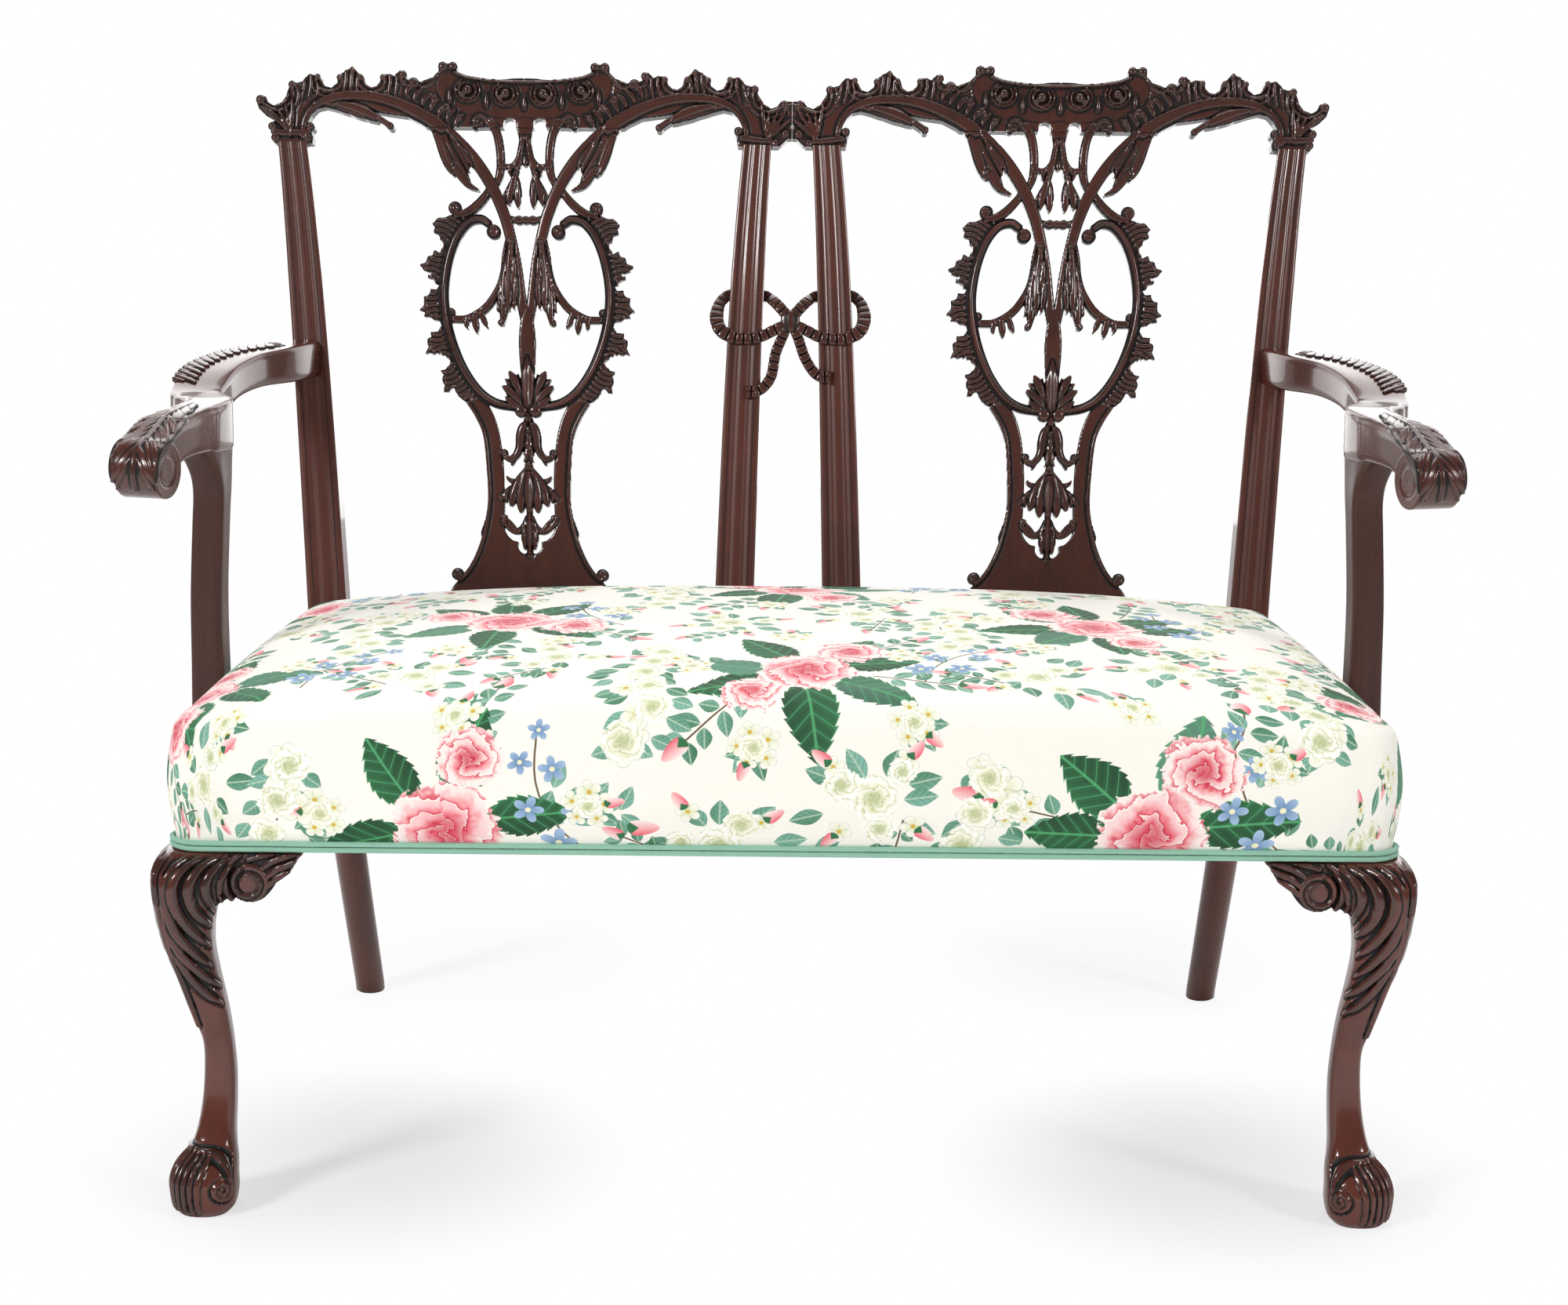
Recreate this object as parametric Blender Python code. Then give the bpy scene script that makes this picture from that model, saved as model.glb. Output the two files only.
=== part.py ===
"""Two-chair-back settee: a carved mahogany frame of two joined chair backs, cabriole front legs and
scrolled arms, round a stuffed-over seat. Metres, +Z up, +Y to the back, origin under the middle of the
whole piece on the floor."""

import math

import bmesh
import bpy
import numpy as np
from mathutils import Vector

# Fits shared by all joints
CLEAR = 0.0003  # gap between pieces that touch
OVERRUN = 0.004  # how far a cutter runs past the face that it opens

# Seat frame
RAIL_BOTTOM = 0.322
RAIL_TOP = 0.392
RAIL_THICK = 0.025
TENON_LENGTH = 0.020
TENON_THICK = 0.009
TENON_SHOULDER = 0.010
LEG_BLOCK = 0.049
LEG_BLOCK_Y = -0.238
FRONT_FACE_Y = LEG_BLOCK_Y - LEG_BLOCK / 2
SEAT_DEPTH = 0.462  # from the middle of the front legs' blocks to the back's datum
SHOE_HEIGHT = 0.028

# The back: one flat plane, leaning back, with a leaning centre line for each chair back
BACK_DATUM_Y = LEG_BLOCK_Y + SEAT_DEPTH
BACK_DATUM_Z = RAIL_TOP + SHOE_HEIGHT
BACK_TILT = math.radians(13.0)
CHAIR_CENTRE = 0.2575  # from the settee's middle to a chair back's centre line, at the datum
INNER_FOOT_X = 0.0545  # from the settee's middle to an inner stile's foot and head
INNER_HEAD_X = 0.0240
STILE_FOOT_OFFSET = CHAIR_CENTRE - INNER_FOOT_X  # from the centre line to the middle of a stile
STILE_HEAD_OFFSET = CHAIR_CENTRE - INNER_HEAD_X
CREST_LAP = 0.0125  # how far a crest rail would reach past the settee's middle if it weren't cut there
CREST_HALF_LENGTH = CHAIR_CENTRE + CREST_LAP
CHAIR_LEAN = 0.0226  # how far that line moves outward for each metre up the back
CREST_JOINT = 0.480  # up the back, where the crest rail sits on the stiles
CREST_HEIGHT = 0.083
CREST_THICK = 0.024
CREST_PROUD = 0.002
CREST_EDGE_SHARE = 0.2108  # of the crest rail's height, from that joint up to the splat's head

# Width of the seat frame, which follows the back
STILE_FOOT_WIDTH = 0.037
SEAT_SPLAY = 0.0325  # how far each front leg's block stands out beyond the rear leg
FRONT_HALF_WIDTH = CHAIR_CENTRE + STILE_FOOT_OFFSET + STILE_FOOT_WIDTH / 2 + SEAT_SPLAY
LEG_BLOCK_X = FRONT_HALF_WIDTH - LEG_BLOCK / 2

# Stiles
STILE_STRAIGHT_SHARE = 0.8
STILE_HEAD_WIDTH = 0.0275
STILE_FOOT_DEPTH = 0.036
STILE_HEAD_DEPTH = 0.028
INNER_STILE_DEPTH = 0.030
REED_DEPTH_SHARE = 0.09
BACK_EDGE_SHARE = 0.14
STILE_TENON_WIDTH = 0.014
STILE_TENON_DEPTH = 0.010
STILE_TENON_LENGTH = 0.012

# Rear legs below the rails
REAR_FOOT_IN = 0.0200  # from the leg's middle at the rails to its foot
REAR_FOOT_BACK = 0.0835
REAR_FOOT_WIDTH = 0.030
REAR_MID_IN = 0.0090
REAR_MID_BACK = 0.0385
REAR_MID_WIDTH = 0.032
REAR_KNEE_DROP = 0.006  # how far the leg's front stands behind the seat's rear line at the rails

# Splat: a pierced board between the shoe and the crest rail
SPLAT_HALF_WIDTH = 0.108
SPLAT_HEIGHT = CREST_JOINT + CREST_HEIGHT * CREST_EDGE_SHARE
SPLAT_THICK = 0.012
SPLAT_SETBACK = 0.003
SPLAT_TONGUE = 0.010
SPLAT_TENON = 0.008
SPLAT_TENON_OUT_SHARE = 0.722
SPLAT_FOOT_SHARE = 0.741
SPLAT_TENON_HALF = 0.005
STRAP_HALF = 0.0056
RING_HALF = 0.0040
BAND_HALF = 0.0034
TWIG_HALF = 0.0032
STEM_HALF = 0.0064
TRUNK_HALF = 0.0078
VOLUTE_R = 0.0064
NOTCH_R = 0.0052
GRID_STEP = 0.0020  # spacing of the grid on which the splat's outline is traced
TRACE_SLACK = 0.00060  # how far the thinned outline may stray from the traced one

# Shoe under each splat
SHOE_LIP = 0.006
SHOE_HALF_WIDTH = SPLAT_HALF_WIDTH * SPLAT_FOOT_SHARE + SHOE_LIP
SHOE_DEPTH = 0.022
SHOE_END = 0.012

# Rails, brace and corner blocks
REAR_RAIL_LAND = 0.012  # how far the rear rail stands in front of the back
REAR_RAIL_THICK = REAR_RAIL_LAND + INNER_STILE_DEPTH
REAR_TENON_IN = 0.003  # from the rear rail's back face to its tenon
SIDE_TENON_LAND = 0.001  # wood left between the two tenons in a rear leg
BRACE_WIDTH = 0.050
BRACE_THICK = 0.020
BRACE_DROP = 0.040
BRACE_HOUSING = 0.008
BLOCK_LEG = 0.055
BLOCK_HEIGHT = 0.045
BLOCK_RISE = 0.010

# Front legs
LEG_TOP_GAP = 0.0008
LEG_TOP = RAIL_BOTTOM - LEG_TOP_GAP
KNEE_OUT = 0.025
LEG_SIDES = 16
BRACKET_LENGTH = 0.056
BRACKET_HEIGHT = 0.046
BRACKET_FRONT = 0.045
BRACKET_BACK = 0.010

# Arms
ARM_START_OUT = 0.0068  # from the middle of the stile to the middle of the arm's end
ARM_UP = 0.262  # up the back, at the arm's end
ARM_RISE = 0.0017
ARM_OUT = 0.067
ARM_LENGTH = 0.4375
ARM_DROP = 0.040
ARM_WIDTH = 0.052
ARM_THICK = 0.036
SCROLL_R = 0.0255
SCROLL_HALF_WIDTH = 0.0205
SCROLL_TURN = math.radians(16.0)
SUPPORT_SWEEP = 0.008
SUPPORT_WIDTH = 0.034
SUPPORT_DEPTH = 0.058
SUPPORT_GAP = 0.0046  # from the seat's side to the support
SUPPORT_LIFT = 0.0050  # from the welt to the support's foot
SUPPORT_TENON_R = 0.009
SUPPORT_TENON_LENGTH = 0.007

# Upholstery
WEB_THICK = 0.002
WEB_EDGE = 0.010  # from the outer face of a side rail to the webbing's ends
WEB_ROWS = 4
WEB_COLUMNS = 8
WEB_STRIP_SHARE = 0.42
HESSIAN_THICK = 0.0014
COVER_THICK = 0.0012
COVER_HEM_LIFT = 0.0005
COVER_HEM_Z = RAIL_BOTTOM + COVER_HEM_LIFT
FRONT_CLOTH = 0.0075  # how far the covered seat stands out from the wood inside it
SIDE_CLOTH = 0.0085
REAR_CORNER_CLOTH = 0.005
SEAT_FRONT_Y = FRONT_FACE_Y - FRONT_CLOTH
SEAT_REAR_PROUD = 0.0018
SEAT_EDGE_RISE = 0.032
SEAT_EDGE_Z = RAIL_TOP + SEAT_EDGE_RISE
SEAT_TOP_RISE = 0.078
SEAT_TOP_Z = RAIL_TOP + SEAT_TOP_RISE
SEAT_SIDE_DROP = 0.024
SEAT_FRONT_DROP = 0.013
SEAT_REAR_DROP = 0.007
SEAT_BULGE = 0.007
SEAT_ROUND = 0.042
SEAT_REAR_ROUND = 0.008
SEAT_CORNER_R = 0.022
SEAT_INSET = 0.210
SEAT_REAR_INSET = 0.245
SEAT_STILE_NOTCH = 0.003  # width of the free edge at each rear corner of the cover
WELT_R = 0.0023
WELT_LIFT = 0.0004
DUST_THICK = 0.0008
DUST_EDGE = 0.007

# Carved ribbon that ties the two inner stiles
RIBBON_WIDTH = 0.0105
RIBBON_THICK = 0.0044
RIBBON_UP = 0.304
RIBBON_WRAP = 0.0145  # from the outer edge of an inner stile to the loop's end
RIBBON_RISE = 0.030
RIBBON_TAIL_X = 0.0466
RIBBON_TAIL_DROP = 0.070
RIBBON_PROUD = 0.0034
KNOT_HALF_WIDTH = 0.0095
KNOT_HALF_HEIGHT = 0.0115
KNOT_HALF_DEPTH = 0.0075
KNOT_PROUD = 0.0016

# Fasteners
SCREW_R = 0.0021
SCREW_HEAD_R = 0.0042
SCREW_HEAD_THICK = 0.0022
CORNER_SCREW = 0.042
SUPPORT_SCREW_BITE = 0.018
ARM_SCREW_BITE = 0.020
SCREW_SIDES = 8

# Tables of shares of the sizes above
LEG_SHARES = (
    # height, outward, forward, half width
    (0.000, 0.52, 1.28, 1.061),
    (0.023, 0.52, 1.28, 1.143),
    (0.088, 0.50, 1.26, 1.184),
    (0.152, 0.28, 0.96, 0.980),
    (0.205, 0.04, 0.64, 0.673),
    (0.281, -0.10, 0.48, 0.592),
    (0.366, -0.16, 0.36, 0.551),
    (0.448, -0.14, 0.40, 0.510),
    (0.510, 0.00, 0.54, 0.592),
    (0.572, 0.16, 0.68, 0.673),
    (0.674, 0.44, 0.96, 0.796),
    (0.756, 0.68, 1.16, 0.939),
    (0.859, 1.00, 1.36, 0.959),
    (0.923, 0.72, 1.04, 1.265),
    (0.985, 0.46, 0.46, 1.530),
    (1.000, 0.46, 0.46, 1.530),
)
BRACKET_SHARES = (
    # along, down
    (1.00, 0.00), (1.00, 0.12), (0.94, 0.30), (0.86, 0.42), (0.78, 0.56), (0.72, 0.74),
    (0.62, 0.86), (0.50, 0.86), (0.38, 0.80), (0.26, 0.88), (0.14, 0.98),
)
ARM_SHARES = (
    # outward, along, drop, width, thickness
    (0.000, 0.000, 0.05, 0.577, 1.000),
    (0.194, 0.106, 0.00, 0.692, 0.972),
    (0.642, 0.232, 0.00, 0.885, 0.917),
    (0.955, 0.369, 0.05, 1.000, 0.861),
    (0.925, 0.495, 0.15, 0.962, 0.833),
    (0.687, 0.598, 0.25, 0.846, 0.861),
    (0.552, 0.689, 0.325, 0.808, 0.889),
    (0.672, 0.815, 0.45, 0.846, 0.944),
    (0.836, 0.918, 0.60, 0.827, 0.960),
    (0.925, 0.970, 0.86, 0.788, 0.760),
)
ARM_SECTION_SHARES = (
    (-0.50, -0.18), (-0.36, -0.42), (0.00, -0.50), (0.36, -0.42), (0.50, -0.18),
    (0.50, 0.18), (0.36, 0.42), (0.00, 0.50), (-0.36, 0.42), (-0.50, 0.18),
)
SUPPORT_SHARES = (
    # height, lean inward, sweep, width, depth
    (0.00, 0.00, 0.00, 0.90, 1.00),
    (0.12, 0.02, 0.10, 0.86, 0.92),
    (0.30, 0.15, 0.60, 0.82, 0.74),
    (0.50, 0.40, 1.00, 0.84, 0.68),
    (0.70, 0.70, 0.80, 0.92, 0.70),
    (0.88, 0.94, 0.20, 1.00, 0.78),
    (1.00, 1.00, -0.10, 1.04, 0.84),
)
RIBBON_LOOP_SHARES = (
    # outward, up, behind the stiles where above zero and in front of them where below
    (0.05, 0.13, 0.03), (0.15, 0.42, 0.16), (0.235, 0.64, 0.68), (0.295, 0.80, 1.00),
    (0.41, 0.90, 1.00), (0.72, 0.93, 1.00), (0.83, 0.87, 1.00), (0.93, 0.64, 0.70),
    (0.985, 0.38, 0.38), (0.995, 0.05, 0.10), (0.92, -0.33, -1.00), (0.74, -0.53, -1.00),
    (0.44, -0.53, -1.00), (0.20, -0.27, -1.60), (0.05, -0.10, -1.70),
)
LEFT_TAIL_SHARES = ((0.09, -0.07), (0.20, -0.27), (0.313, -0.47), (0.41, -0.80), (0.66, -0.99), (1.00, -1.00))
RIGHT_TAIL_SHARES = ((0.09, -0.07), (0.18, -0.25), (0.33, -0.53), (0.58, -0.76), (0.92, -0.785))

# Counts and smaller shares
SUPPORT_SCREW_SHARES = (0.2, 0.75)
SUPPORT_TENON_START_SHARE = 0.94
SUPPORT_FOOT_WIDTH_SHARE = 0.90
SUPPORT_ALONG_SHARE = 0.703
SUPPORT_OUT_SHARE = 0.552
SUPPORT_DROP_SHARE = 0.325
SCROLL_OUT_SHARE = 0.970
SCROLL_DROP_SHARE = 1.160
WELT_STACK_SHARE = 4.3
SCROLL_SIDES = 20
BLOCK_POWER = 12.0
KNEE_START_SHARE = 0.9
HEM_SHARE = WELT_R * WELT_STACK_SHARE / (SEAT_EDGE_Z - COVER_HEM_Z)
RAIL_TOP_SHARE = (RAIL_TOP - COVER_HEM_Z) / (SEAT_EDGE_Z - COVER_HEM_Z)
WALL_SHARES = (0.0, HEM_SHARE, 0.38, RAIL_TOP_SHARE, 1.0)
REAR_HEM_RISE_SHARE = 0.02
SEAT_SIDE_POINTS = 5
SEAT_CORNER_POINTS = 4
SEAT_ROW_POINTS = 9
WELT_TURNS = (-70, -25, 25, 70)
WELT_PACK_SHARE = 0.96
V_STRAP_SHARES = (
    (0.731, 1.011), (0.574, 0.967), (0.426, 0.927), (0.287, 0.884), (0.185, 0.828), (0.130, 0.778),
    (0.083, 0.720), (0.028, 0.641), (0.000, 0.595),
)
OVAL_SHARES = (
    (0.278, 0.796), (0.324, 0.806), (0.426, 0.816), (0.537, 0.810), (0.639, 0.782), (0.713, 0.746),
    (0.759, 0.699), (0.769, 0.657), (0.741, 0.603), (0.685, 0.555), (0.593, 0.507), (0.454, 0.466),
    (0.306, 0.444), (0.130, 0.436),
)
INNER_BAND_SHARES = (
    (0.157, 0.788), (0.194, 0.746), (0.204, 0.708), (0.250, 0.677), (0.361, 0.639), (0.472, 0.621),
    (0.574, 0.613), (0.713, 0.611),
)
INNER_LEAF_SHARES = (
    (0.111, 0.734), (0.185, 0.693), (0.250, 0.647), (0.250, 0.619), (0.204, 0.615), (0.204, 0.601),
    (0.157, 0.597), (0.139, 0.609), (0.111, 0.625), (0.065, 0.635), (0.046, 0.663),
)
BAND_TIP_SHARES = (
    (0.593, 0.611), (0.556, 0.597), (0.500, 0.601), (0.472, 0.585), (0.426, 0.599), (0.370, 0.597),
    (0.361, 0.615), (0.463, 0.625),
)
ROCAILLE_SHARES = (
    (0.574, 0.816), (0.722, 0.814), (0.870, 0.802), (0.861, 0.784), (0.843, 0.772), (0.843, 0.748),
    (0.907, 0.736), (0.991, 0.720), (0.935, 0.704), (0.898, 0.691), (0.898, 0.667), (0.935, 0.655),
    (0.963, 0.641), (1.000, 0.627), (0.954, 0.615), (0.907, 0.609), (0.880, 0.587), (0.907, 0.571),
    (0.907, 0.555), (0.944, 0.539), (0.870, 0.533), (0.815, 0.535), (0.787, 0.513), (0.806, 0.494),
    (0.796, 0.478), (0.778, 0.464), (0.704, 0.466), (0.648, 0.452), (0.565, 0.442), (0.481, 0.450),
    (0.463, 0.468), (0.593, 0.507), (0.685, 0.555), (0.741, 0.603), (0.769, 0.657), (0.759, 0.699),
    (0.713, 0.746), (0.639, 0.782),
)
SCROLL_ARM_SHARES = (
    (0.315, 0.884), (0.370, 0.864), (0.472, 0.840), (0.583, 0.826), (0.667, 0.826),
)
TOP_LOOP_SHARES = (
    (0.463, 0.993), (0.389, 1.003), (0.306, 0.995), (0.259, 0.979), (0.231, 0.947), (0.231, 0.919),
    (0.259, 0.890),
)
STEM_SHARES = (
    (0.000, 1.011), (0.000, 0.989), (0.000, 0.969),
)
STEM_LEG_SHARES = (
    (0.000, 0.977), (0.028, 0.935), (0.074, 0.909), (0.120, 0.878), (0.157, 0.852), (0.213, 0.842),
)
STEM_TIP_SHARES = (
    (0.083, 0.886), (0.056, 0.866), (0.037, 0.842), (0.111, 0.850), (0.176, 0.840), (0.185, 0.864),
    (0.139, 0.884),
)
STEM_LINK_SHARES = (
    (0.056, 0.933), (0.148, 0.925), (0.241, 0.923),
)
BALUSTER_SHARES = (
    (0.000, 0.814), (0.167, 0.814),
)
LONG_LEAF_SHARES = (
    (0.833, 1.011), (0.815, 0.977), (0.787, 0.957), (0.731, 0.935), (0.685, 0.913), (0.639, 0.892),
    (0.565, 0.880), (0.435, 0.873), (0.509, 0.886), (0.537, 0.896), (0.528, 0.915), (0.463, 0.933),
    (0.611, 0.979),
)
PALMETTE_SHARES = (
    (0.000, 0.539), (0.065, 0.507), (0.167, 0.505), (0.213, 0.488), (0.194, 0.454), (0.130, 0.440),
    (0.083, 0.418), (0.000, 0.408),
)
BELL_SHARES = (
    (0.000, 0.416), (0.056, 0.404), (0.083, 0.382), (0.083, 0.358), (0.056, 0.342), (0.037, 0.328),
    (0.000, 0.316),
)
BELL_LINK_SHARES = (
    (0.037, 0.358), (0.111, 0.332), (0.185, 0.334), (0.259, 0.336),
)
PENDANT_SHARES = (
    (0.000, 0.318), (0.046, 0.297), (0.148, 0.291), (0.157, 0.279), (0.222, 0.265), (0.213, 0.245),
    (0.157, 0.255), (0.120, 0.265), (0.130, 0.241), (0.074, 0.219), (0.037, 0.233), (0.000, 0.235),
)
PENDANT_LINK_SHARES = (
    (0.074, 0.281), (0.167, 0.269), (0.250, 0.261),
)
LOW_STEM_SHARES = (
    (0.000, 0.241), (0.000, 0.181), (0.000, 0.121),
)
LOW_LEAF_SHARES = (
    (0.000, 0.205), (0.046, 0.193), (0.065, 0.177), (0.074, 0.157), (0.037, 0.145), (0.000, 0.137),
)
LOW_LINK_SHARES = (
    (0.019, 0.201), (0.083, 0.187), (0.157, 0.193), (0.259, 0.205),
)
PANEL_SHARES = (
    (0.556, 0.454), (0.481, 0.418), (0.417, 0.378), (0.389, 0.308), (0.380, 0.253), (0.407, 0.205),
    (0.472, 0.153), (0.546, 0.117), (0.648, 0.092), (0.741, 0.068), (0.741, 0.000), (0.000, 0.000),
    (0.000, 0.135), (0.065, 0.139), (0.111, 0.161), (0.204, 0.181), (0.231, 0.205), (0.231, 0.237),
    (0.231, 0.314), (0.259, 0.366), (0.315, 0.432), (0.407, 0.458),
)
CREST_TOP_SHARES = (
    (0.000, 0.783), (0.074, 0.789), (0.148, 0.807), (0.215, 0.843), (0.252, 0.892), (0.248, 0.952),
    (0.263, 1.000), (0.281, 0.982), (0.300, 1.000), (0.319, 0.964), (0.319, 0.892), (0.341, 0.819),
    (0.381, 0.759), (0.415, 0.759), (0.441, 0.795), (0.444, 0.867), (0.463, 0.892), (0.481, 0.831),
    (0.507, 0.855), (0.530, 0.831), (0.537, 0.747), (0.552, 0.699), (0.570, 0.687), (0.589, 0.723),
    (0.596, 0.807), (0.615, 0.855), (0.637, 0.940), (0.663, 0.892), (0.689, 0.831), (0.696, 0.735),
    (0.719, 0.681), (0.741, 0.699), (0.756, 0.783), (0.778, 0.831), (0.804, 0.843), (0.822, 0.759),
)
EAR_SHARES = (
    (0.848, 0.735), (0.867, 0.747), (0.878, 0.675), (0.885, 0.578), (0.904, 0.494), (0.933, 0.458),
    (0.952, 0.494), (0.963, 0.566), (0.981, 0.578), (0.998, 0.518), (0.989, 0.422), (0.963, 0.337),
    (0.930, 0.277), (0.948, 0.241), (0.948, 0.169), (0.933, 0.108), (0.933, 0.000),
)
JOIN_TOP_SHARES = (
    (0.844, 0.735), (0.863, 0.735), (0.870, 0.639), (0.893, 0.518), (0.919, 0.470), (0.941, 0.494),
    (0.956, 0.554), (0.978, 0.554),
)
JOIN_LOW_SHARES = (
    (0.978, 0.108), (0.956, 0.036), (0.933, -0.018), (0.922, 0.054), (0.915, 0.000),
)
ARCH_SHARES = (
    (0.793, 0.000), (0.789, 0.084), (0.800, 0.157), (0.819, 0.241), (0.811, 0.337), (0.778, 0.422),
    (0.711, 0.446), (0.644, 0.398), (0.593, 0.337), (0.556, 0.301), (0.522, 0.205), (0.504, 0.193),
    (0.493, 0.253), (0.507, 0.337), (0.493, 0.422), (0.437, 0.386), (0.385, 0.301), (0.356, 0.211),
)
CREST_LOW_SHARES = (
    (0.089, 0.211), (0.078, 0.289), (0.056, 0.295), (0.033, 0.211),
)
VOLUTE_SHARES = ((0.287, 0.786), (0.657, 0.838), (0.685, 0.098))
NOTCH_SHARES = ((0.787, 0.760), (0.843, 0.679), (0.824, 0.599), (0.741, 0.525))
TRUNK_SHARES = ((0.000, 0.599), (0.000, 0.432))
JOINT_TOP_SHARE = (0.985, 0.482)
JOINT_LOW_SHARE = (0.985, 0.120)


SIDES = {"left": -1, "right": 1}
REEDS = 3
REED_STEPS = 3
SQUARE_START_SHARE = 0.72
MAHOGANY = ("mahogany", (0.085, 0.018, 0.010), 0.28, 0.0)
BEECH = ("beech", (0.55, 0.36, 0.20), 0.6, 0.0)
COVER_CLOTH = ("cover_cloth", (0.90, 0.86, 0.76), 0.85, 0.0)
WELT_CLOTH = ("welt_cloth", (0.16, 0.48, 0.36), 0.8, 0.0)
WEBBING = ("webbing", (0.50, 0.38, 0.24), 0.9, 0.0)
HESSIAN = ("hessian", (0.46, 0.33, 0.19), 0.95, 0.0)
STUFFING = ("stuffing", (0.72, 0.66, 0.55), 0.95, 0.0)
DUST_CLOTH = ("dust_cloth", (0.03, 0.03, 0.03), 0.95, 0.0)
STEEL = ("steel", (0.45, 0.44, 0.42), 0.4, 1.0)


def material(look):
    name, colour, roughness, metallic = look
    found = bpy.data.materials.get(name)
    if found:
        return found
    made = bpy.data.materials.new(name)
    made.use_nodes = True
    shader = made.node_tree.nodes["Principled BSDF"]
    shader.inputs["Base Color"].default_value = (*colour, 1.0)
    shader.inputs["Roughness"].default_value = roughness
    shader.inputs["Metallic"].default_value = metallic
    made.diffuse_color = (*colour, 1.0)
    return made


def solid(name, points, faces, look, smooth=math.radians(35)):
    """One closed piece in world space, its faces turned outward."""
    mesh = bpy.data.meshes.new(name)
    mesh.from_pydata([tuple(p) for p in points], [], faces)
    turned = bmesh.new()
    turned.from_mesh(mesh)
    bmesh.ops.recalc_face_normals(turned, faces=turned.faces[:])
    turned.to_mesh(mesh)
    turned.free()
    piece = bpy.data.objects.new(name, mesh)
    bpy.context.scene.collection.objects.link(piece)
    mesh.materials.append(material(look))
    mesh.shade_smooth()
    mesh.set_sharp_from_angle(angle=smooth)
    return piece


def loft(name, rings, look):
    """Skin over rings of equal count, with closed ends."""
    count = len(rings[0])
    points = [p for ring in rings for p in ring]
    faces = []
    for a in range(0, len(points) - count, count):
        for i in range(count):
            j = (i + 1) % count
            faces.append((a + i, a + j, a + count + j, a + count + i))
    faces.append(tuple(reversed(range(count))))
    faces.append(tuple(range(len(points) - count, len(points))))
    return solid(name, points, faces, look)


def split_flat(piece):
    """Splits bent faces into triangles, so that cuts meet flat faces only."""
    mesh = bmesh.new()
    mesh.from_mesh(piece.data)
    bmesh.ops.triangulate(mesh, faces=mesh.faces[:])
    mesh.to_mesh(piece.data)
    mesh.free()
    return piece


def prism(name, outline, place, low, high, look):
    """An outline (a, b) carried from low to high; place turns (a, b, height) into a point."""
    rings = [[place(a, b, height) for a, b in outline] for height in (low, high)]
    return loft(name, rings, look)


def box(name, low, high, look):
    outline = ((low[0], low[1]), (high[0], low[1]), (high[0], high[1]), (low[0], high[1]))
    return prism(name, outline, lambda a, b, c: Vector((a, b, c)), low[2], high[2], look)


def rod(name, start, end, radius, look, sides=SCREW_SIDES):
    """A round bar from start to end."""
    axis = (Vector(end) - Vector(start)).normalized()
    across = axis.orthogonal().normalized()
    beside = axis.cross(across)
    rings = []
    for centre in (Vector(start), Vector(end)):
        turns = [2 * math.pi * k / sides for k in range(sides)]
        rings.append([centre + (across * math.cos(t) + beside * math.sin(t)) * radius for t in turns])
    return loft(name, rings, look)


def combine(piece, others, operation):
    """Applies one exact Boolean per other piece, then deletes those pieces."""
    for other in others:
        step = piece.modifiers.new("joint", "BOOLEAN")
        step.operation = operation
        step.solver = "EXACT"
        step.object = other
        bpy.context.view_layer.update()
        graph = bpy.context.evaluated_depsgraph_get()
        made = bpy.data.meshes.new_from_object(piece.evaluated_get(graph))
        piece.modifiers.remove(step)
        piece.data = made
        made.name = piece.name
        bpy.data.objects.remove(other)
    piece.data.shade_smooth()
    piece.data.set_sharp_from_angle(angle=math.radians(35))
    return piece


def cut(piece, *cutters):
    return combine(piece, cutters, "DIFFERENCE")


def join(piece, *others):
    return combine(piece, others, "UNION")


def blend(a, b, t):
    return a + (b - a) * t


def table_at(table, t):
    """Linear reading of a table of (t, value, value, ...) rows."""
    for low, high in zip(table, table[1:]):
        if t <= high[0]:
            share = (t - low[0]) / (high[0] - low[0])
            return [blend(a, b, share) for a, b in zip(low[1:], high[1:])]
    return list(table[-1][1:])


def smooth_through(points, steps):
    """Catmull-Rom curve through the points, with that many steps to each span."""
    points = [Vector(p) for p in points]
    ends = [points[0] * 2 - points[1], *points, points[-1] * 2 - points[-2]]
    made = []
    for k in range(1, len(ends) - 2):
        a, b, c, d = ends[k - 1 : k + 3]
        for i in range(steps):
            t = i / steps
            made.append(
                (b * 2 + (c - a) * t + (a * 2 - b * 5 + c * 4 - d) * t**2 + (b * 3 - a - c * 3 + d) * t**3)
                / 2
            )
    made.append(points[-1])
    return made


def centre_line(up):
    return CHAIR_CENTRE + CHAIR_LEAN * up


def back_point(side, out, up, proud):
    """A point of a chair back: out from its centre line, up the leaning plane, proud of its front."""
    return Vector(
        (
            side * (centre_line(up) + out),
            BACK_DATUM_Y + up * math.sin(BACK_TILT) - proud * math.cos(BACK_TILT),
            BACK_DATUM_Z + up * math.cos(BACK_TILT) + proud * math.sin(BACK_TILT),
        )
    )


def plane_point(x, up, proud):
    """A point of the back's plane, given across the whole settee."""
    point = back_point(1, 0.0, up, proud)
    point.x = x
    return point


def back_front_y(z):
    return BACK_DATUM_Y + (z - BACK_DATUM_Z) * math.tan(BACK_TILT)


def up_at(z):
    return (z - BACK_DATUM_Z) / math.cos(BACK_TILT)


def scaled(shares, width, height, base=0.0):
    return [(u * width, base + v * height) for u, v in shares]


# Stiles and rear legs


def stile_offset(up):
    t = max(0.0, up) / CREST_JOINT
    bowed = STILE_STRAIGHT_SHARE * t + (1 - STILE_STRAIGHT_SHARE) * t**4
    return blend(STILE_FOOT_OFFSET, STILE_HEAD_OFFSET, bowed)


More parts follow.
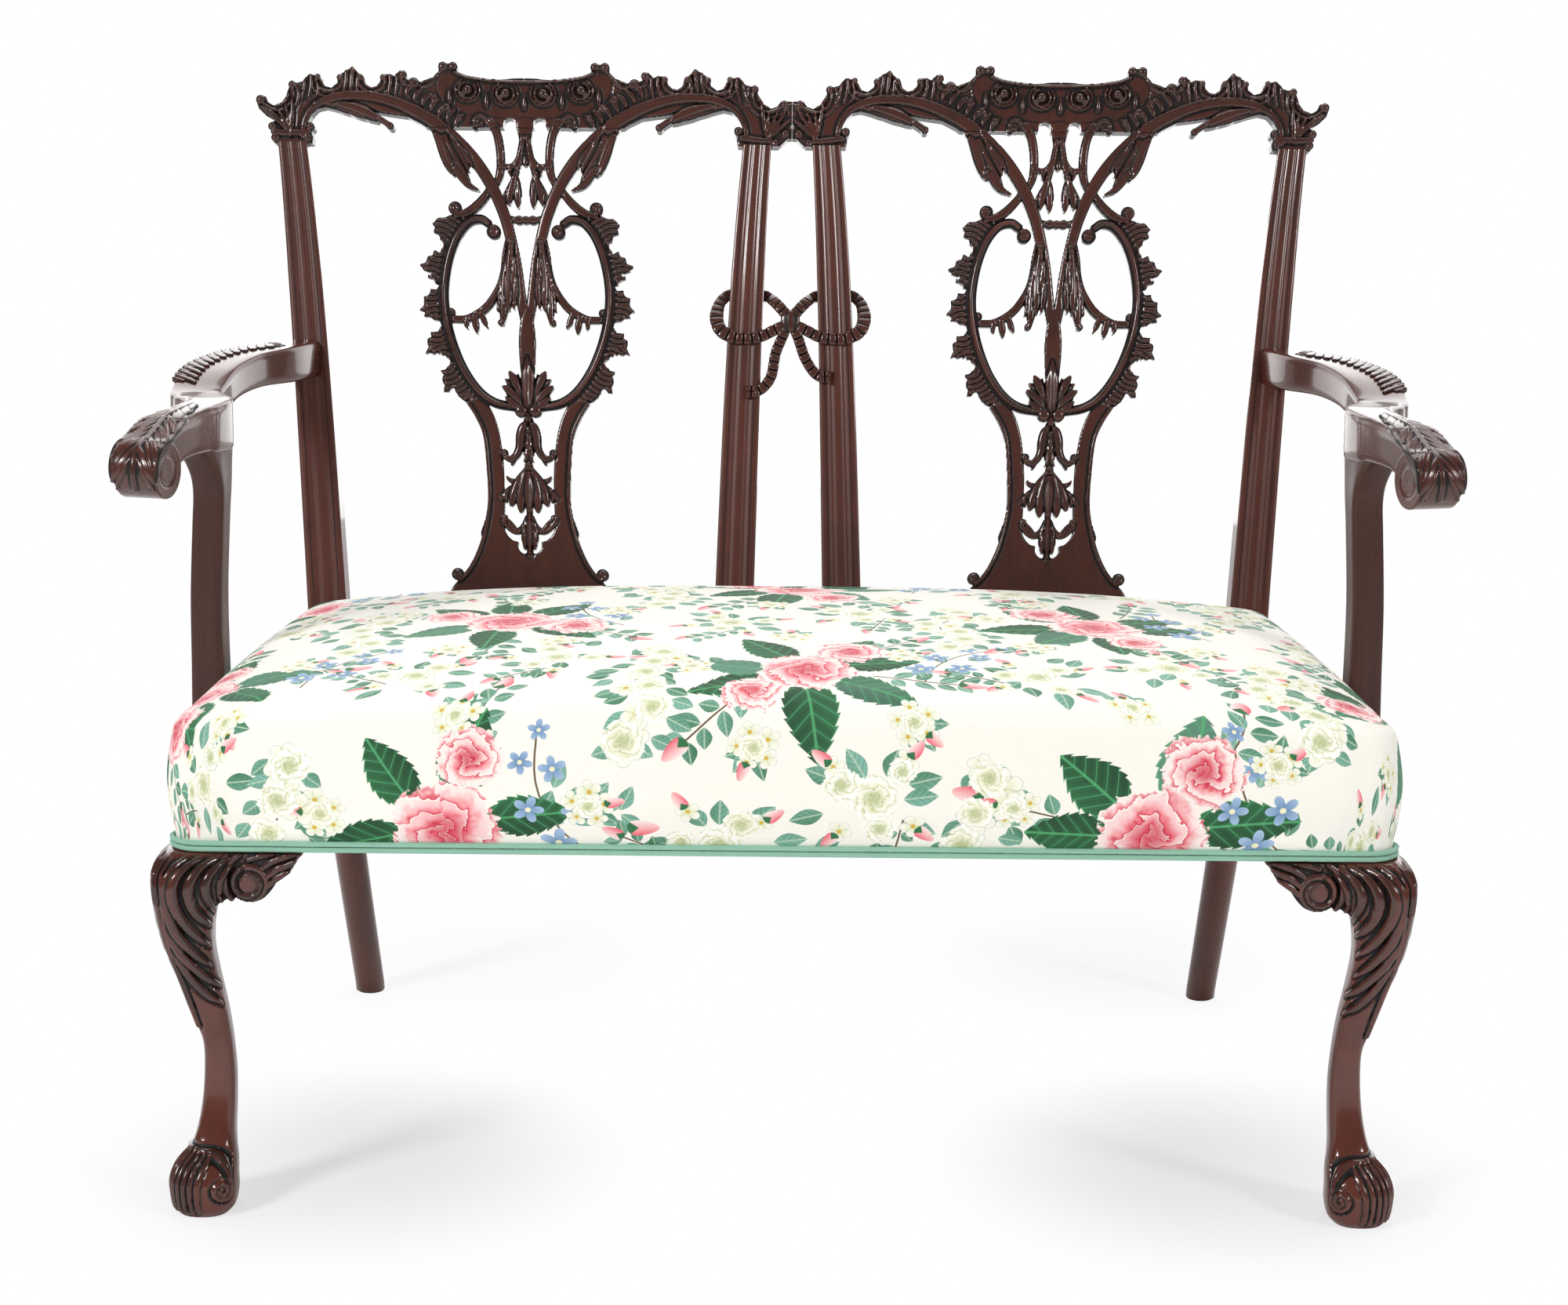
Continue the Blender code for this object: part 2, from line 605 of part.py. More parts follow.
def stile_width(up):
    return blend(STILE_FOOT_WIDTH, STILE_HEAD_WIDTH, max(0.0, up) / CREST_JOINT)


def stile_depth(up):
    return blend(STILE_FOOT_DEPTH, STILE_HEAD_DEPTH, max(0.0, up) / CREST_JOINT)


def front_count():
    return REEDS * REED_STEPS + 1


def reeded_section(width, depth, relief):
    """Across, and back from the front face: reeds in front when relief is 1, plain behind."""
    pitch = width / REEDS
    crown = depth * REED_DEPTH_SHARE * relief
    points = []
    for k in range(front_count()):
        hump = abs(math.sin(math.pi * k / REED_STEPS))
        points.append((-width / 2 + pitch * k / REED_STEPS, crown * (1 - hump)))
    ease = depth * BACK_EDGE_SHARE
    right = [(width / 2, depth / 3), (width / 2, depth * 2 / 3), (width / 2, depth - ease)]
    right += [(width / 2 - ease, depth), (width / 6, depth)]
    return [*points, *right, *((-a, b) for a, b in reversed(right))]


def round_section(width):
    """As many points as the reeded section, on a circle."""
    front = [blend(160, 20, k / (front_count() - 1)) for k in range(front_count())]
    behind = [blend(0, -180, k / 9) for k in range(10)]
    turns = [math.radians(t) for t in [*front, *behind]]
    return [(width / 2 * math.cos(t), width / 2 * (1 - math.sin(t))) for t in turns]


def back_ring(side, out, up, section):
    return [back_point(side, out + a, up, -b) for a, b in section]


def tenon_section(depth):
    """A small rectangle in the middle of the stile, with as many points as its section."""
    half = STILE_TENON_WIDTH / 2
    low, high = (depth - STILE_TENON_DEPTH) / 2, (depth + STILE_TENON_DEPTH) / 2
    last = front_count() - 1
    row = [(blend(-half, half, k / last), low) for k in range(last + 1)]
    right = [(half, blend(low, high, k / 3)) for k in (1, 1.5, 2, 3)] + [(half / 3, high)]
    return [*row, *right, *((-a, b) for a, b in reversed(right))]


def stile_head(side, direction, depth):
    """The two rings of a tenon on top of a stile; direction is 1 outside and -1 inside."""
    out = direction * stile_offset(CREST_JOINT)
    ups = (CREST_JOINT, CREST_JOINT + STILE_TENON_LENGTH)
    return [back_ring(side, out, up, tenon_section(depth)) for up in ups]


def rear_leg_front(z):
    """Y of the front of a rear leg between the rails' bottom and top."""
    share = (RAIL_TOP - z) / (RAIL_TOP - RAIL_BOTTOM)
    return back_front_y(RAIL_TOP) + REAR_KNEE_DROP * share**2


def outer_stile(side_name):
    """Rear leg and outer stile in one length of wood, with a tenon for the crest rail."""
    side = SIDES[side_name]
    knee_x = centre_line(0.0) + STILE_FOOT_OFFSET
    knee_y = rear_leg_front(RAIL_BOTTOM) + STILE_FOOT_DEPTH / 2
    path = smooth_through(
        (
            (knee_x - REAR_FOOT_IN, knee_y + REAR_FOOT_BACK, 0.0),
            (knee_x - REAR_MID_IN, knee_y + REAR_MID_BACK, RAIL_BOTTOM / 2),
            (knee_x, knee_y, RAIL_BOTTOM),
        ),
        4,
    )
    rings = []
    for k, centre in enumerate(path):
        share = k / (len(path) - 1)
        width = table_at(
            ((0.0, REAR_FOOT_WIDTH), (0.5, REAR_MID_WIDTH), (1.0, STILE_FOOT_WIDTH)), share
        )[0]
        square = max(0.0, (share - SQUARE_START_SHARE) / (1 - SQUARE_START_SHARE))
        ring = []
        depth = min(width, STILE_FOOT_DEPTH)
        for (a, b), (c, d) in zip(round_section(width), reeded_section(width, depth, 0.0)):
            across, back = blend(a, c, square), blend(b, d, square)
            ring.append(Vector((side * (centre.x + across), centre.y - depth / 2 + back, centre.z)))
        rings.append(ring)
    for share in (0.5, 1.0):
        z = blend(RAIL_BOTTOM, RAIL_TOP, share)
        section = reeded_section(STILE_FOOT_WIDTH, STILE_FOOT_DEPTH, 0.0)
        rings.append([Vector((side * (knee_x + a), rear_leg_front(z) + b, z)) for a, b in section])
    stations = 9
    for k in range(stations):
        up = CREST_JOINT * k / (stations - 1)
        relief = min(1.0, k / 2)
        section = reeded_section(stile_width(up), stile_depth(up), relief)
        rings.append(back_ring(side, stile_offset(up), up, section))
    rings += stile_head(side, 1, stile_depth(CREST_JOINT))
    leg = loft("rear_leg_and_stile_" + side_name, rings, MAHOGANY)
    return cut(
        leg,
        rear_tenon(side, CLEAR),
        side_tenon(side, CLEAR, False),
        arm_screw_hole(side),
        corner_screw_hole(side, False),
    )


def inner_stile(side_name):
    """Inner stile: stands on the rear rail and carries the crest rail."""
    side = SIDES[side_name]
    foot = up_at(RAIL_TOP + CLEAR) + INNER_STILE_DEPTH * math.tan(BACK_TILT)
    stations = 9
    ups = [blend(foot, CREST_JOINT, k / (stations - 1)) for k in range(stations)]
    rings = []
    for up in ups:
        section = reeded_section(stile_width(up), INNER_STILE_DEPTH, 1.0)
        rings.append(back_ring(side, -stile_offset(up), up, section))
    base = []
    for point in rings[0]:
        drop = (point.z - RAIL_TOP - CLEAR) * math.tan(BACK_TILT)
        base.append(Vector((point.x, point.y - drop, RAIL_TOP + CLEAR)))
    rings = [base, *rings[1:], *stile_head(side, -1, INNER_STILE_DEPTH)]
    stile = loft("inner_stile_" + side_name, rings, MAHOGANY)
    return join(stile, inner_tenon(side, 0.0))


def inner_tenon(side, slack):
    """Tenon at an inner stile's foot, or its mortise when slack is the gap all round."""
    x = side * (centre_line(0.0) - STILE_FOOT_OFFSET)
    y = back_front_y(RAIL_TOP) + INNER_STILE_DEPTH / 2
    half = STILE_TENON_WIDTH / 2 + slack
    deep = STILE_TENON_DEPTH / 2 + slack
    low = (x - half, y - deep, RAIL_TOP - STILE_TENON_LENGTH - slack)
    high = (x + half, y + deep, RAIL_TOP + OVERRUN)
    return box("tenon", low, high, MAHOGANY)


# Crest rails


def crest_points(shares):
    return scaled(shares, CREST_HALF_LENGTH, CREST_HEIGHT, CREST_JOINT)


def crest_outline():
    """The crest rail's edge: from the ear, along the top to the joint, and back under the arches."""
    top = crest_points(CREST_TOP_SHARES)
    joint_top, joint_low = crest_points((JOINT_TOP_SHARE, JOINT_LOW_SHARE))
    joint = [(joint_edge(v), v) for _, v in (joint_top, joint_low)]
    under_arch = crest_points(ARCH_SHARES)
    eyes = crest_points(CREST_LOW_SHARES)
    outer = [*crest_points(EAR_SHARES)[::-1], *top[::-1]]
    inner = [(-u, v) for u, v in [*top[1:], *crest_points(JOIN_TOP_SHARES)]]
    back = [(-u, v) for u, v in [*crest_points(JOIN_LOW_SHARES), *under_arch, *eyes]]
    front = [*eyes[::-1], *under_arch[::-1]]
    return [*outer, *inner, *joint, *back, *front]


def joint_edge(up):
    """Where the settee's middle lies, seen from a chair's centre line."""
    return -(centre_line(up) - CLEAR / 2)


def crest_rail(side_name):
    """One of the two crest rails. They meet in the middle of the settee, and sit on the stiles."""
    side = SIDES[side_name]
    name = "crest_rail_" + side_name
    low, high = CREST_PROUD - CREST_THICK, CREST_PROUD
    bottom = CREST_JOINT + CLEAR

    def place(out, up, proud):
        return back_point(side, out, max(up, bottom), proud)

    crest = prism(name, crest_outline(), place, low, high, MAHOGANY)
    cutters = []
    for out, depth in (
        (stile_offset(CREST_JOINT), stile_depth(CREST_JOINT)),
        (-stile_offset(CREST_JOINT), INNER_STILE_DEPTH),
    ):
        half = STILE_TENON_WIDTH / 2 + CLEAR
        outline = [
            (out - half, CREST_JOINT - OVERRUN),
            (out + half, CREST_JOINT - OVERRUN),
            (out + half, CREST_JOINT + STILE_TENON_LENGTH + CLEAR),
            (out - half, CREST_JOINT + STILE_TENON_LENGTH + CLEAR),
        ]
        middle = -depth / 2
        reach = STILE_TENON_DEPTH / 2 + CLEAR
        cutters.append(
            prism(
                "mortise",
                outline,
                lambda a, b, c: back_point(side, a, b, c),
                middle - reach,
                middle + reach,
                MAHOGANY,
            )
        )
    cutters += [splat_tenon(side, direction, CLEAR) for direction in (-1, 1)]
    return cut(crest, *cutters)


def splat_tenon(side, direction, slack):
    """One of a splat's two tenons, or its mortise when slack is the gap all round."""
    half = SPLAT_TENON_HALF + slack
    out = direction * SPLAT_HALF_WIDTH * SPLAT_TENON_OUT_SHARE
    top = SPLAT_HEIGHT + SPLAT_TENON + slack
    low = SPLAT_HEIGHT - OVERRUN
    outline = [(out - half, low), (out + half, low), (out + half, top), (out - half, top)]
    middle = -(SPLAT_SETBACK + SPLAT_THICK / 2)
    reach = SPLAT_THICK / 3 + slack

    def place(a, b, c):
        return back_point(side, a, b, c)

    return prism("tenon", outline, place, middle - reach, middle + reach, MAHOGANY)


# Splats, traced from strokes on a grid


def stroke_field(us, vs, points, radius):
    """Distance from a stroke's edge, less than zero inside it."""
    field = np.full(us.shape, np.inf)
    for (ax, ay), (bx, by) in zip(points, points[1:]):
        dx, dy = bx - ax, by - ay
        span = dx * dx + dy * dy
        t = np.clip(((us - ax) * dx + (vs - ay) * dy) / span, 0, 1)
        field = np.minimum(field, np.hypot(us - ax - t * dx, vs - ay - t * dy))
    return field - radius


def patch_field(us, vs, points):
    """Distance from a closed patch's edge, less than zero inside it."""
    loop = [*points, points[0]]
    edge = stroke_field(us, vs, loop, 0.0)
    inside = np.zeros(us.shape, bool)
    for (ax, ay), (bx, by) in zip(loop, loop[1:]):
        if ay == by:
            continue
        crosses = (ay > vs) != (by > vs)
        inside ^= crosses & (us < ax + (vs - ay) * (bx - ax) / (by - ay))
    return np.where(inside, -edge, edge)


def splat_points(shares):
    return scaled(shares, SPLAT_HALF_WIDTH, SPLAT_HEIGHT)


def curve_2d(shares):
    return [(p.x, p.y) for p in smooth_through([(u, v, 0.0) for u, v in splat_points(shares)], 3)]


def splat_field(us, vs):
    """The pierced board as one field. Half the board is drawn, and the other half mirrors it."""
    strokes = (
        (V_STRAP_SHARES, STRAP_HALF),
        (OVAL_SHARES, RING_HALF),
        (INNER_BAND_SHARES, BAND_HALF),
        (SCROLL_ARM_SHARES, RING_HALF),
        (TOP_LOOP_SHARES, RING_HALF),
        (STEM_LEG_SHARES, RING_HALF),
        (STEM_LINK_SHARES, TWIG_HALF),
        (BALUSTER_SHARES, TWIG_HALF),
        (BELL_LINK_SHARES, TWIG_HALF),
        (PENDANT_LINK_SHARES, TWIG_HALF),
        (LOW_LINK_SHARES, TWIG_HALF),
    )
    field = np.full(us.shape, np.inf)
    for shares, radius in strokes:
        field = np.minimum(field, stroke_field(us, vs, curve_2d(shares), radius))
    field = np.minimum(field, stroke_field(us, vs, splat_points(STEM_SHARES), STEM_HALF))
    field = np.minimum(field, stroke_field(us, vs, splat_points(TRUNK_SHARES), TRUNK_HALF))
    field = np.minimum(field, stroke_field(us, vs, splat_points(LOW_STEM_SHARES), TWIG_HALF))
    for eye in splat_points(VOLUTE_SHARES):
        field = np.minimum(field, stroke_field(us, vs, (eye, (eye[0], eye[1] + CLEAR)), VOLUTE_R))
    border = patch_field(us, vs, splat_points(ROCAILLE_SHARES))
    for eye in splat_points(NOTCH_SHARES):
        notch = stroke_field(us, vs, (eye, (eye[0], eye[1] + CLEAR)), NOTCH_R)
        border = np.maximum(border, -notch)
    field = np.minimum(field, border)
    for shares in (
        INNER_LEAF_SHARES,
        BAND_TIP_SHARES,
        STEM_TIP_SHARES,
        LONG_LEAF_SHARES,
        PALMETTE_SHARES,
        BELL_SHARES,
        PENDANT_SHARES,
        LOW_LEAF_SHARES,
        PANEL_SHARES,
    ):
        over_axis = [(u or -OVERRUN, v) for u, v in splat_points(shares)]
        field = np.minimum(field, patch_field(us, vs, over_axis))
    return np.maximum(field, vs - (SPLAT_HEIGHT - CLEAR))


def traced(field, us, vs):
    """Closed loops where the field is zero, by walking the grid's crossed edges."""
    inside = field < 0
    links = {}

    def crossing(a, b):
        fa, fb = field[a], field[b]
        t = fa / (fa - fb)
        return (blend(us[a], us[b], t), blend(vs[a], vs[b], t))

    rows, columns = field.shape
    mixed = (
        inside[:-1, :-1].astype(int) + inside[1:, :-1] + inside[:-1, 1:] + inside[1:, 1:]
    )
    for i, j in zip(*np.nonzero((mixed > 0) & (mixed < 4))):
        corners = [(i, j), (i + 1, j), (i + 1, j + 1), (i, j + 1)]
        enters, leaves = [], []
        for k in range(4):
            a, b = corners[k], corners[(k + 1) % 4]
            if inside[a] and not inside[b]:
                leaves.append((k, (a, b)))
            elif inside[b] and not inside[a]:
                enters.append((k, (b, a)))
        for k, edge in leaves:
            nearest = min(enters, key=lambda e, k=k: (e[0] - k) % 4)
            links[edge] = nearest[1]
    loops = []
    while links:
        start = edge = next(iter(links))
        loop = []
        while edge in links:
            loop.append(crossing(*edge))
            edge = links.pop(edge)
            if edge == start:
                break
        loops.append(loop)
    return loops


def thinned(loop, slack):
    """The loop without the points that lie within slack of the line between those kept."""
    points = np.array(loop)
    far = int(np.argmax(np.hypot(*(points - points[0]).T)))
    keep = {0, far}
    spans = [(0, far), (far, len(points))]
    closed = np.vstack([points, points[:1]])
    while spans:
        a, b = spans.pop()
        if b - a < 2:
            continue
        line = closed[b] - closed[a]
        length = max(float(np.hypot(*line)), CLEAR)
        offset = closed[a + 1 : b] - closed[a]
        gap = np.abs(offset[:, 0] * line[1] - offset[:, 1] * line[0]) / length
        k = int(np.argmax(gap))
        if gap[k] > slack:
            keep.add(a + 1 + k)
            spans += [(a, a + 1 + k), (a + 1 + k, b)]
    made = []
    for k in sorted(keep):
        if not made or math.dist(made[-1], loop[k]) > slack:
            made.append(loop[k])
    return made


def filled(loops):
    """Points and faces of a flat board with those edges and holes."""
    shape = bpy.data.curves.new("board", "CURVE")
    shape.dimensions = "2D"
    shape.fill_mode = "FRONT"
    for loop in loops:
        spline = shape.splines.new("POLY")
        spline.points.add(len(loop) - 1)
        for point, (u, v) in zip(spline.points, loop):
            point.co = (u, v, 0.0, 1.0)
        spline.use_cyclic_u = True
    holder = bpy.data.objects.new("board", shape)
    bpy.context.scene.collection.objects.link(holder)
    bpy.context.view_layer.update()
    graph = bpy.context.evaluated_depsgraph_get()
    mesh = bpy.data.meshes.new_from_object(holder.evaluated_get(graph))
    bpy.data.objects.remove(holder)
    flat = bmesh.new()
    flat.from_mesh(mesh)
    faces = [[tuple(round(c, 7) for c in v.co[:2]) for v in f.verts] for f in flat.faces]
    flat.free()
    points = sorted({spot for face in faces for spot in face})
    index = {spot: k for k, spot in enumerate(points)}
    return points, [tuple(index[spot] for spot in face) for face in faces]


def board(name, loops, place, low, high, look):
    """A board with those edges and holes, carried from low to high by place."""
    points, faces = filled(loops)
    count = len(points)
    edges = {}
    for face in faces:
        for a, b in zip(face, (*face[1:], face[0])):
            edges[(a, b)] = (b, a)
    rims = [(a, b) for a, b in edges if (b, a) not in edges]
    skin = [*faces, *(tuple(count + k for k in reversed(face)) for face in faces)]
    skin += [(b, a, count + a, count + b) for a, b in rims]
    places = [place(u, v, height) for height in (low, high) for u, v in points]
    return solid(name, places, skin, look)


def splat_loops():
    reach = SPLAT_HALF_WIDTH + GRID_STEP * 2
    half_count = math.ceil(reach / GRID_STEP)
    us = (np.arange(-half_count, half_count + 1)) * GRID_STEP
    vs = np.arange(-2, math.ceil(SPLAT_HEIGHT / GRID_STEP) + 3) * GRID_STEP + TRACE_SLACK
    grid_u, grid_v = np.meshgrid(us, vs, indexing="ij")
    field = splat_field(np.abs(grid_u), grid_v)
    loops = [thinned(loop, TRACE_SLACK) for loop in traced(field, grid_u, grid_v)]
    return [loop for loop in loops if len(loop) > 4]


def splat(side_name, loops):
    """Pierced splat: its head meets the crest rail, its tongue stands in the shoe."""
    side = SIDES[side_name]
    name = "splat_" + side_name
    middle = -(SPLAT_SETBACK + SPLAT_THICK / 2)

    def place(out, up, proud):
        return back_point(side, out, up, proud)

    low, high = middle - SPLAT_THICK / 2, middle + SPLAT_THICK / 2
    piece = board(name, loops, place, low, high, MAHOGANY)
    half = SHOE_HALF_WIDTH - SHOE_END
    outline = [(-half, -SPLAT_TONGUE), (half, -SPLAT_TONGUE), (half, OVERRUN), (-half, OVERRUN)]
    reach = SPLAT_THICK / 2 - CLEAR * 2
    tongue = prism("tongue", outline, place, middle - reach, middle + reach, MAHOGANY)
    return join(piece, tongue, *(splat_tenon(side, direction, 0.0) for direction in (-1, 1)))


def shoe(side_name):
    """The shoe on the rear rail that holds the splat's tongue in a slot."""
    side = SIDES[side_name]
    name = "splat_shoe_" + side_name
    foot = RAIL_TOP + CLEAR
    top = -CLEAR

    def place(out, up, proud):
        point = back_point(side, out, up, proud)
        point.z = max(point.z, foot)
        return point

    low = up_at(foot)
    half = SHOE_HALF_WIDTH
    outline = [(-half, low), (half, low), (half, top), (-half, top)]
    body = prism(name, outline, place, -SHOE_DEPTH, -CLEAR, MAHOGANY)
    slot_half = half - SHOE_END + CLEAR
    middle = -(SPLAT_SETBACK + SPLAT_THICK / 2)
    reach = SPLAT_THICK / 2 - CLEAR
    slot = [
        (-slot_half, top - SPLAT_TONGUE - CLEAR),
        (slot_half, top - SPLAT_TONGUE - CLEAR),
        (slot_half, top + OVERRUN),
        (-slot_half, top + OVERRUN),
    ]
    cutter = prism(
        "slot", slot, lambda a, b, c: back_point(side, a, b, c), middle - reach, middle + reach, MAHOGANY
    )
    return cut(body, cutter)


# Seat frame


def stile_face_x():
    """Outer face of a rear leg at the rails."""
    return centre_line(0.0) + STILE_FOOT_OFFSET + STILE_FOOT_WIDTH / 2


def side_taper():
    """How far a side rail moves inward for each metre toward the back."""
    run = rear_leg_front(RAIL_TOP) - LEG_BLOCK_Y - LEG_BLOCK / 2
    return (FRONT_HALF_WIDTH - stile_face_x()) / run


def side_face_x(y):
    """Outer face of a side rail at y."""
    return FRONT_HALF_WIDTH - side_taper() * (y - LEG_BLOCK_Y - LEG_BLOCK / 2)


def rear_rail_y():
    return back_front_y(RAIL_TOP) - REAR_RAIL_LAND


def side_rail_point(side, inset, y, z):
    return Vector((side * (side_face_x(y) - inset), y, z))


def tenon_span():
    return RAIL_BOTTOM + TENON_SHOULDER, RAIL_TOP - TENON_SHOULDER


def front_tenon(side, slack):
    """Tenon of the front rail in a front leg, or its mortise."""
    low, high = tenon_span()
    face = LEG_BLOCK_X - LEG_BLOCK / 2
    start, end = face - OVERRUN, face + TENON_LENGTH + slack
    middle = FRONT_FACE_Y + RAIL_THICK / 2
    deep = TENON_THICK / 2 + slack
    outline = ((start, middle - deep), (end, middle - deep), (end, middle + deep), (start, middle + deep))
    return prism(
        "tenon", outline, lambda a, b, c: Vector((side * a, b, c)), low - slack, high + slack, MAHOGANY
    )


def side_tenon(side, slack, at_front):
    """Tenon at one end of a side rail, or its mortise."""
    low, high = tenon_span()
    near, far = (RAIL_THICK - TENON_THICK) / 2 - slack, (RAIL_THICK + TENON_THICK) / 2 + slack
    if at_front:
        face = LEG_BLOCK_Y + LEG_BLOCK / 2
        start, end = face + OVERRUN, face - TENON_LENGTH - slack
    else:
        rear_face = rear_rail_y() + REAR_RAIL_THICK - REAR_TENON_IN
        start = rear_leg_front(RAIL_TOP) - OVERRUN
        end = rear_face - TENON_THICK - SIDE_TENON_LAND + slack - CLEAR
    outline = ((near, start), (far, start), (far, end), (near, end))

    def place(a, b, c):
        return side_rail_point(side, a, b, c)

    return prism("tenon", outline, place, low - slack, high + slack, MAHOGANY)


def rear_tenon(side, slack):
    """Tenon of the rear rail in a rear leg, or its mortise."""
    low, high = tenon_span()
    face = rear_rail_end()
    start, end = face - OVERRUN, face + TENON_LENGTH + slack
    back = rear_rail_y() + REAR_RAIL_THICK - REAR_TENON_IN
    near, far = back - TENON_THICK - slack, back + slack
    outline = ((start, near), (end, near), (end, far), (start, far))
    return prism(
        "tenon", outline, lambda a, b, c: Vector((side * a, b, c)), low - slack, high + slack, MAHOGANY
    )


def rear_rail_end():
    return centre_line(0.0) + STILE_FOOT_OFFSET - STILE_FOOT_WIDTH / 2 - CLEAR


def brace_housing(slack):
    """The middle brace, or the room for it when slack is the gap all round."""
    top = RAIL_TOP - BRACE_DROP + slack
    half = BRACE_WIDTH / 2 + slack
    front = FRONT_FACE_Y + RAIL_THICK - BRACE_HOUSING - slack
    rear = rear_rail_y() + BRACE_HOUSING + slack
    return box("seat_brace", (-half, front, top - BRACE_THICK - slack), (half, rear, top), BEECH)


def front_rail():
    end = LEG_BLOCK_X - LEG_BLOCK / 2 - CLEAR
    low = (-end, FRONT_FACE_Y, RAIL_BOTTOM)
    rail = box("seat_rail_front", low, (end, FRONT_FACE_Y + RAIL_THICK, RAIL_TOP), BEECH)
    join(rail, front_tenon(-1, 0.0), front_tenon(1, 0.0))
    return cut(rail, brace_housing(CLEAR))


def rear_rail():
    end = rear_rail_end()
    low = (-end, rear_rail_y(), RAIL_BOTTOM)
    rail = box("seat_rail_rear", low, (end, rear_rail_y() + REAR_RAIL_THICK, RAIL_TOP), MAHOGANY)
    join(rail, rear_tenon(-1, 0.0), rear_tenon(1, 0.0))
    cutters = [brace_housing(CLEAR)]
    for side in (-1, 1):
        cutters += [inner_tenon(side, CLEAR), corner_screw_hole(side, False)]
    return cut(rail, *cutters)


def side_rail(side_name):
    side = SIDES[side_name]
    front = LEG_BLOCK_Y + LEG_BLOCK / 2 + CLEAR
    ends = [(rear_leg_front(z) - CLEAR, z) for z in (RAIL_BOTTOM, (RAIL_BOTTOM + RAIL_TOP) / 2, RAIL_TOP)]
    outline = [(front, RAIL_TOP), (front, RAIL_BOTTOM), *ends]

    def place(a, b, c):
        return side_rail_point(side, c, a, b)

    rail = prism("seat_rail_" + side_name, outline, place, 0.0, RAIL_THICK, BEECH)
    join(rail, side_tenon(side, 0.0, True), side_tenon(side, 0.0, False))
    return cut(rail, *(support_screw_hole(side, k) for k in range(len(SUPPORT_SCREW_SHARES))))


def corner_outline(at_front):
    """Plan of a corner block on the right, notched round the leg that it stiffens."""
    inside = RAIL_THICK + CLEAR
    if at_front:
        rail_y = FRONT_FACE_Y + inside
        leg_x = LEG_BLOCK_X - LEG_BLOCK / 2 - CLEAR
        leg_y = LEG_BLOCK_Y + LEG_BLOCK / 2 + CLEAR
        away = 1
    else:
        rail_y = rear_rail_y() - CLEAR
        leg_x = rear_rail_end()
        leg_y = rear_leg_front(RAIL_TOP) - CLEAR
        away = -1
    far_y = leg_y + away * BLOCK_LEG
    if not at_front:
        return (
            (leg_x - BLOCK_LEG, rail_y),
            (side_face_x(far_y) - inside, far_y),
            (side_face_x(rail_y) - inside, rail_y),
        )
    return (
        (leg_x, rail_y),
        (leg_x - BLOCK_LEG, rail_y),
        (side_face_x(far_y) - inside, far_y),
        (side_face_x(leg_y) - inside, leg_y),
        (leg_x, leg_y),
    )


def corner_screw_line(side, at_front, depth, overrun=0.0):
    """Axis of the screw that draws a corner block to its leg: head end, then point."""
    outline = corner_outline(at_front)
    ends = (outline[1], outline[2]) if at_front else (outline[0], outline[1])
    start = Vector((*((a + b) / 2 for a, b in zip(*ends)), RAIL_BOTTOM + BLOCK_RISE + BLOCK_HEIGHT / 2))
    across = Vector((ends[1][0] - ends[0][0], ends[1][1] - ends[0][1], 0.0)).normalized()
    ahead = Vector((abs(across.y), -across.x if at_front else abs(across.x), 0.0))
    end = start + ahead * depth
    start = start - ahead * overrun
    return Vector((side * start.x, start.y, start.z)), Vector((side * end.x, end.y, end.z))


def corner_screw_hole(side, at_front):
    start, end = corner_screw_line(side, at_front, CORNER_SCREW + CLEAR, OVERRUN)
    return rod("hole", start, end, SCREW_R + CLEAR, STEEL)


def corner_block(side_name, place_name):
    side = SIDES[side_name]
    at_front = place_name == "front"
    low = RAIL_BOTTOM + BLOCK_RISE
    block = prism(
        "corner_block_" + place_name + "_" + side_name,
        corner_outline(at_front),
        lambda a, b, c: Vector((side * a, b, c)),
        low,
        low + BLOCK_HEIGHT,
        BEECH,
    )
    return cut(block, corner_screw_hole(side, at_front))


def screw(name, start, end):
    """A screw whose head seats at start and whose point is at end."""
    axis = (Vector(end) - Vector(start)).normalized()
    seat = Vector(start) - axis * CLEAR
    body = rod(name, seat, end, SCREW_R, STEEL)
    head = rod("head", seat - axis * SCREW_HEAD_THICK, seat + axis * CLEAR / 2, SCREW_HEAD_R, STEEL)
    return join(body, head)


# Front legs and their brackets


def squared_ring(centre, half, power, z, side):
    ring = []
    for k in range(LEG_SIDES):
        turn = 2 * math.pi * (k + 0.5) / LEG_SIDES
        c, s = math.cos(turn), math.sin(turn)
        reach = half / (abs(c) ** power + abs(s) ** power) ** (1 / power)
        ring.append(Vector((side * (centre[0] + reach * c), centre[1] + reach * s, z)))
    return ring


def leg_ring(share_row, side):
    height, outward, forward, half = share_row
    centre = (LEG_BLOCK_X + KNEE_OUT * outward, LEG_BLOCK_Y - KNEE_OUT * forward)
    power = 4.0 if height > KNEE_START_SHARE else 2.4
    return squared_ring(centre, half * LEG_BLOCK / 2, power, height * LEG_TOP, side)


def leg_inner_x(z):
    """Nearest point to the settee's middle of a front leg, at height z."""
    rows = [(h * LEG_TOP, LEG_BLOCK_X + KNEE_OUT * out - half * LEG_BLOCK / 2) for h, out, _, half in LEG_SHARES]
    return table_at(rows, z)[0]


def leg_rear_y(z):
    rows = [
        (h * LEG_TOP, LEG_BLOCK_Y - KNEE_OUT * forward + half * LEG_BLOCK / 2)
        for h, _, forward, half in LEG_SHARES
    ]
    return table_at(rows, z)[0]


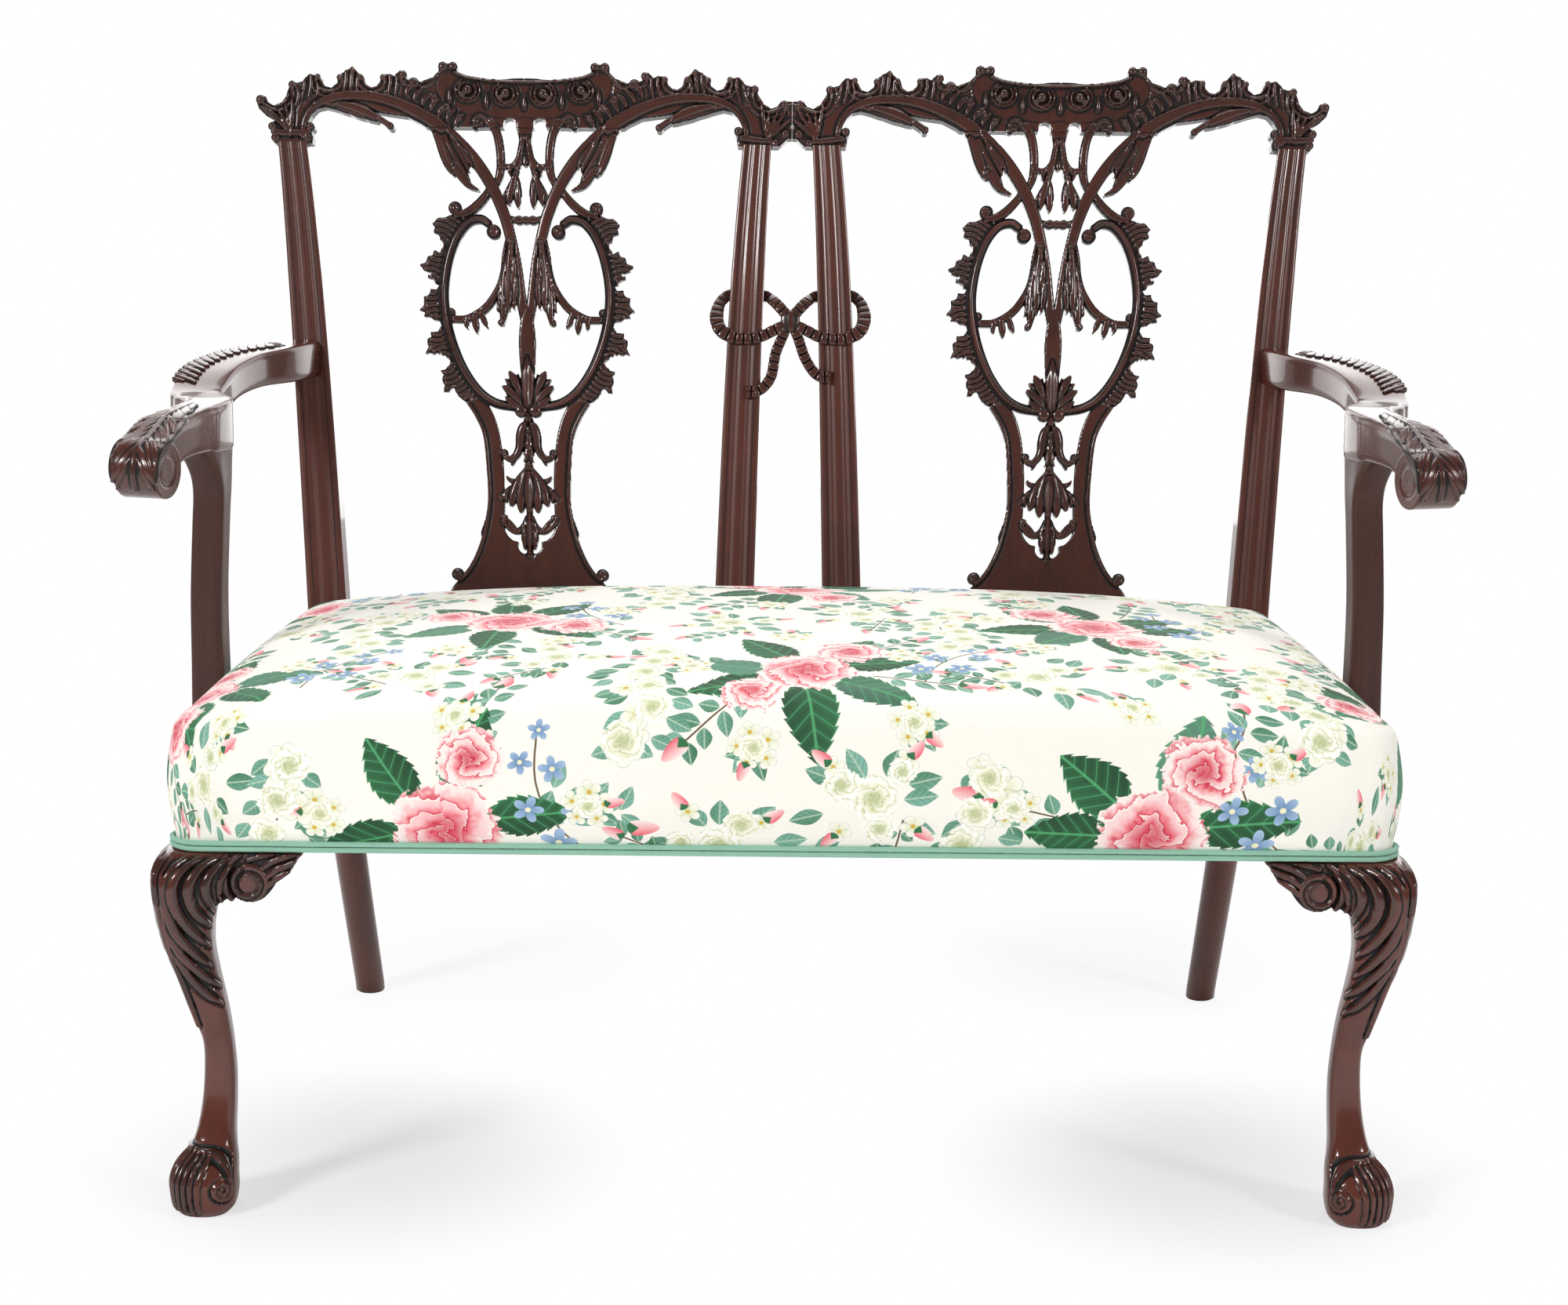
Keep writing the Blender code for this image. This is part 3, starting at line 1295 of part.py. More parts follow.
def front_leg(side_name):
    """Cabriole leg and the block above it in one length of wood."""
    side = SIDES[side_name]
    rings = [leg_ring(row, side) for row in LEG_SHARES]
    centre = (LEG_BLOCK_X, LEG_BLOCK_Y)
    block = BLOCK_POWER
    for z in (LEG_TOP, RAIL_TOP):
        rings.append(squared_ring(centre, LEG_BLOCK / 2, block, z, side))
    leg = loft("front_leg_" + side_name, rings, MAHOGANY)
    return cut(
        leg,
        front_tenon(side, CLEAR),
        side_tenon(side, CLEAR, True),
        corner_screw_hole(side, True),
    )


def bracket(side_name, place_name):
    """Carved bracket beside the knee, under the front or the side of the seat."""
    side = SIDES[side_name]
    at_front = place_name == "front"
    inner = LEG_BLOCK_X - leg_inner_x(LEG_TOP) if at_front else leg_rear_y(LEG_TOP) - LEG_BLOCK_Y
    outline = [(inner + along * BRACKET_LENGTH, LEG_TOP - down * BRACKET_HEIGHT) for along, down in BRACKET_SHARES]
    lowest = outline[-1][1]
    for z in (lowest, *(row[0] * LEG_TOP for row in LEG_SHARES if row[0] * LEG_TOP > lowest)):
        reach = LEG_BLOCK_X - leg_inner_x(z) if at_front else leg_rear_y(z) - LEG_BLOCK_Y
        outline.append((reach + CLEAR, z))

    def place(a, b, c):
        if at_front:
            return Vector((side * (LEG_BLOCK_X - a), LEG_BLOCK_Y - c, b))
        return Vector((side * (LEG_BLOCK_X + c), LEG_BLOCK_Y + a, b))

    name = "knee_bracket_" + place_name + "_" + side_name
    return prism(name, outline, place, BRACKET_BACK, BRACKET_FRONT, MAHOGANY)


# Arms and their supports


def arm_rings(side, slack):
    rows = []
    for out, along, drop, width, thick in ARM_SHARES:
        centre = Vector(
            (
                arm_start_x() + ARM_OUT * out,
                arm_start_y() - ARM_LENGTH * along,
                arm_line() - ARM_DROP * drop,
            )
        )
        rows.append((centre, ARM_WIDTH * width + slack * 2, ARM_THICK * thick + slack * 2))
    rings = []
    for k, (centre, width, thick) in enumerate(rows):
        ahead = (rows[min(k + 1, len(rows) - 1)][0] - rows[max(k - 1, 0)][0]).normalized()
        across = Vector((-ahead.y, ahead.x, 0.0)).normalized()
        above = across.cross(ahead).normalized()
        ring = [centre + across * a * width + above * b * thick for a, b in ARM_SECTION_SHARES]
        if k == 0:
            ring = []
            for a, b in ARM_SECTION_SHARES:
                up = ARM_UP + b * thick
                ring.append(back_point(1, centre.x - a * width - centre_line(up), up, CLEAR))
        rings.append([Vector((side * p.x, p.y, p.z)) for p in ring])
    return rings


def arm_start_x():
    return centre_line(ARM_UP) + stile_offset(ARM_UP) + ARM_START_OUT


def arm_start_y():
    return back_point(1, 0.0, ARM_UP, CLEAR).y


def arm_line():
    """Height of the middle of the arm where it is highest."""
    return back_point(1, 0.0, ARM_UP, 0.0).z + ARM_RISE


def support_y():
    return arm_start_y() - ARM_LENGTH * SUPPORT_ALONG_SHARE


def support_x():
    beside_seat = seat_half(support_y()) + SEAT_BULGE + SUPPORT_GAP
    return beside_seat + SUPPORT_WIDTH * SUPPORT_FOOT_WIDTH_SHARE / 2


def support_lean():
    return support_x() - arm_start_x() - ARM_OUT * SUPPORT_OUT_SHARE


def support_foot_z():
    return COVER_HEM_Z + WELT_R * WELT_PACK_SHARE * 4 + SUPPORT_LIFT


def support_height():
    """Up to inside the arm, whose shape is then cut from the support's head."""
    return arm_line() - ARM_DROP * SUPPORT_DROP_SHARE - ARM_THICK / 4 - support_foot_z()


def scroll(side, slack):
    """The drum at the front of an arm, or the room for it."""
    axis = Vector((math.cos(SCROLL_TURN), math.sin(SCROLL_TURN), 0.0))
    reach = axis * (SCROLL_HALF_WIDTH + slack)
    out = arm_start_x() + ARM_OUT * SCROLL_OUT_SHARE
    height = arm_line() - ARM_DROP * SCROLL_DROP_SHARE
    centre = Vector((out, arm_start_y() - ARM_LENGTH, height))
    start, end = centre - reach, centre + reach
    start.x, end.x = side * start.x, side * end.x
    return rod("scroll", start, end, SCROLL_R + slack, MAHOGANY, SCROLL_SIDES)


def support_tenon(side, slack):
    x = side * (support_x() - support_lean())
    low = support_foot_z() + support_height() * SUPPORT_TENON_START_SHARE
    top = support_foot_z() + support_height() + SUPPORT_TENON_LENGTH + slack
    return rod(
        "tenon",
        (x, support_y(), low),
        (x, support_y(), top),
        SUPPORT_TENON_R + slack,
        MAHOGANY,
        12,
    )


def arm(side_name):
    side = SIDES[side_name]
    piece = split_flat(loft("arm_" + side_name, arm_rings(side, 0.0), MAHOGANY))
    cut(piece, arm_screw_hole(side), support_tenon(side, CLEAR))
    return join(piece, scroll(side, 0.0))


def support(side_name):
    """Upright that carries an arm. Its head is hollowed to the arm's underside."""
    side = SIDES[side_name]
    rings = []
    for height, lean, sweep, width, depth in SUPPORT_SHARES:
        x = support_x() - support_lean() * lean
        y = support_y() - SUPPORT_SWEEP * sweep
        z = support_foot_z() + support_height() * height
        half_width, half_depth = SUPPORT_WIDTH * width / 2, SUPPORT_DEPTH * depth / 2
        ring = []
        for k in range(12):
            turn = 2 * math.pi * (k + 0.5) / 12
            c, s = math.cos(turn), math.sin(turn)
            reach = 1 / (abs(c) ** 4 + abs(s) ** 4) ** 0.25
            ring.append(Vector((side * (x + half_width * reach * c), y + half_depth * reach * s, z)))
        rings.append(ring)
    post = loft("arm_support_" + side_name, rings, MAHOGANY)
    cut(post, split_flat(loft("arm_room", arm_rings(side, CLEAR), MAHOGANY)))
    join(post, support_tenon(side, 0.0))
    return cut(post, *(support_screw_hole(side, k) for k in range(len(SUPPORT_SCREW_SHARES))))


def support_screw_line(side, k, overrun=0.0, extra=0.0):
    """Axis of a screw through the side rail into an arm support: head end, then point."""
    z = blend(support_foot_z(), RAIL_TOP, SUPPORT_SCREW_SHARES[k])
    inside = side_rail_point(1, RAIL_THICK, support_y(), z)
    ahead = Vector((1.0, side_taper(), 0.0)).normalized()
    support_face = support_x() - SUPPORT_WIDTH * SUPPORT_FOOT_WIDTH_SHARE / 2
    length = support_face - inside.x + SUPPORT_SCREW_BITE
    start, end = inside - ahead * overrun, inside + ahead * (length + extra)
    return Vector((side * start.x, start.y, z)), Vector((side * end.x, end.y, z))


def support_screw_hole(side, k):
    return rod("hole", *support_screw_line(side, k, OVERRUN, CLEAR), SCREW_R + CLEAR, STEEL)


def arm_screw_line(side, overrun=0.0, extra=0.0):
    out = arm_start_x() - centre_line(ARM_UP)
    start = back_point(side, out, ARM_UP, -stile_depth(ARM_UP) - overrun)
    return start, back_point(side, out, ARM_UP, ARM_SCREW_BITE + extra)


def arm_screw_hole(side):
    return rod("hole", *arm_screw_line(side, OVERRUN, CLEAR), SCREW_R + CLEAR, STEEL)


# Upholstery


def seat_half(y):
    share = (y - SEAT_FRONT_Y) / (seat_rear_y(SEAT_EDGE_Z) - SEAT_FRONT_Y)
    return blend(FRONT_HALF_WIDTH + SIDE_CLOTH, stile_face_x() + REAR_CORNER_CLOTH, share)


def seat_rear_y(z):
    return back_front_y(max(z, RAIL_TOP)) - SEAT_REAR_PROUD


def seat_loop(inset, rear_inset, radius):
    """Plan of the seat, drawn in by inset: left side, corner, front, corner, right side, rear."""
    front = SEAT_FRONT_Y + inset
    rear = seat_rear_y(RAIL_TOP) - rear_inset
    bend = front + radius
    left = []
    for k in range(SEAT_SIDE_POINTS):
        y = blend(rear, bend, k / SEAT_SIDE_POINTS)
        left.append((-(seat_half(y) - inset), y))
    corner_x = seat_half(bend) - inset - radius
    for k in range(SEAT_CORNER_POINTS):
        turn = math.pi / 2 * k / (SEAT_CORNER_POINTS - 1)
        left.append((-corner_x - radius * math.cos(turn), bend - radius * math.sin(turn)))
    row = [blend(-corner_x, corner_x, k / SEAT_ROW_POINTS) for k in range(1, SEAT_ROW_POINTS)]
    half = seat_half(rear) - inset - SEAT_STILE_NOTCH
    last = SEAT_ROW_POINTS - 2
    row_rear = [blend(-half, half, k / last) for k in range(last + 1)]
    right = [(-x, y) for x, y in reversed(left)]
    return [*left, *((x, front) for x in row), *right, *((x, rear) for x in reversed(row_rear))]


def seat_top(x, y):
    """Height of the crowned seat."""
    rear = seat_rear_y(RAIL_TOP)
    middle = (SEAT_FRONT_Y + rear) / 2
    reach = (rear - SEAT_FRONT_Y) / 2
    ahead = max(0.0, (middle - y) / reach)
    behind = max(0.0, (y - middle) / reach)
    sideways = min(1.0, abs(x) / seat_half(y))
    drop = SEAT_SIDE_DROP * sideways**3 + SEAT_FRONT_DROP * ahead**2 + SEAT_REAR_DROP * behind**2
    return SEAT_TOP_Z - drop


def seat_skin(offset, hem, wall_shares):
    """Rings of the seat's surface, offset inward, from its hem to the middle of its crown."""
    rings = []
    rear_hem = max(hem, RAIL_TOP + WEB_THICK + HESSIAN_THICK + COVER_THICK)
    rear_from = 2 * (SEAT_SIDE_POINTS + SEAT_CORNER_POINTS) + SEAT_ROW_POINTS - 1

    def ring(inset, rear_inset, radius, height):
        points = []
        for k, (x, y) in enumerate(seat_loop(inset + offset, rear_inset + offset, radius)):
            top = seat_top(x, y) - offset
            z = height(hem, top)
            if k >= rear_from:
                z = max(z, rear_hem + (z - hem) * REAR_HEM_RISE_SHARE)
            slant = back_front_y(z) - back_front_y(RAIL_TOP)
            near = max(0.0, 1 - (seat_rear_y(RAIL_TOP) - offset - y) / SEAT_ROUND) if z > RAIL_TOP else 0.0
            points.append(Vector((x, y + slant * near, z)))
        return points

    for share in wall_shares:
        swell = SEAT_BULGE * math.sin(math.pi * max(0.0, share - HEM_SHARE) / (1 - HEM_SHARE))
        bulge = -swell
        radius = SEAT_CORNER_R - offset + swell
        edge = SEAT_EDGE_Z - offset
        rings.append(
            ring(bulge, 0.0, radius, lambda base, top, s=share: blend(base, max(base, edge), s))
        )
        for point in rings[-1]:
            point.y = min(point.y, seat_rear_y(point.z) - offset)
    for turn in (30, 60, 90):
        turn = math.radians(turn)
        inset = SEAT_ROUND * (1 - math.cos(turn))
        rear_inset = SEAT_REAR_ROUND * (1 - math.cos(turn))
        radius = SEAT_CORNER_R - offset + inset / 2
        edge = SEAT_EDGE_Z - offset
        rings.append(
            ring(inset, rear_inset, radius, lambda base, top, t=turn: edge + (top - edge) * math.sin(t))
        )
    for share in (0.35, 0.7, 1.0):
        inset = blend(SEAT_ROUND, SEAT_INSET, share)
        rear_inset = blend(SEAT_REAR_ROUND, SEAT_REAR_INSET, share)
        radius = SEAT_CORNER_R - offset + SEAT_ROUND / 2
        rings.append(ring(inset, rear_inset, min(radius, SEAT_CORNER_R), lambda base, top: top))
    return rings


def ring_faces(start_a, start_b, count):
    return [
        (start_a + i, start_a + (i + 1) % count, start_b + (i + 1) % count, start_b + i)
        for i in range(count)
    ]


def crown_faces(start):
    """Closes the innermost ring of the seat: a strip of quads with a cap at each end."""
    end_points = SEAT_SIDE_POINTS + SEAT_CORNER_POINTS
    row = SEAT_ROW_POINTS - 1
    count = 2 * end_points + 2 * row
    front = [start + end_points + k for k in range(row)]
    rear = [start + count - 1 - k for k in range(row)]
    faces = [(front[k], front[k + 1], rear[k + 1], rear[k]) for k in range(row - 1)]
    faces.append((rear[0], *(start + k for k in range(end_points)), front[0]))
    faces.append((front[-1], *(start + end_points + row + k for k in range(end_points)), rear[-1]))
    return faces


def seat_pad():
    """The stuffing, crowned and rounded over at the front and the sides."""
    offset = COVER_THICK + CLEAR
    base = RAIL_TOP + WEB_THICK + HESSIAN_THICK + CLEAR * 3
    rings = seat_skin(offset, base, (0.0, 1.0))
    count = len(rings[0])
    points = [p for ring in rings for p in ring]
    faces = crown_faces(0)
    for k in range(len(rings) - 1):
        faces += ring_faces(k * count, (k + 1) * count, count)
    faces += crown_faces((len(rings) - 1) * count)
    return solid("seat_pad", points, faces, STUFFING)


def seat_cover():
    """The cloth over the pad and the rails, as one closed skin that is open underneath."""
    outer = seat_skin(0.0, COVER_HEM_Z, WALL_SHARES)
    inner = seat_skin(COVER_THICK, COVER_HEM_Z, WALL_SHARES)
    count = len(outer[0])
    rings = [*outer[::-1], *inner]
    points = [p for ring in rings for p in ring]
    faces = crown_faces(0)
    for k in range(len(rings) - 1):
        faces += ring_faces(k * count, (k + 1) * count, count)
    faces += crown_faces((len(rings) - 1) * count)
    cover = solid("seat_cover", points, faces, COVER_CLOTH)
    holes = [support_screw_hole(side, k) for side in (-1, 1) for k in range(len(SUPPORT_SCREW_SHARES))]
    return cut(cover, *holes)


def welt():
    """Double cord along the cover's hem, at the front and the sides."""
    reach = WELT_R + WELT_LIFT
    loop = seat_loop(-reach, 0.0, SEAT_CORNER_R + reach)
    end_points = SEAT_SIDE_POINTS + SEAT_CORNER_POINTS
    path = loop[: 2 * end_points + SEAT_ROW_POINTS - 1]
    rings = []
    for k, (x, y) in enumerate(path):
        before, after = path[max(k - 1, 0)], path[min(k + 1, len(path) - 1)]
        ahead = Vector((after[0] - before[0], after[1] - before[1], 0.0)).normalized()
        across = Vector((-ahead.y, ahead.x, 0.0))
        ring = []
        for lobe in (0, 1):
            for turn in WELT_TURNS:
                angle = math.radians(turn + 180 * lobe)
                lift = COVER_HEM_Z + WELT_R * (1 if lobe else 3) * WELT_PACK_SHARE
                lift += WELT_R * math.sin(angle)
                ring.append(Vector((x, y, 0.0)) + across * WELT_R * math.cos(angle) + Vector((0.0, 0.0, lift)))
        rings.append(ring)
    return loft("welt_trim", rings, WELT_CLOTH)


def lattice(name, xs, ys, low, high, keep, look):
    """A flat sheet of cells, some of them left open, that narrows with the seat frame."""
    index = {}
    points, faces = [], []

    def corner(i, j, level):
        key = (i, j, level)
        if key not in index:
            index[key] = len(points)
            points.append((xs[i] * web_half(ys[j]), ys[j], (low, high)[level]))
        return index[key]

    cells = {(i, j) for i in range(len(xs) - 1) for j in range(len(ys) - 1) if keep(i, j)}
    for i, j in sorted(cells):
        around = ((i, j), (i + 1, j), (i + 1, j + 1), (i, j + 1))
        faces.append(tuple(corner(a, b, 1) for a, b in around))
        faces.append(tuple(corner(a, b, 0) for a, b in reversed(around)))
        for k, neighbour in enumerate(((i, j - 1), (i + 1, j), (i, j + 1), (i - 1, j))):
            if neighbour not in cells:
                a, b = around[k], around[(k + 1) % 4]
                faces.append((corner(*b, 1), corner(*a, 1), corner(*a, 0), corner(*b, 0)))
    return solid(name, points, faces, look)


def web_half(y):
    return side_face_x(y) - WEB_EDGE


def webbing():
    """Strips of webbing that cross each other, tacked to the tops of the rails."""
    low = RAIL_TOP + CLEAR
    front = FRONT_FACE_Y + CLEAR * 4
    rear = seat_rear_y(RAIL_TOP) - COVER_THICK - CLEAR * 2

    def marks(start, end, count):
        pitch = (end - start) / (count + WEB_STRIP_SHARE)
        made = []
        for k in range(count + 1):
            made += [start + pitch * k, start + pitch * (k + WEB_STRIP_SHARE)]
        return made

    xs = marks(-1.0, 1.0, WEB_COLUMNS)
    ys = marks(front, rear, WEB_ROWS)

    def keep(i, j):
        return i % 2 == 0 or j % 2 == 0

    return lattice("seat_webbing", xs, ys, low, low + WEB_THICK, keep, WEBBING)


def hessian():
    low = RAIL_TOP + WEB_THICK + CLEAR * 2
    front = FRONT_FACE_Y + CLEAR * 4
    rear = seat_rear_y(RAIL_TOP) - COVER_THICK - CLEAR * 2
    return lattice(
        "hessian_deck", (-1.0, 1.0), (front, rear), low, low + HESSIAN_THICK, lambda i, j: True, HESSIAN
    )


def dust_cover():
    top = RAIL_BOTTOM - CLEAR
    half = rear_rail_end() - DUST_EDGE
    front = FRONT_FACE_Y + RAIL_THICK - DUST_EDGE / 2
    rear = rear_rail_y() + REAR_RAIL_THICK - DUST_EDGE
    return box("dust_cover", (-half, front, top - DUST_THICK), (half, rear, top), DUST_CLOTH)


# Ribbon bow


def band(name, path, width, thick):
    """A flat band along a path given across, up and proud of the back's plane."""
    rings = []
    for k, point in enumerate(path):
        ahead = (path[min(k + 1, len(path) - 1)] - path[max(k - 1, 0)]).normalized()
        across = Vector((-ahead.y, ahead.x, 0.0)).normalized()
        above = ahead.cross(across)
        ring = []
        for a, b in ((-0.5, -0.2), (-0.3, -0.5), (0.3, -0.5), (0.5, -0.2), (0.5, 0.2), (0.3, 0.5), (-0.3, 0.5), (-0.5, 0.2)):
            spot = point + across * a * width + above * b * thick
            ring.append(plane_point(*spot))
        rings.append(ring)
    return loft(name, rings, MAHOGANY)


def knot():
    rings = []
    for turn in (-75, -45, -15, 15, 45, 75):
        up = math.sin(math.radians(turn))
        round_ = math.cos(math.radians(turn))
        ring = []
        for k in range(10):
            angle = 2 * math.pi * k / 10
            ring.append(
                plane_point(
                    KNOT_HALF_WIDTH * round_ * math.cos(angle),
                    RIBBON_UP + KNOT_HALF_HEIGHT * up,
                    KNOT_PROUD + KNOT_HALF_DEPTH * round_ * math.sin(angle),
                )
            )
        rings.append(ring)
    return loft("ribbon_bow", rings, MAHOGANY)


def ribbon_bow():
    """A carved ribbon whose loops go round the two inner stiles and meet in a knot."""
    reach = centre_line(RIBBON_UP) - stile_offset(RIBBON_UP) + stile_width(RIBBON_UP) / 2 + RIBBON_WRAP
    in_front = RIBBON_THICK / 2 + CLEAR
    at_rear = INNER_STILE_DEPTH + in_front
    pieces = []
    for side in (-1, 1):
        path = smooth_through(
            [
                (
                    side * reach * out,
                    RIBBON_UP + RIBBON_RISE * up,
                    -turn * (at_rear if turn > 0 else in_front),
                )
                for out, up, turn in RIBBON_LOOP_SHARES
            ],
            2,
        )
        pieces.append(band("loop", path, RIBBON_WIDTH, RIBBON_THICK))
    for side, shares in ((-1, LEFT_TAIL_SHARES), (1, RIGHT_TAIL_SHARES)):
        path = smooth_through(
            [
                (side * RIBBON_TAIL_X * out, RIBBON_UP + RIBBON_TAIL_DROP * up, RIBBON_PROUD)
                for out, up in shares
            ],
            2,
        )
        pieces.append(band("tail", path, RIBBON_WIDTH, RIBBON_THICK))
    return join(knot(), *pieces)


def span(corners):
    return [(min(c[k] for c in corners), max(c[k] for c in corners)) for k in range(3)]


def set_in_place():
    """Stands the whole on the floor over the origin, with each piece's own origin at its middle."""
    pieces = list(bpy.context.scene.objects)
    across, deep, tall = span([v.co for piece in pieces for v in piece.data.vertices])
    move = Vector((-sum(across) / 2, -sum(deep) / 2, -tall[0]))
    for piece in pieces:
        middle = Vector([sum(pair) / 2 for pair in span([v.co for v in piece.data.vertices])])
        for vertex in piece.data.vertices:
            vertex.co -= middle
        piece.location = middle + move


def main():
    for old in list(bpy.data.objects):
        bpy.data.objects.remove(old)
    loops = splat_loops()
    for side_name, side in SIDES.items():
        outer_stile(side_name)
        inner_stile(side_name)
        crest_rail(side_name)
        splat(side_name, loops)
        shoe(side_name)
        front_leg(side_name)
        side_rail(side_name)
        arm(side_name)
        support(side_name)
        for place_name in ("front", "rear"):
            at_front = place_name == "front"
            corner_block(side_name, place_name)
            ends = corner_screw_line(side, at_front, CORNER_SCREW)
            screw("corner_screw_" + place_name + "_" + side_name, *ends)
        for place_name in ("front", "side"):
            bracket(side_name, place_name)
        for k, spot in enumerate(("lower", "upper")):
            screw("support_screw_" + spot + "_" + side_name, *support_screw_line(side, k))
        screw("arm_screw_" + side_name, *arm_screw_line(side))
    front_rail()
    rear_rail()
    brace_housing(0.0)
    webbing()
    hessian()
    seat_pad()
    seat_cover()
    welt()
    dust_cover()
    ribbon_bow()
    set_in_place()


main()
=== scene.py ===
"""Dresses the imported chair-back settee: carved and polished frame, printed seat, double welt, room and camera."""

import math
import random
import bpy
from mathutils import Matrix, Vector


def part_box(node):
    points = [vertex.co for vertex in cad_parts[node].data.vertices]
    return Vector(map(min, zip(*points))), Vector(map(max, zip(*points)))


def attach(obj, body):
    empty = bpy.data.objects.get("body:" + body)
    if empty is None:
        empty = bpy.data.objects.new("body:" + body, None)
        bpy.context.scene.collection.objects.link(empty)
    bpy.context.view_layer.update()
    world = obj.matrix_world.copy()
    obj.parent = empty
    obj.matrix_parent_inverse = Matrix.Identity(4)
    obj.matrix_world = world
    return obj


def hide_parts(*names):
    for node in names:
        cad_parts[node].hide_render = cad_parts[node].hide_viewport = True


bl_info = {
    "name": "Chair-back settee",
    "version": (1, 0, 0),
    "blender": (4, 5, 0),
    "location": "3D View > Sidebar > Settee",
    "description": "Builds the carving, upholstery and room of a settee round its packed frame",
    "category": "Object",
}

import bmesh
import bpy
import numpy as np
from mathutils import Matrix, Vector

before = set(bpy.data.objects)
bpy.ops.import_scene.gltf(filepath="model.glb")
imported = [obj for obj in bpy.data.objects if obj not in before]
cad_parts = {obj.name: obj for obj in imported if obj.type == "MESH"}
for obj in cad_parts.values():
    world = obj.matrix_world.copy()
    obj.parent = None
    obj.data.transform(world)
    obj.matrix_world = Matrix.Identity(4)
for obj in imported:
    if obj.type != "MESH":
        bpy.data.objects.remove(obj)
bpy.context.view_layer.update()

SIDES = {"left": -1, "right": 1}
MM = 0.001

# The chair backs' leaning plane, as in the frame
BACK_Y, BACK_Z = 0.18709, 0.420
BACK_TILT = math.radians(13.0)
CHAIR_CENTRE, CHAIR_LEAN = 0.2575, 0.0226


def back_place(side, out, up, proud):
    """Points of a chair back, in metres, from millimetres out of its centre line, up it and proud of it."""
    out, up, proud = (np.asarray(a, float) * MM for a in (out, up, proud))
    x = side * (CHAIR_CENTRE + CHAIR_LEAN * up + out)
    y = BACK_Y + up * math.sin(BACK_TILT) - proud * math.cos(BACK_TILT)
    z = BACK_Z + up * math.cos(BACK_TILT) + proud * math.sin(BACK_TILT)
    return np.stack(np.broadcast_arrays(x, y, z), axis=-1)


# Carving

SHARP = 50
# painted shade on a carved board's cut rim, as dark as a shallow hollow
RIM_SHADE = 0.15


def smooth_path(points, count):
    """A smooth line through rows of numbers: places first, then whatever else changes along the line."""
    rows = np.asarray(points, float)
    if len(rows) < 3:
        shares = np.linspace(0, 1, count + 1)[:, None]
        return rows[0] * (1 - shares) + rows[-1] * shares
    rows = np.vstack([2 * rows[0] - rows[1], rows, 2 * rows[-1] - rows[-2]])
    made = []
    for a, b, c, d in zip(rows, rows[1:], rows[2:], rows[3:]):
        for k in range(count):
            t = k / count
            bend = (2 * a - 5 * b + 4 * c - d) * t * t + (3 * b - a - 3 * c + d) * t**3
            made.append((2 * b + (c - a) * t + bend) / 2)
    return np.array([*made, rows[-2]])


def spiral(centre, radius, turns, start, hand=1, end=0.2, width=1.6, tip=0.9):
    """Rows (u, v, half width) of a line that winds in to an eye; start is in degrees."""
    rows = []
    steps = int(turns * 16)
    for k in range(steps + 1):
        t = k / steps
        turn = math.radians(start) + hand * 2 * math.pi * turns * t
        r = radius * (1 - t * (1 - end))
        wide = width + (tip - width) * t
        rows.append((centre[0] + r * math.cos(turn), centre[1] + r * math.sin(turn), wide))
    return rows


def blurred(field, spread):
    """The field softened by a bell curve of that many cells."""
    reach = max(1, int(spread * 2.5))
    bell = np.exp(-0.5 * (np.arange(-reach, reach + 1) / spread) ** 2)
    bell /= bell.sum()
    for axis in (0, 1):
        wide = np.pad(field, [(reach, reach) if k == axis else (0, 0) for k in (0, 1)], mode="edge")
        size = field.shape[axis]
        field = sum(b * np.take(wide, range(k, k + size), axis=axis) for k, b in enumerate(bell))
    return field


def ridges(phase):
    """Rounded ridges between sharp valleys: 0 in a valley and 1 on a ridge."""
    return np.abs(np.sin(np.pi * phase))


VEIN_WIDTH, GROUND_REACH = 0.16, 1.5
# how widely the carving round a spot is averaged, and how its depth below that average scales the hollow field, which
# the polish shows as painted shade and duller gloss
HOLLOW_REACH, HOLLOW_GAIN = 2.4, 0.55
FLUTE_PITCH, FLUTE_HEIGHT = 5.4, 1.8
FAR_OUTSIDE = -9.0


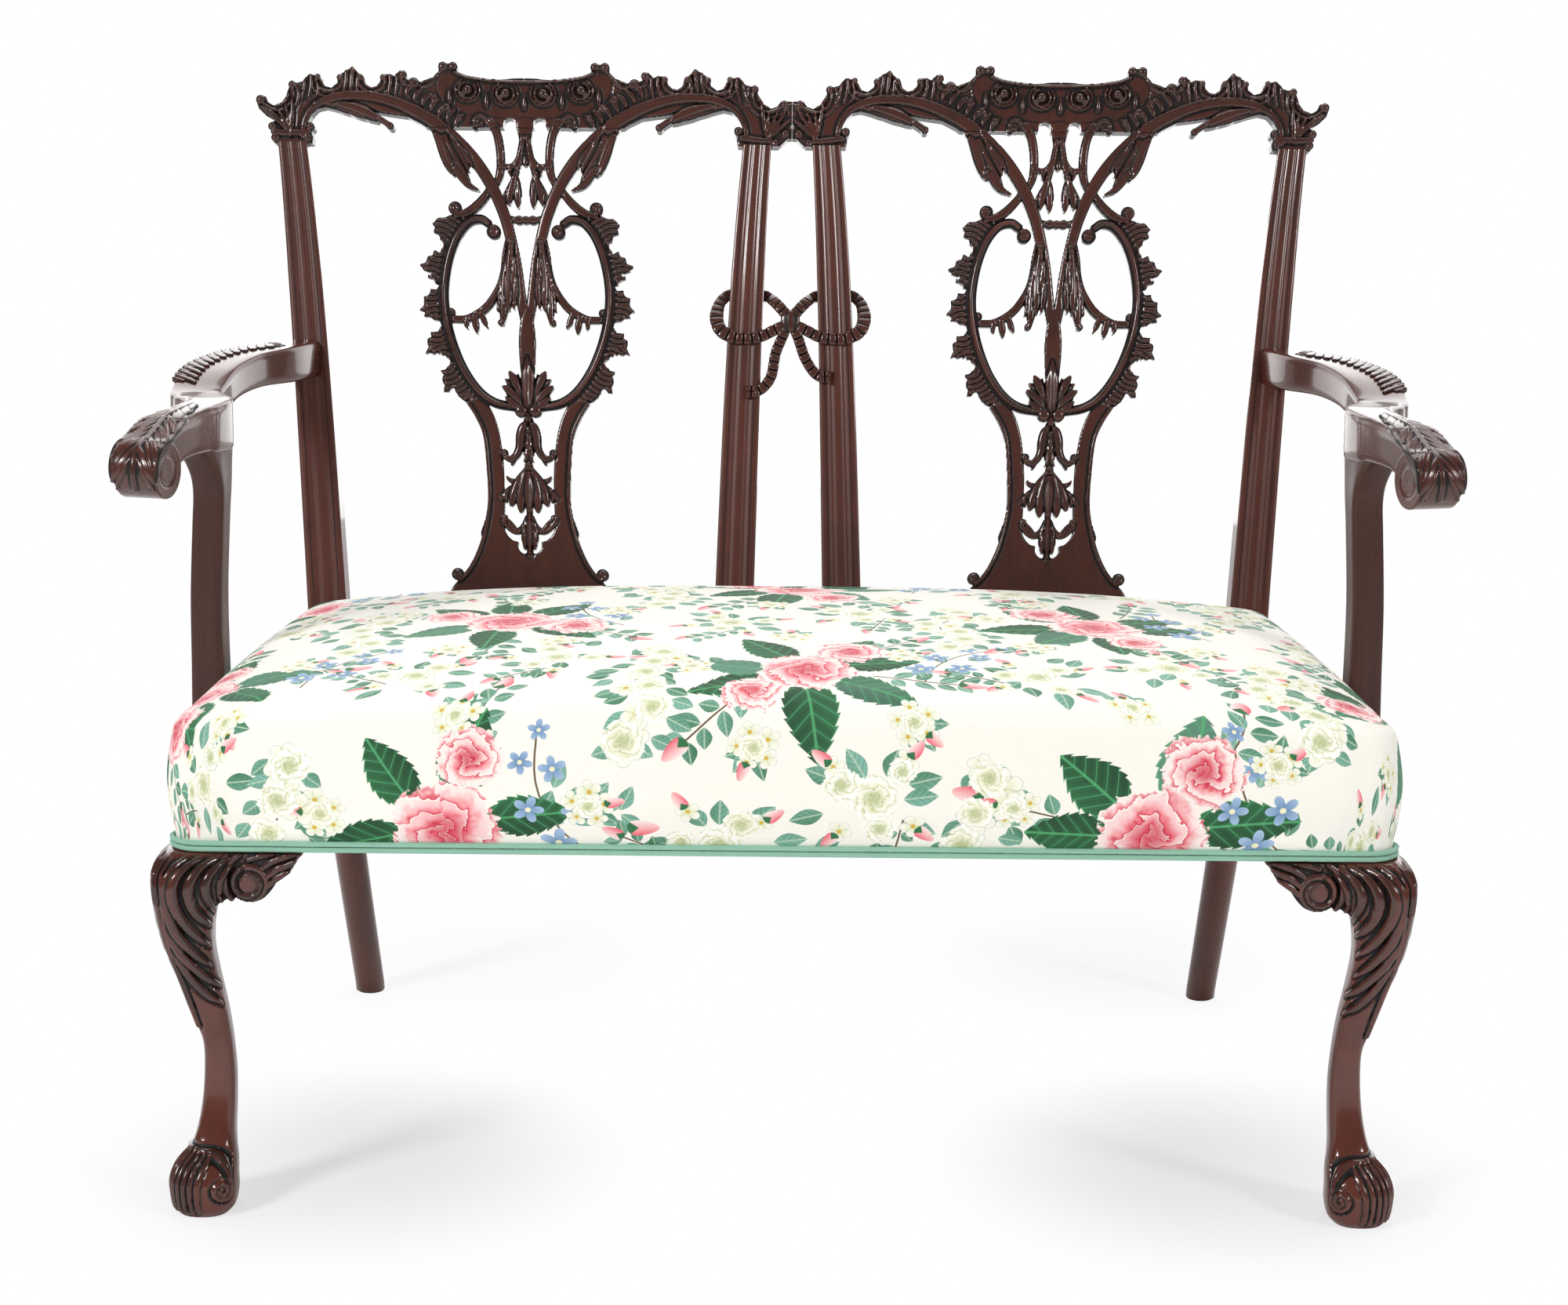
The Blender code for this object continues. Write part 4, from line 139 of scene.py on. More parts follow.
class Relief:
    """Carving on a flat grid, in millimetres: depth is how far a spot lies inside the wood's outline, and top how
    high the carved face stands there."""

    def __init__(self, low, high, step):
        self.step = step
        us = np.arange(low[0], high[0] + step / 2, step)
        vs = np.arange(low[1], high[1] + step / 2, step)
        self.u, self.v = np.meshgrid(us, vs, indexing="ij")
        self.depth = np.full(self.u.shape, FAR_OUTSIDE)
        self.top = np.zeros(self.u.shape)

    def copy(self):
        twin = Relief.__new__(Relief)
        twin.step, twin.u, twin.v = self.step, self.u, self.v
        twin.depth, twin.top = self.depth.copy(), self.top.copy()
        return twin

    def window(self, rows, margin):
        rows = np.asarray(rows, float)
        spans = []
        for axis, grid in ((0, self.u[:, 0]), (1, self.v[0])):
            low = int(np.searchsorted(grid, rows[:, axis].min() - margin))
            high = int(np.searchsorted(grid, rows[:, axis].max() + margin))
            spans.append(slice(low, max(high, low + 1)))
        return tuple(spans)

    def along(self, path, where):
        """For each spot: depth inside the line's width, way along it, signed way across it, and its half width."""
        u, v = self.u[where], self.v[where]
        depth, way = np.full(u.shape, -np.inf), np.zeros(u.shape)
        across, half = np.zeros(u.shape), np.ones(u.shape)
        gone = 0.0
        for a, b in zip(path, path[1:]):
            dx, dy = b[0] - a[0], b[1] - a[1]
            length = math.hypot(dx, dy)
            if length < 1e-6:
                continue
            t = np.clip(((u - a[0]) * dx + (v - a[1]) * dy) / length**2, 0, 1)
            ex, ey = u - a[0] - t * dx, v - a[1] - t * dy
            away = np.hypot(ex, ey)
            wide = a[2] + (b[2] - a[2]) * t
            better = wide - away > depth
            depth = np.where(better, wide - away, depth)
            way = np.where(better, gone + t * length, way)
            across = np.where(better, np.copysign(away, dx * ey - dy * ex), across)
            half = np.where(better, wide, half)
            gone += length
        return depth, way, across, half, gone

    def lay(self, where, depth, top, over=False):
        """Adds wood of that depth and height: above what is there, or instead of it."""
        inside = depth > 0
        self.depth[where] = np.maximum(self.depth[where], depth)
        old = self.top[where]
        kept = top if over else np.maximum(old, top)
        self.top[where] = np.where(inside, kept, old)

    def stroke(self, rows, level, crown, flat=False, over=False, smooth=6, vein=0, mass=True, ground=0):
        """A line of wood along rows (u, v, half width), rounded or flat. over lays it in place of what is there, mass
        lets it widen the outline, vein grooves its middle, and ground cuts a groove beside it."""
        path = smooth_path(rows, smooth)
        where = self.window(path, path[:, 2].max() + 2)
        depth, _, across, half, _ = self.along(path, where)
        r = np.clip(np.abs(across) / np.maximum(half, 0.05), 0, 1)
        top = level + crown * (1 - r**6 if flat else np.sqrt(1 - r * r))
        if vein:
            top = top - vein * np.exp(-((r / VEIN_WIDTH) ** 2))
        if ground:
            self.top[where] -= ground * np.exp(-((np.minimum(depth, 0) / GROUND_REACH) ** 2)) * (depth <= 0)
        if not mass:
            depth = np.minimum(depth, self.depth[where])
        self.lay(where, depth, top, over)

    def lines(self, rows, level, crown, hand=1, **settings):
        for line in rows:
            self.stroke([(hand * u, v, w) for u, v, w in line], level, crown, **settings)

    def acanthus(self, stem, lobes, level, crown, vein=0.8, ground=1.1):
        """A leaf of long lobes that sweep along a stem and turn out at their tips. Each lobe is (start, stop, side,
        half width, how far its tip turns out)."""
        path = smooth_path(stem, 6)
        gone = np.concatenate([[0], np.cumsum(np.hypot(*np.diff(path[:, :2], axis=0).T))])
        turn = np.gradient(path[:, :2], axis=0)
        turn /= np.maximum(np.linalg.norm(turn, axis=1), 1e-6)[:, None]
        for start, stop, side, wide, tip in lobes:
            rows = []
            for k in range(9):
                s = k / 8
                at = (start + (stop - start) * s) * gone[-1]
                u, v, half, du, dv = (np.interp(at, gone, c) for c in (*path.T, *turn.T))
                off = side * (half * (0.15 + 0.7 * s) + tip * max(0.0, s - 0.6) ** 2 * 6)
                swell = (0.5 + 0.5 * math.sin(math.pi * min(0.7, s * 0.8 + 0.08))) * min(1, (1 - s) * 3.4 + 0.36)
                rows.append((u - dv * off, v + du * off, 1.3 * wide * swell))
            self.stroke(rows, level, crown, over=True, vein=vein, ground=ground, smooth=3)

    def patch(self, points, level, crown, ribs=None, rib=1.0, notch=0.0, swell=4.0, over=False, smooth=0):
        """A closed patch of wood that swells from its edge. ribs(u, v) gives 1 on a ridge and 0 in a valley, where rib
        lowers the face and notch eats into the edge. A point on the middle line goes past it."""
        points = [(-5.0 if u == 0 else u, v) for u, v in points]
        if smooth:
            looped = [*points[-2:], *points, *points[:2]]
            path = smooth_path(looped, smooth)[2 * smooth : -smooth - 1]
        else:
            path = np.array(points, float)
        loop = np.vstack([path, path[:1]])
        rows = np.column_stack([loop, np.zeros(len(loop))])
        where = self.window(rows, 2)
        edge = -self.along(rows, where)[0]
        u, v = self.u[where], self.v[where]
        inside = np.zeros(u.shape, bool)
        for (ax, ay), (bx, by) in zip(loop, loop[1:]):
            if ay != by:
                inside ^= ((ay > v) != (by > v)) & (u < ax + (v - ay) * (bx - ax) / (by - ay))
        depth = np.where(inside, edge, -edge)
        top = level + crown * (1 - (1 - np.clip(depth / swell, 0, 1)) ** 2)
        if ribs:
            ridge = ribs(u, v)
            top = top - rib * (1 - ridge)
            depth = depth - notch * (1 - ridge)
        self.lay(where, depth, top, over)

    def boss(self, centre, radius, level, crown, over=False):
        self.stroke([(*centre, radius), (centre[0], centre[1] + 0.1, radius)], level, crown, over=over, smooth=1)

    def volute(self, centre, radius, start, hand, turns, level, crown, width=None):
        """A rolled scroll end: a disc, a raised line that winds in, and its eye."""
        width = width or radius * 0.27
        self.boss(centre, radius, level, 0.6)
        self.stroke(
            spiral(centre, radius - width, turns, start, hand, 0.12, width, width * 0.7),
            level + 0.4, crown, smooth=1, over=True,
        )
        self.boss(centre, radius * 0.2, level + 0.6, crown)

    def pierce(self, centre, radius):
        """A round hole through the wood."""
        where = self.window([centre], radius + 3)
        away = np.hypot(self.u[where] - centre[0], self.v[where] - centre[1])
        self.depth[where] = np.minimum(self.depth[where], away - radius)

    def ring_flutes(self, centre, radius, reach):
        """Flutes that run round a bite in the edge and fade out over a reach."""
        where = self.window([centre], radius + reach + 1)
        away = np.hypot(self.u[where] - centre[0], self.v[where] - centre[1]) - radius
        fade = np.clip(1 - away / reach, 0, 1) * (away > -2)
        self.top[where] += FLUTE_HEIGHT * (ridges(away / FLUTE_PITCH + 0.5) - 0.5) * 2 * np.sqrt(fade)

    def finished(self, rounding=1.3, soften=0.55):
        """Softens the tool marks, rounds the outline's edge, and says where the carving is hollow, which the polish
        shows as painted shade.
        """
        inside = self.depth > 0
        weight = blurred(inside.astype(float), soften)
        top = np.where(inside, blurred(np.where(inside, self.top, 0), soften) / np.maximum(weight, 0.05), self.top)
        near = np.clip(self.depth / rounding, 0, 1)
        top = top - rounding * (1 - np.sqrt(1 - (1 - near) ** 2))
        spread = HOLLOW_REACH / self.step
        weight = blurred(inside.astype(float), spread)
        mean = blurred(np.where(inside, top, 0), spread) / np.maximum(weight, 0.05)
        self.top = top
        self.hollow = np.clip((mean - top) * HOLLOW_GAIN, -1, 1)
        return self


def fan(origin, per_degree, phase=0.5):
    """Ribs that spread from a point, one for each so many degrees."""

    def ribs(u, v):
        turn = np.degrees(np.arctan2(u - origin[0], v - origin[1]))
        return ridges(turn / per_degree + phase)

    return ribs


def read_between(relief, field, u, v):
    """The field of a relief between its grid points, at any (u, v)."""
    low_u, low_v = relief.u[0, 0], relief.v[0, 0]
    a = np.clip((u - low_u) / (relief.u[1, 0] - low_u), 0, field.shape[0] - 1.001)
    b = np.clip((v - low_v) / (relief.v[0, 1] - low_v), 0, field.shape[1] - 1.001)
    i, j = a.astype(int), b.astype(int)
    fu, fv = a - i, b - j
    low = field[i, j] * (1 - fv) + field[i, j + 1] * fv
    high = field[i + 1, j] * (1 - fv) + field[i + 1, j + 1] * fv
    return low * (1 - fu) + high * fu


def mesh_piece(name, points, faces, look, hollow=None, sharp=SHARP):
    """An object from points and faces, smooth but for edges sharper than so many degrees."""
    mesh = bpy.data.meshes.new(name)
    mesh.from_pydata([tuple(p) for p in points], [], faces)
    mesh.materials.append(look)
    if hollow is not None:
        mesh.attributes.new("hollow", "FLOAT", "POINT").data.foreach_set("value", np.asarray(hollow, np.float32))
    mesh.update()
    mesh.shade_smooth()
    if sharp:
        mesh.set_sharp_from_angle(angle=math.radians(sharp))
    piece = bpy.data.objects.new(name, mesh)
    bpy.context.scene.collection.objects.link(piece)
    return piece


OUTSIDE_RIM, LEAST_SHARE = -0.4, 0.06


def board_faces(depth, us, vs):
    """Faces of the grid where depth is above zero, cut along its zero line: the points' two coordinates, the grid
    spots they take their height from, the faces, and the rim's edges."""
    depth = depth.copy()
    depth[[0, -1]] = depth[:, [0, -1]] = OUTSIDE_RIM
    inside = depth > 0
    number = np.full(depth.shape, -1)
    number[inside] = np.arange(inside.sum())
    spots_u, spots_v = list(us[inside]), list(vs[inside])
    sources = list(zip(*np.nonzero(inside)))
    cuts = {}

    def cut(a, b):
        """The point on the grid line from a, inside, to b, outside."""
        if (a, b) not in cuts:
            t = min(max(depth[a] / (depth[a] - depth[b]), LEAST_SHARE), 1 - LEAST_SHARE)
            cuts[a, b] = len(spots_u)
            spots_u.append(us[a] + (us[b] - us[a]) * t)
            spots_v.append(vs[a] + (vs[b] - vs[a]) * t)
            sources.append(a)
        return cuts[a, b]

    whole = inside[:-1, :-1] & inside[1:, :-1] & inside[1:, 1:] & inside[:-1, 1:]
    i, j = np.nonzero(whole)
    faces = np.stack([number[i, j], number[i + 1, j], number[i + 1, j + 1], number[i, j + 1]], 1).tolist()
    some = inside[:-1, :-1] | inside[1:, :-1] | inside[1:, 1:] | inside[:-1, 1:]
    rims = []
    for i, j in zip(*np.nonzero(some & ~whole)):
        corners = [(i, j), (i + 1, j), (i + 1, j + 1), (i, j + 1)]
        state = [bool(inside[c]) for c in corners]
        if state[0] == state[2] != state[1] == state[3]:
            for k in range(4):
                if state[k]:
                    a, b = cut(corners[k], corners[(k + 1) % 4]), cut(corners[k], corners[k - 1])
                    faces.append([number[corners[k]], a, b])
                    rims.append((a, b))
            continue
        ring = []
        for k in range(4):
            here, after = corners[k], corners[(k + 1) % 4]
            if state[k]:
                ring.append(number[here])
                if not state[(k + 1) % 4]:
                    leaves = cut(here, after)
                    ring.append(leaves)
            elif state[(k + 1) % 4]:
                enters = cut(after, here)
                ring.append(enters)
        rims.append((leaves, enters))
        faces.append(ring)
    return np.array(spots_u), np.array(spots_v), sources, faces, rims


def carved_board(name, relief, place, base, back, look, bevel):
    """A carved board: its front is the relief over base, and its back is flat. The rim stands square from 1 mm under
    base to bevel short of the back."""
    u, v, sources, faces, rims = board_faces(relief.depth, relief.u, relief.v)
    rows, columns = np.array(sources).T
    count, on_rim = len(u), np.unique(rims)
    place_of = {int(k): n for n, k in enumerate(on_rim)}
    size = len(on_rim)
    points = [place(u, v, base + relief.top[rows, columns])]
    for depth in (base - 1.0, back + bevel, back):
        points.append(place(u[on_rim], v[on_rim], np.full(size, float(depth))))
    first = [0, count, count + size, count + 2 * size]
    for a, b in rims:
        p, q = place_of[a], place_of[b]
        faces.append([b, a, first[1] + p, first[1] + q])
        for near, far in ((first[1], first[2]), (first[2], first[3])):
            faces.append([near + q, near + p, far + p, far + q])
    # painted shade: the carving's hollows, and the cut rim
    shade = np.concatenate([relief.hollow[rows, columns], np.full(3 * size, RIM_SHADE)])
    piece = mesh_piece(name, np.vstack(points), faces, look, shade)
    body = bmesh.new()
    body.from_mesh(piece.data)
    body.verts.ensure_lookup_table()
    pairs = [[body.verts[first[3] + place_of[k]] for k in rim] for rim in rims]
    edges = [edge for edge in map(body.edges.get, pairs) if edge]
    bmesh.ops.triangle_fill(body, use_beauty=True, use_dissolve=False, edges=edges)
    bmesh.ops.recalc_face_normals(body, faces=body.faces[:])
    body.to_mesh(piece.data)
    body.free()
    piece.data.shade_smooth()
    piece.data.set_sharp_from_angle(angle=math.radians(SHARP))
    return piece


# Looks


def tint(code):
    """The colour of a hex code, in the numbers that a shader works in."""
    parts = [int(code[k : k + 2], 16) / 255 for k in (0, 2, 4)]
    return tuple(c / 12.92 if c <= 0.04045 else ((c + 0.055) / 1.055) ** 2.4 for c in parts)


class Value:
    """A shader socket that takes part in arithmetic: a formula on it adds the Math nodes it needs."""

    def __init__(self, look, socket):
        self.look, self.socket = look, socket

    def _math(self, operation, *values, clamp=False):
        settings = {"operation": operation, "use_clamp": clamp}
        return self.look.node("ShaderNodeMath", settings, dict(enumerate(values)))

    def __add__(self, other):
        return self._math("ADD", self, other)

    def __radd__(self, other):
        return self._math("ADD", other, self)

    def __sub__(self, other):
        return self._math("SUBTRACT", self, other)

    def __rsub__(self, other):
        return self._math("SUBTRACT", other, self)

    def __mul__(self, other):
        return self._math("MULTIPLY", self, other)

    def __rmul__(self, other):
        return self._math("MULTIPLY", other, self)

    def __pow__(self, other):
        return self._math("POWER", self, other)

    def __neg__(self):
        return self._math("MULTIPLY", self, -1.0)

    def __abs__(self):
        return self._math("ABSOLUTE", self)

    def sine(self):
        return self._math("SINE", self)

    def fraction(self):
        return self._math("FRACT", self)

    def least(self, other):
        return self._math("MINIMUM", self, other)

    def most(self, other):
        return self._math("MAXIMUM", self, other)

    def clamped(self):
        return self._math("ADD", self, 0.0, clamp=True)

    def turn_of(self, across):
        """The angle of the point (across, this)."""
        return self._math("ARCTAN2", self, across)

    def length_with(self, other):
        return (self * self + other * other) ** 0.5

    def ramp(self, low, high):
        """0 below low, 1 above high and a soft step between."""
        settings = {"interpolation_type": "SMOOTHSTEP"}
        return self.look.node("ShaderNodeMapRange", settings, {"Value": self, "From Min": low, "From Max": high})

    def part(self, axis):
        return self.look.node("ShaderNodeSeparateXYZ", {}, {0: self}, axis)


class Look:
    """A material built from nodes round one Principled shader."""

    def __init__(self, name, **fixed):
        self.material = bpy.data.materials.new(name)
        self.material.use_nodes = True
        self.tree = self.material.node_tree
        self.shader = self.tree.nodes["Principled BSDF"]
        for socket, value in fixed.items():
            self.shader.inputs[socket.replace("_", " ")].default_value = value

    def node(self, kind, settings, values, output=0):
        """Adds a node: its settings first, then the values or links of its sockets."""
        node = self.tree.nodes.new(kind)
        for key, setting in settings.items():
            setattr(node, key, setting)
        for key, value in values.items():
            socket = node.inputs[key]
            if isinstance(value, Value):
                self.tree.links.new(value.socket, socket)
            elif isinstance(value, tuple) and len(value) == 3 and socket.type == "RGBA":
                socket.default_value = (*value, 1.0)
            else:
                socket.default_value = value
        return Value(self, node.outputs[output])

    def place(self, scale=(1.0, 1.0, 1.0)):
        """The piece's own coordinates, in metres, times a scale."""
        spot = self.node("ShaderNodeTexCoord", {}, {}, "Object")
        return self.node("ShaderNodeVectorMath", {"operation": "MULTIPLY"}, {0: spot, 1: scale})

    def noise(self, spot, scale=1.0, detail=2.0, rough=0.5, warp=0.0):
        values = {"Vector": spot, "Scale": scale, "Detail": detail, "Roughness": rough, "Distortion": warp}
        return self.node("ShaderNodeTexNoise", {}, values)

    def stored(self, name, output="Fac"):
        return self.node("ShaderNodeAttribute", {"attribute_name": name}, {}, output)

    def mix(self, share, first, second):
        settings = {"data_type": "RGBA", "blend_type": "MIX", "clamp_factor": True}
        return self.node("ShaderNodeMix", settings, {0: share, 6: first, 7: second}, 2)

    def set(self, socket, value):
        """Feeds a socket of the Principled shader."""
        self.tree.links.new(value.socket, self.shader.inputs[socket])

    def bump(self, height, distance, strength):
        values = {"Height": height, "Distance": distance, "Strength": strength}
        self.set("Normal", self.node("ShaderNodeBump", {}, values))


def polished_wood(name, deep, body, warm, grain, polish, warmth, wear, coat=0.55):
    """Old dark polish with painted shade: near black in the hollows, warmer on the flats and rubbed on the high ridges.
    """
    look = Look(name, Coat_Roughness=0.06, IOR=1.42)
    streak = look.noise(look.place(grain), 1.0, 3.0, 0.6, 0.6)
    pore = look.noise(look.place(tuple(g * 5 for g in grain)), 1.0, 2.0, 0.6)
    cloud = look.noise(look.place(), 11.0, 3.0, 0.55)
    hollow = look.stored("hollow")
    flat = 1.0 - abs(hollow).ramp(0.06, 0.45)
    red = (flat * warmth * (0.55 + cloud.ramp(0.2, 0.8) * 0.7) + (streak - 0.5) * 0.6).clamped()
    colour = look.mix(red, body, warm)
    # painted shade: the hollow attribute turns the colour towards deep, near black; cloud and pore add the wood's own
    # tone and grain
    dark = (cloud - 0.55) * 0.4 + hollow.ramp(0.02, 0.3) * 1.3 + pore.ramp(0.55, 0.8) * 0.3
    colour = look.mix(dark.clamped(), colour, deep)
    rubbed = ((-hollow - 0.2) * wear * 2.2 * cloud.ramp(0.35, 0.7)).clamped()
    colour = look.mix(rubbed * 0.55, colour, tuple(min(1.0, c * 2.6 + 0.012) for c in warm))
    look.set("Base Color", colour)
    dull = hollow.ramp(0.02, 0.35)
    look.set("Roughness", polish + cloud.ramp(0.2, 0.8) * 0.08 + dull * 0.35 + pore.ramp(0.5, 0.8) * 0.05)
    look.set("Coat Weight", (coat - dull * coat).clamped())
    look.bump(streak * 0.4 + pore, 0.00012, 0.7)
    return look.material


def raw_wood(name, pale, dark):
    """Unpolished frame timber, with its grain along x."""
    look = Look(name, IOR=1.45)
    streak = look.noise(look.place((8.0, 130.0, 130.0)), 1.0, 4.0, 0.6, 0.8)
    cloud = look.noise(look.place(), 7.0)
    look.set("Base Color", look.mix((streak * 0.9 + cloud * 0.5 - 0.2).clamped(), pale, dark))
    look.set("Roughness", 0.6 + streak * 0.2)
    look.bump(streak, 0.0003, 0.6)
    return look.material


def woven_cloth(name, light, shade, pitch, fuzz=0.25, height=0.0002):
    """Plain cloth: over-and-under threads of one pitch, in metres."""
    look = Look(name, Sheen_Weight=fuzz, Sheen_Roughness=0.5, IOR=1.4)
    turn = 2 * math.pi / pitch
    spot = look.place()
    weave = (spot.part(0) * turn).sine() * ((spot.part(1) + spot.part(2)) * turn).sine()
    cloud = look.noise(spot, 40.0, 3.0)
    look.set("Base Color", look.mix((weave * 0.3 + cloud * 0.8).clamped(), shade, light))
    look.set("Roughness", 0.82 + cloud * 0.12)
    look.bump(weave, height, 0.8)
    return look.material


def bright_steel(name):
    """Screw heads, a little clouded."""
    look = Look(name, Metallic=1.0)
    cloud = look.noise(look.place(), 300.0, 3.0)
    look.set("Base Color", look.mix(cloud, tint("8d8b86"), tint("5c5a55")))
    look.set("Roughness", 0.3 + cloud * 0.2)
    return look.material


# The chair backs: one carving map for the crest rail and splat, cut apart at their joint

BACK_STEP = 0.85
CREST_JOINT_UP, SPLAT_HEAD_UP, SPLAT_FOOT_UP = 480.0, 497.5, -9.7
SPLAT_HEAD_HALF = 112
JOINT_GAP = 0.15
PLATE_BASE, CREST_BACK, SPLAT_BACK = -5.0, -21.5, -14.6

# Lines (out, up, half width) and outlines (out, up) of half a chair back, in millimetres

ARCH_STRAP = (
    (223, 488, 3.0), (221, 503, 3.2), (212, 517, 3.5), (196, 525, 3.7), (176, 528, 4.0), (153, 527, 4.3),
    (129, 521, 4.8), (106, 511, 5.4), (84, 498, 6.0), (64, 480, 6.3), (47, 460, 6.2), (33, 437, 6.0),
    (22, 411, 5.8), (15, 385, 5.6), (9.5, 356, 5.4), (5, 322, 5.2), (0, 296, 5.2),
)
OVAL = (
    (38, 401.5, 3.6), (46, 406, 3.9), (58, 403, 4.2), (69, 390, 4.4), (77, 371, 4.4), (82, 348, 4.4),
    (83.5, 325, 4.4), (80.5, 300, 4.4), (74, 276, 4.4), (63.5, 252, 4.4), (49, 232, 4.3), (33, 221, 4.1),
    (13, 217, 3.8),
)
SHELL_BORDER = (
    (62, 404), (70, 412), (80, 408), (88, 407), (94.7, 401), (92, 397), (93.5, 391.6), (88, 390), (86.7, 384.5),
    (84, 379), (87, 372), (93.3, 375), (94, 370), (100, 367.4), (101, 362), (108, 359.3), (105, 356),
    (104, 353.9), (99, 352), (100, 346.4), (95, 345), (93.3, 341), (88.5, 339), (91, 335), (97.3, 335.1),
    (98, 330), (104, 327), (103.5, 320), (108.6, 313.6), (105, 312.5), (102.7, 310.9), (104, 306.9), (98, 307),
    (94.7, 304.2), (88, 303), (86.5, 298), (90, 292.5), (97.3, 292.1), (97, 287), (101.3, 284), (100, 277),
    (103.2, 269.2), (99, 271), (94.7, 269.2), (91, 271), (88, 267.4), (83, 268.5), (79, 262), (82, 255),
    (88, 253.1), (85, 248.5), (86.7, 243.7), (84, 238), (85.3, 231.6), (80, 231.6), (77, 236), (74.7, 235.6),
    (72, 230), (69.3, 226.2), (64, 222.2), (57.3, 219.5), (50, 224), (50, 232), (64, 252), (74, 276),
    (80, 300), (83, 327), (82, 348), (77, 371), (69, 389),
)
CREST_TOP = (
    (0, 545), (20, 545.5), (40, 547), (58, 550), (68, 554), (67, 559), (71, 563), (76, 561.5), (81, 563),
    (86, 560), (86, 554), (92, 548), (103, 543), (112, 543), (119, 546), (120, 552), (125, 554), (130, 549),
    (137, 551), (143, 549), (145, 542), (149, 538), (154, 537), (159, 540), (161, 547), (166, 551), (172, 558),
    (179, 554), (186, 549), (188, 541), (194, 536.5), (200, 538), (204, 545), (210, 549), (217, 550), (222, 543),
)
EAR = (
    (229, 541), (234, 542), (237, 536), (239, 528), (244, 521), (252, 518), (257, 521), (260, 527), (265, 528),
    (269.5, 523), (267, 515), (260, 508), (251, 503), (256, 500), (256, 494), (252, 489), (252, 480),
)
MEETING_TOP = ((228, 541), (233, 541), (235, 533), (241, 523), (248, 519), (254, 521), (258, 526), (266, 526),
    (276, 526))
MEETING_LOW = ((276, 489), (264, 489), (258, 483), (252, 479), (249, 482), (247, 479))
UNDER_ARCH = (
    (214, 479), (213, 487), (216, 493), (220, 500), (218, 508), (210, 515), (192, 519), (174, 518), (155, 514),
    (140, 511), (118, 508), (104, 501), (92, 492),
)
# The round bites between the shell border's lobes: centre and radius
BITES = ((88, 379.5, 4.7), (96.5, 340.6, 4.3), (92, 298.8, 4.5), (82.7, 261.2, 4.8), (97.3, 350.6, 1.7),
    (87.7, 269.1, 1.5))


def around_bites(u, v):
    """Flutes that run round the shell border's bites and meet between them."""
    return ridges(np.min([np.hypot(u - a, v - b) for a, b, _ in BITES[:4]], axis=0) / 5.2 - 0.45) ** 0.75


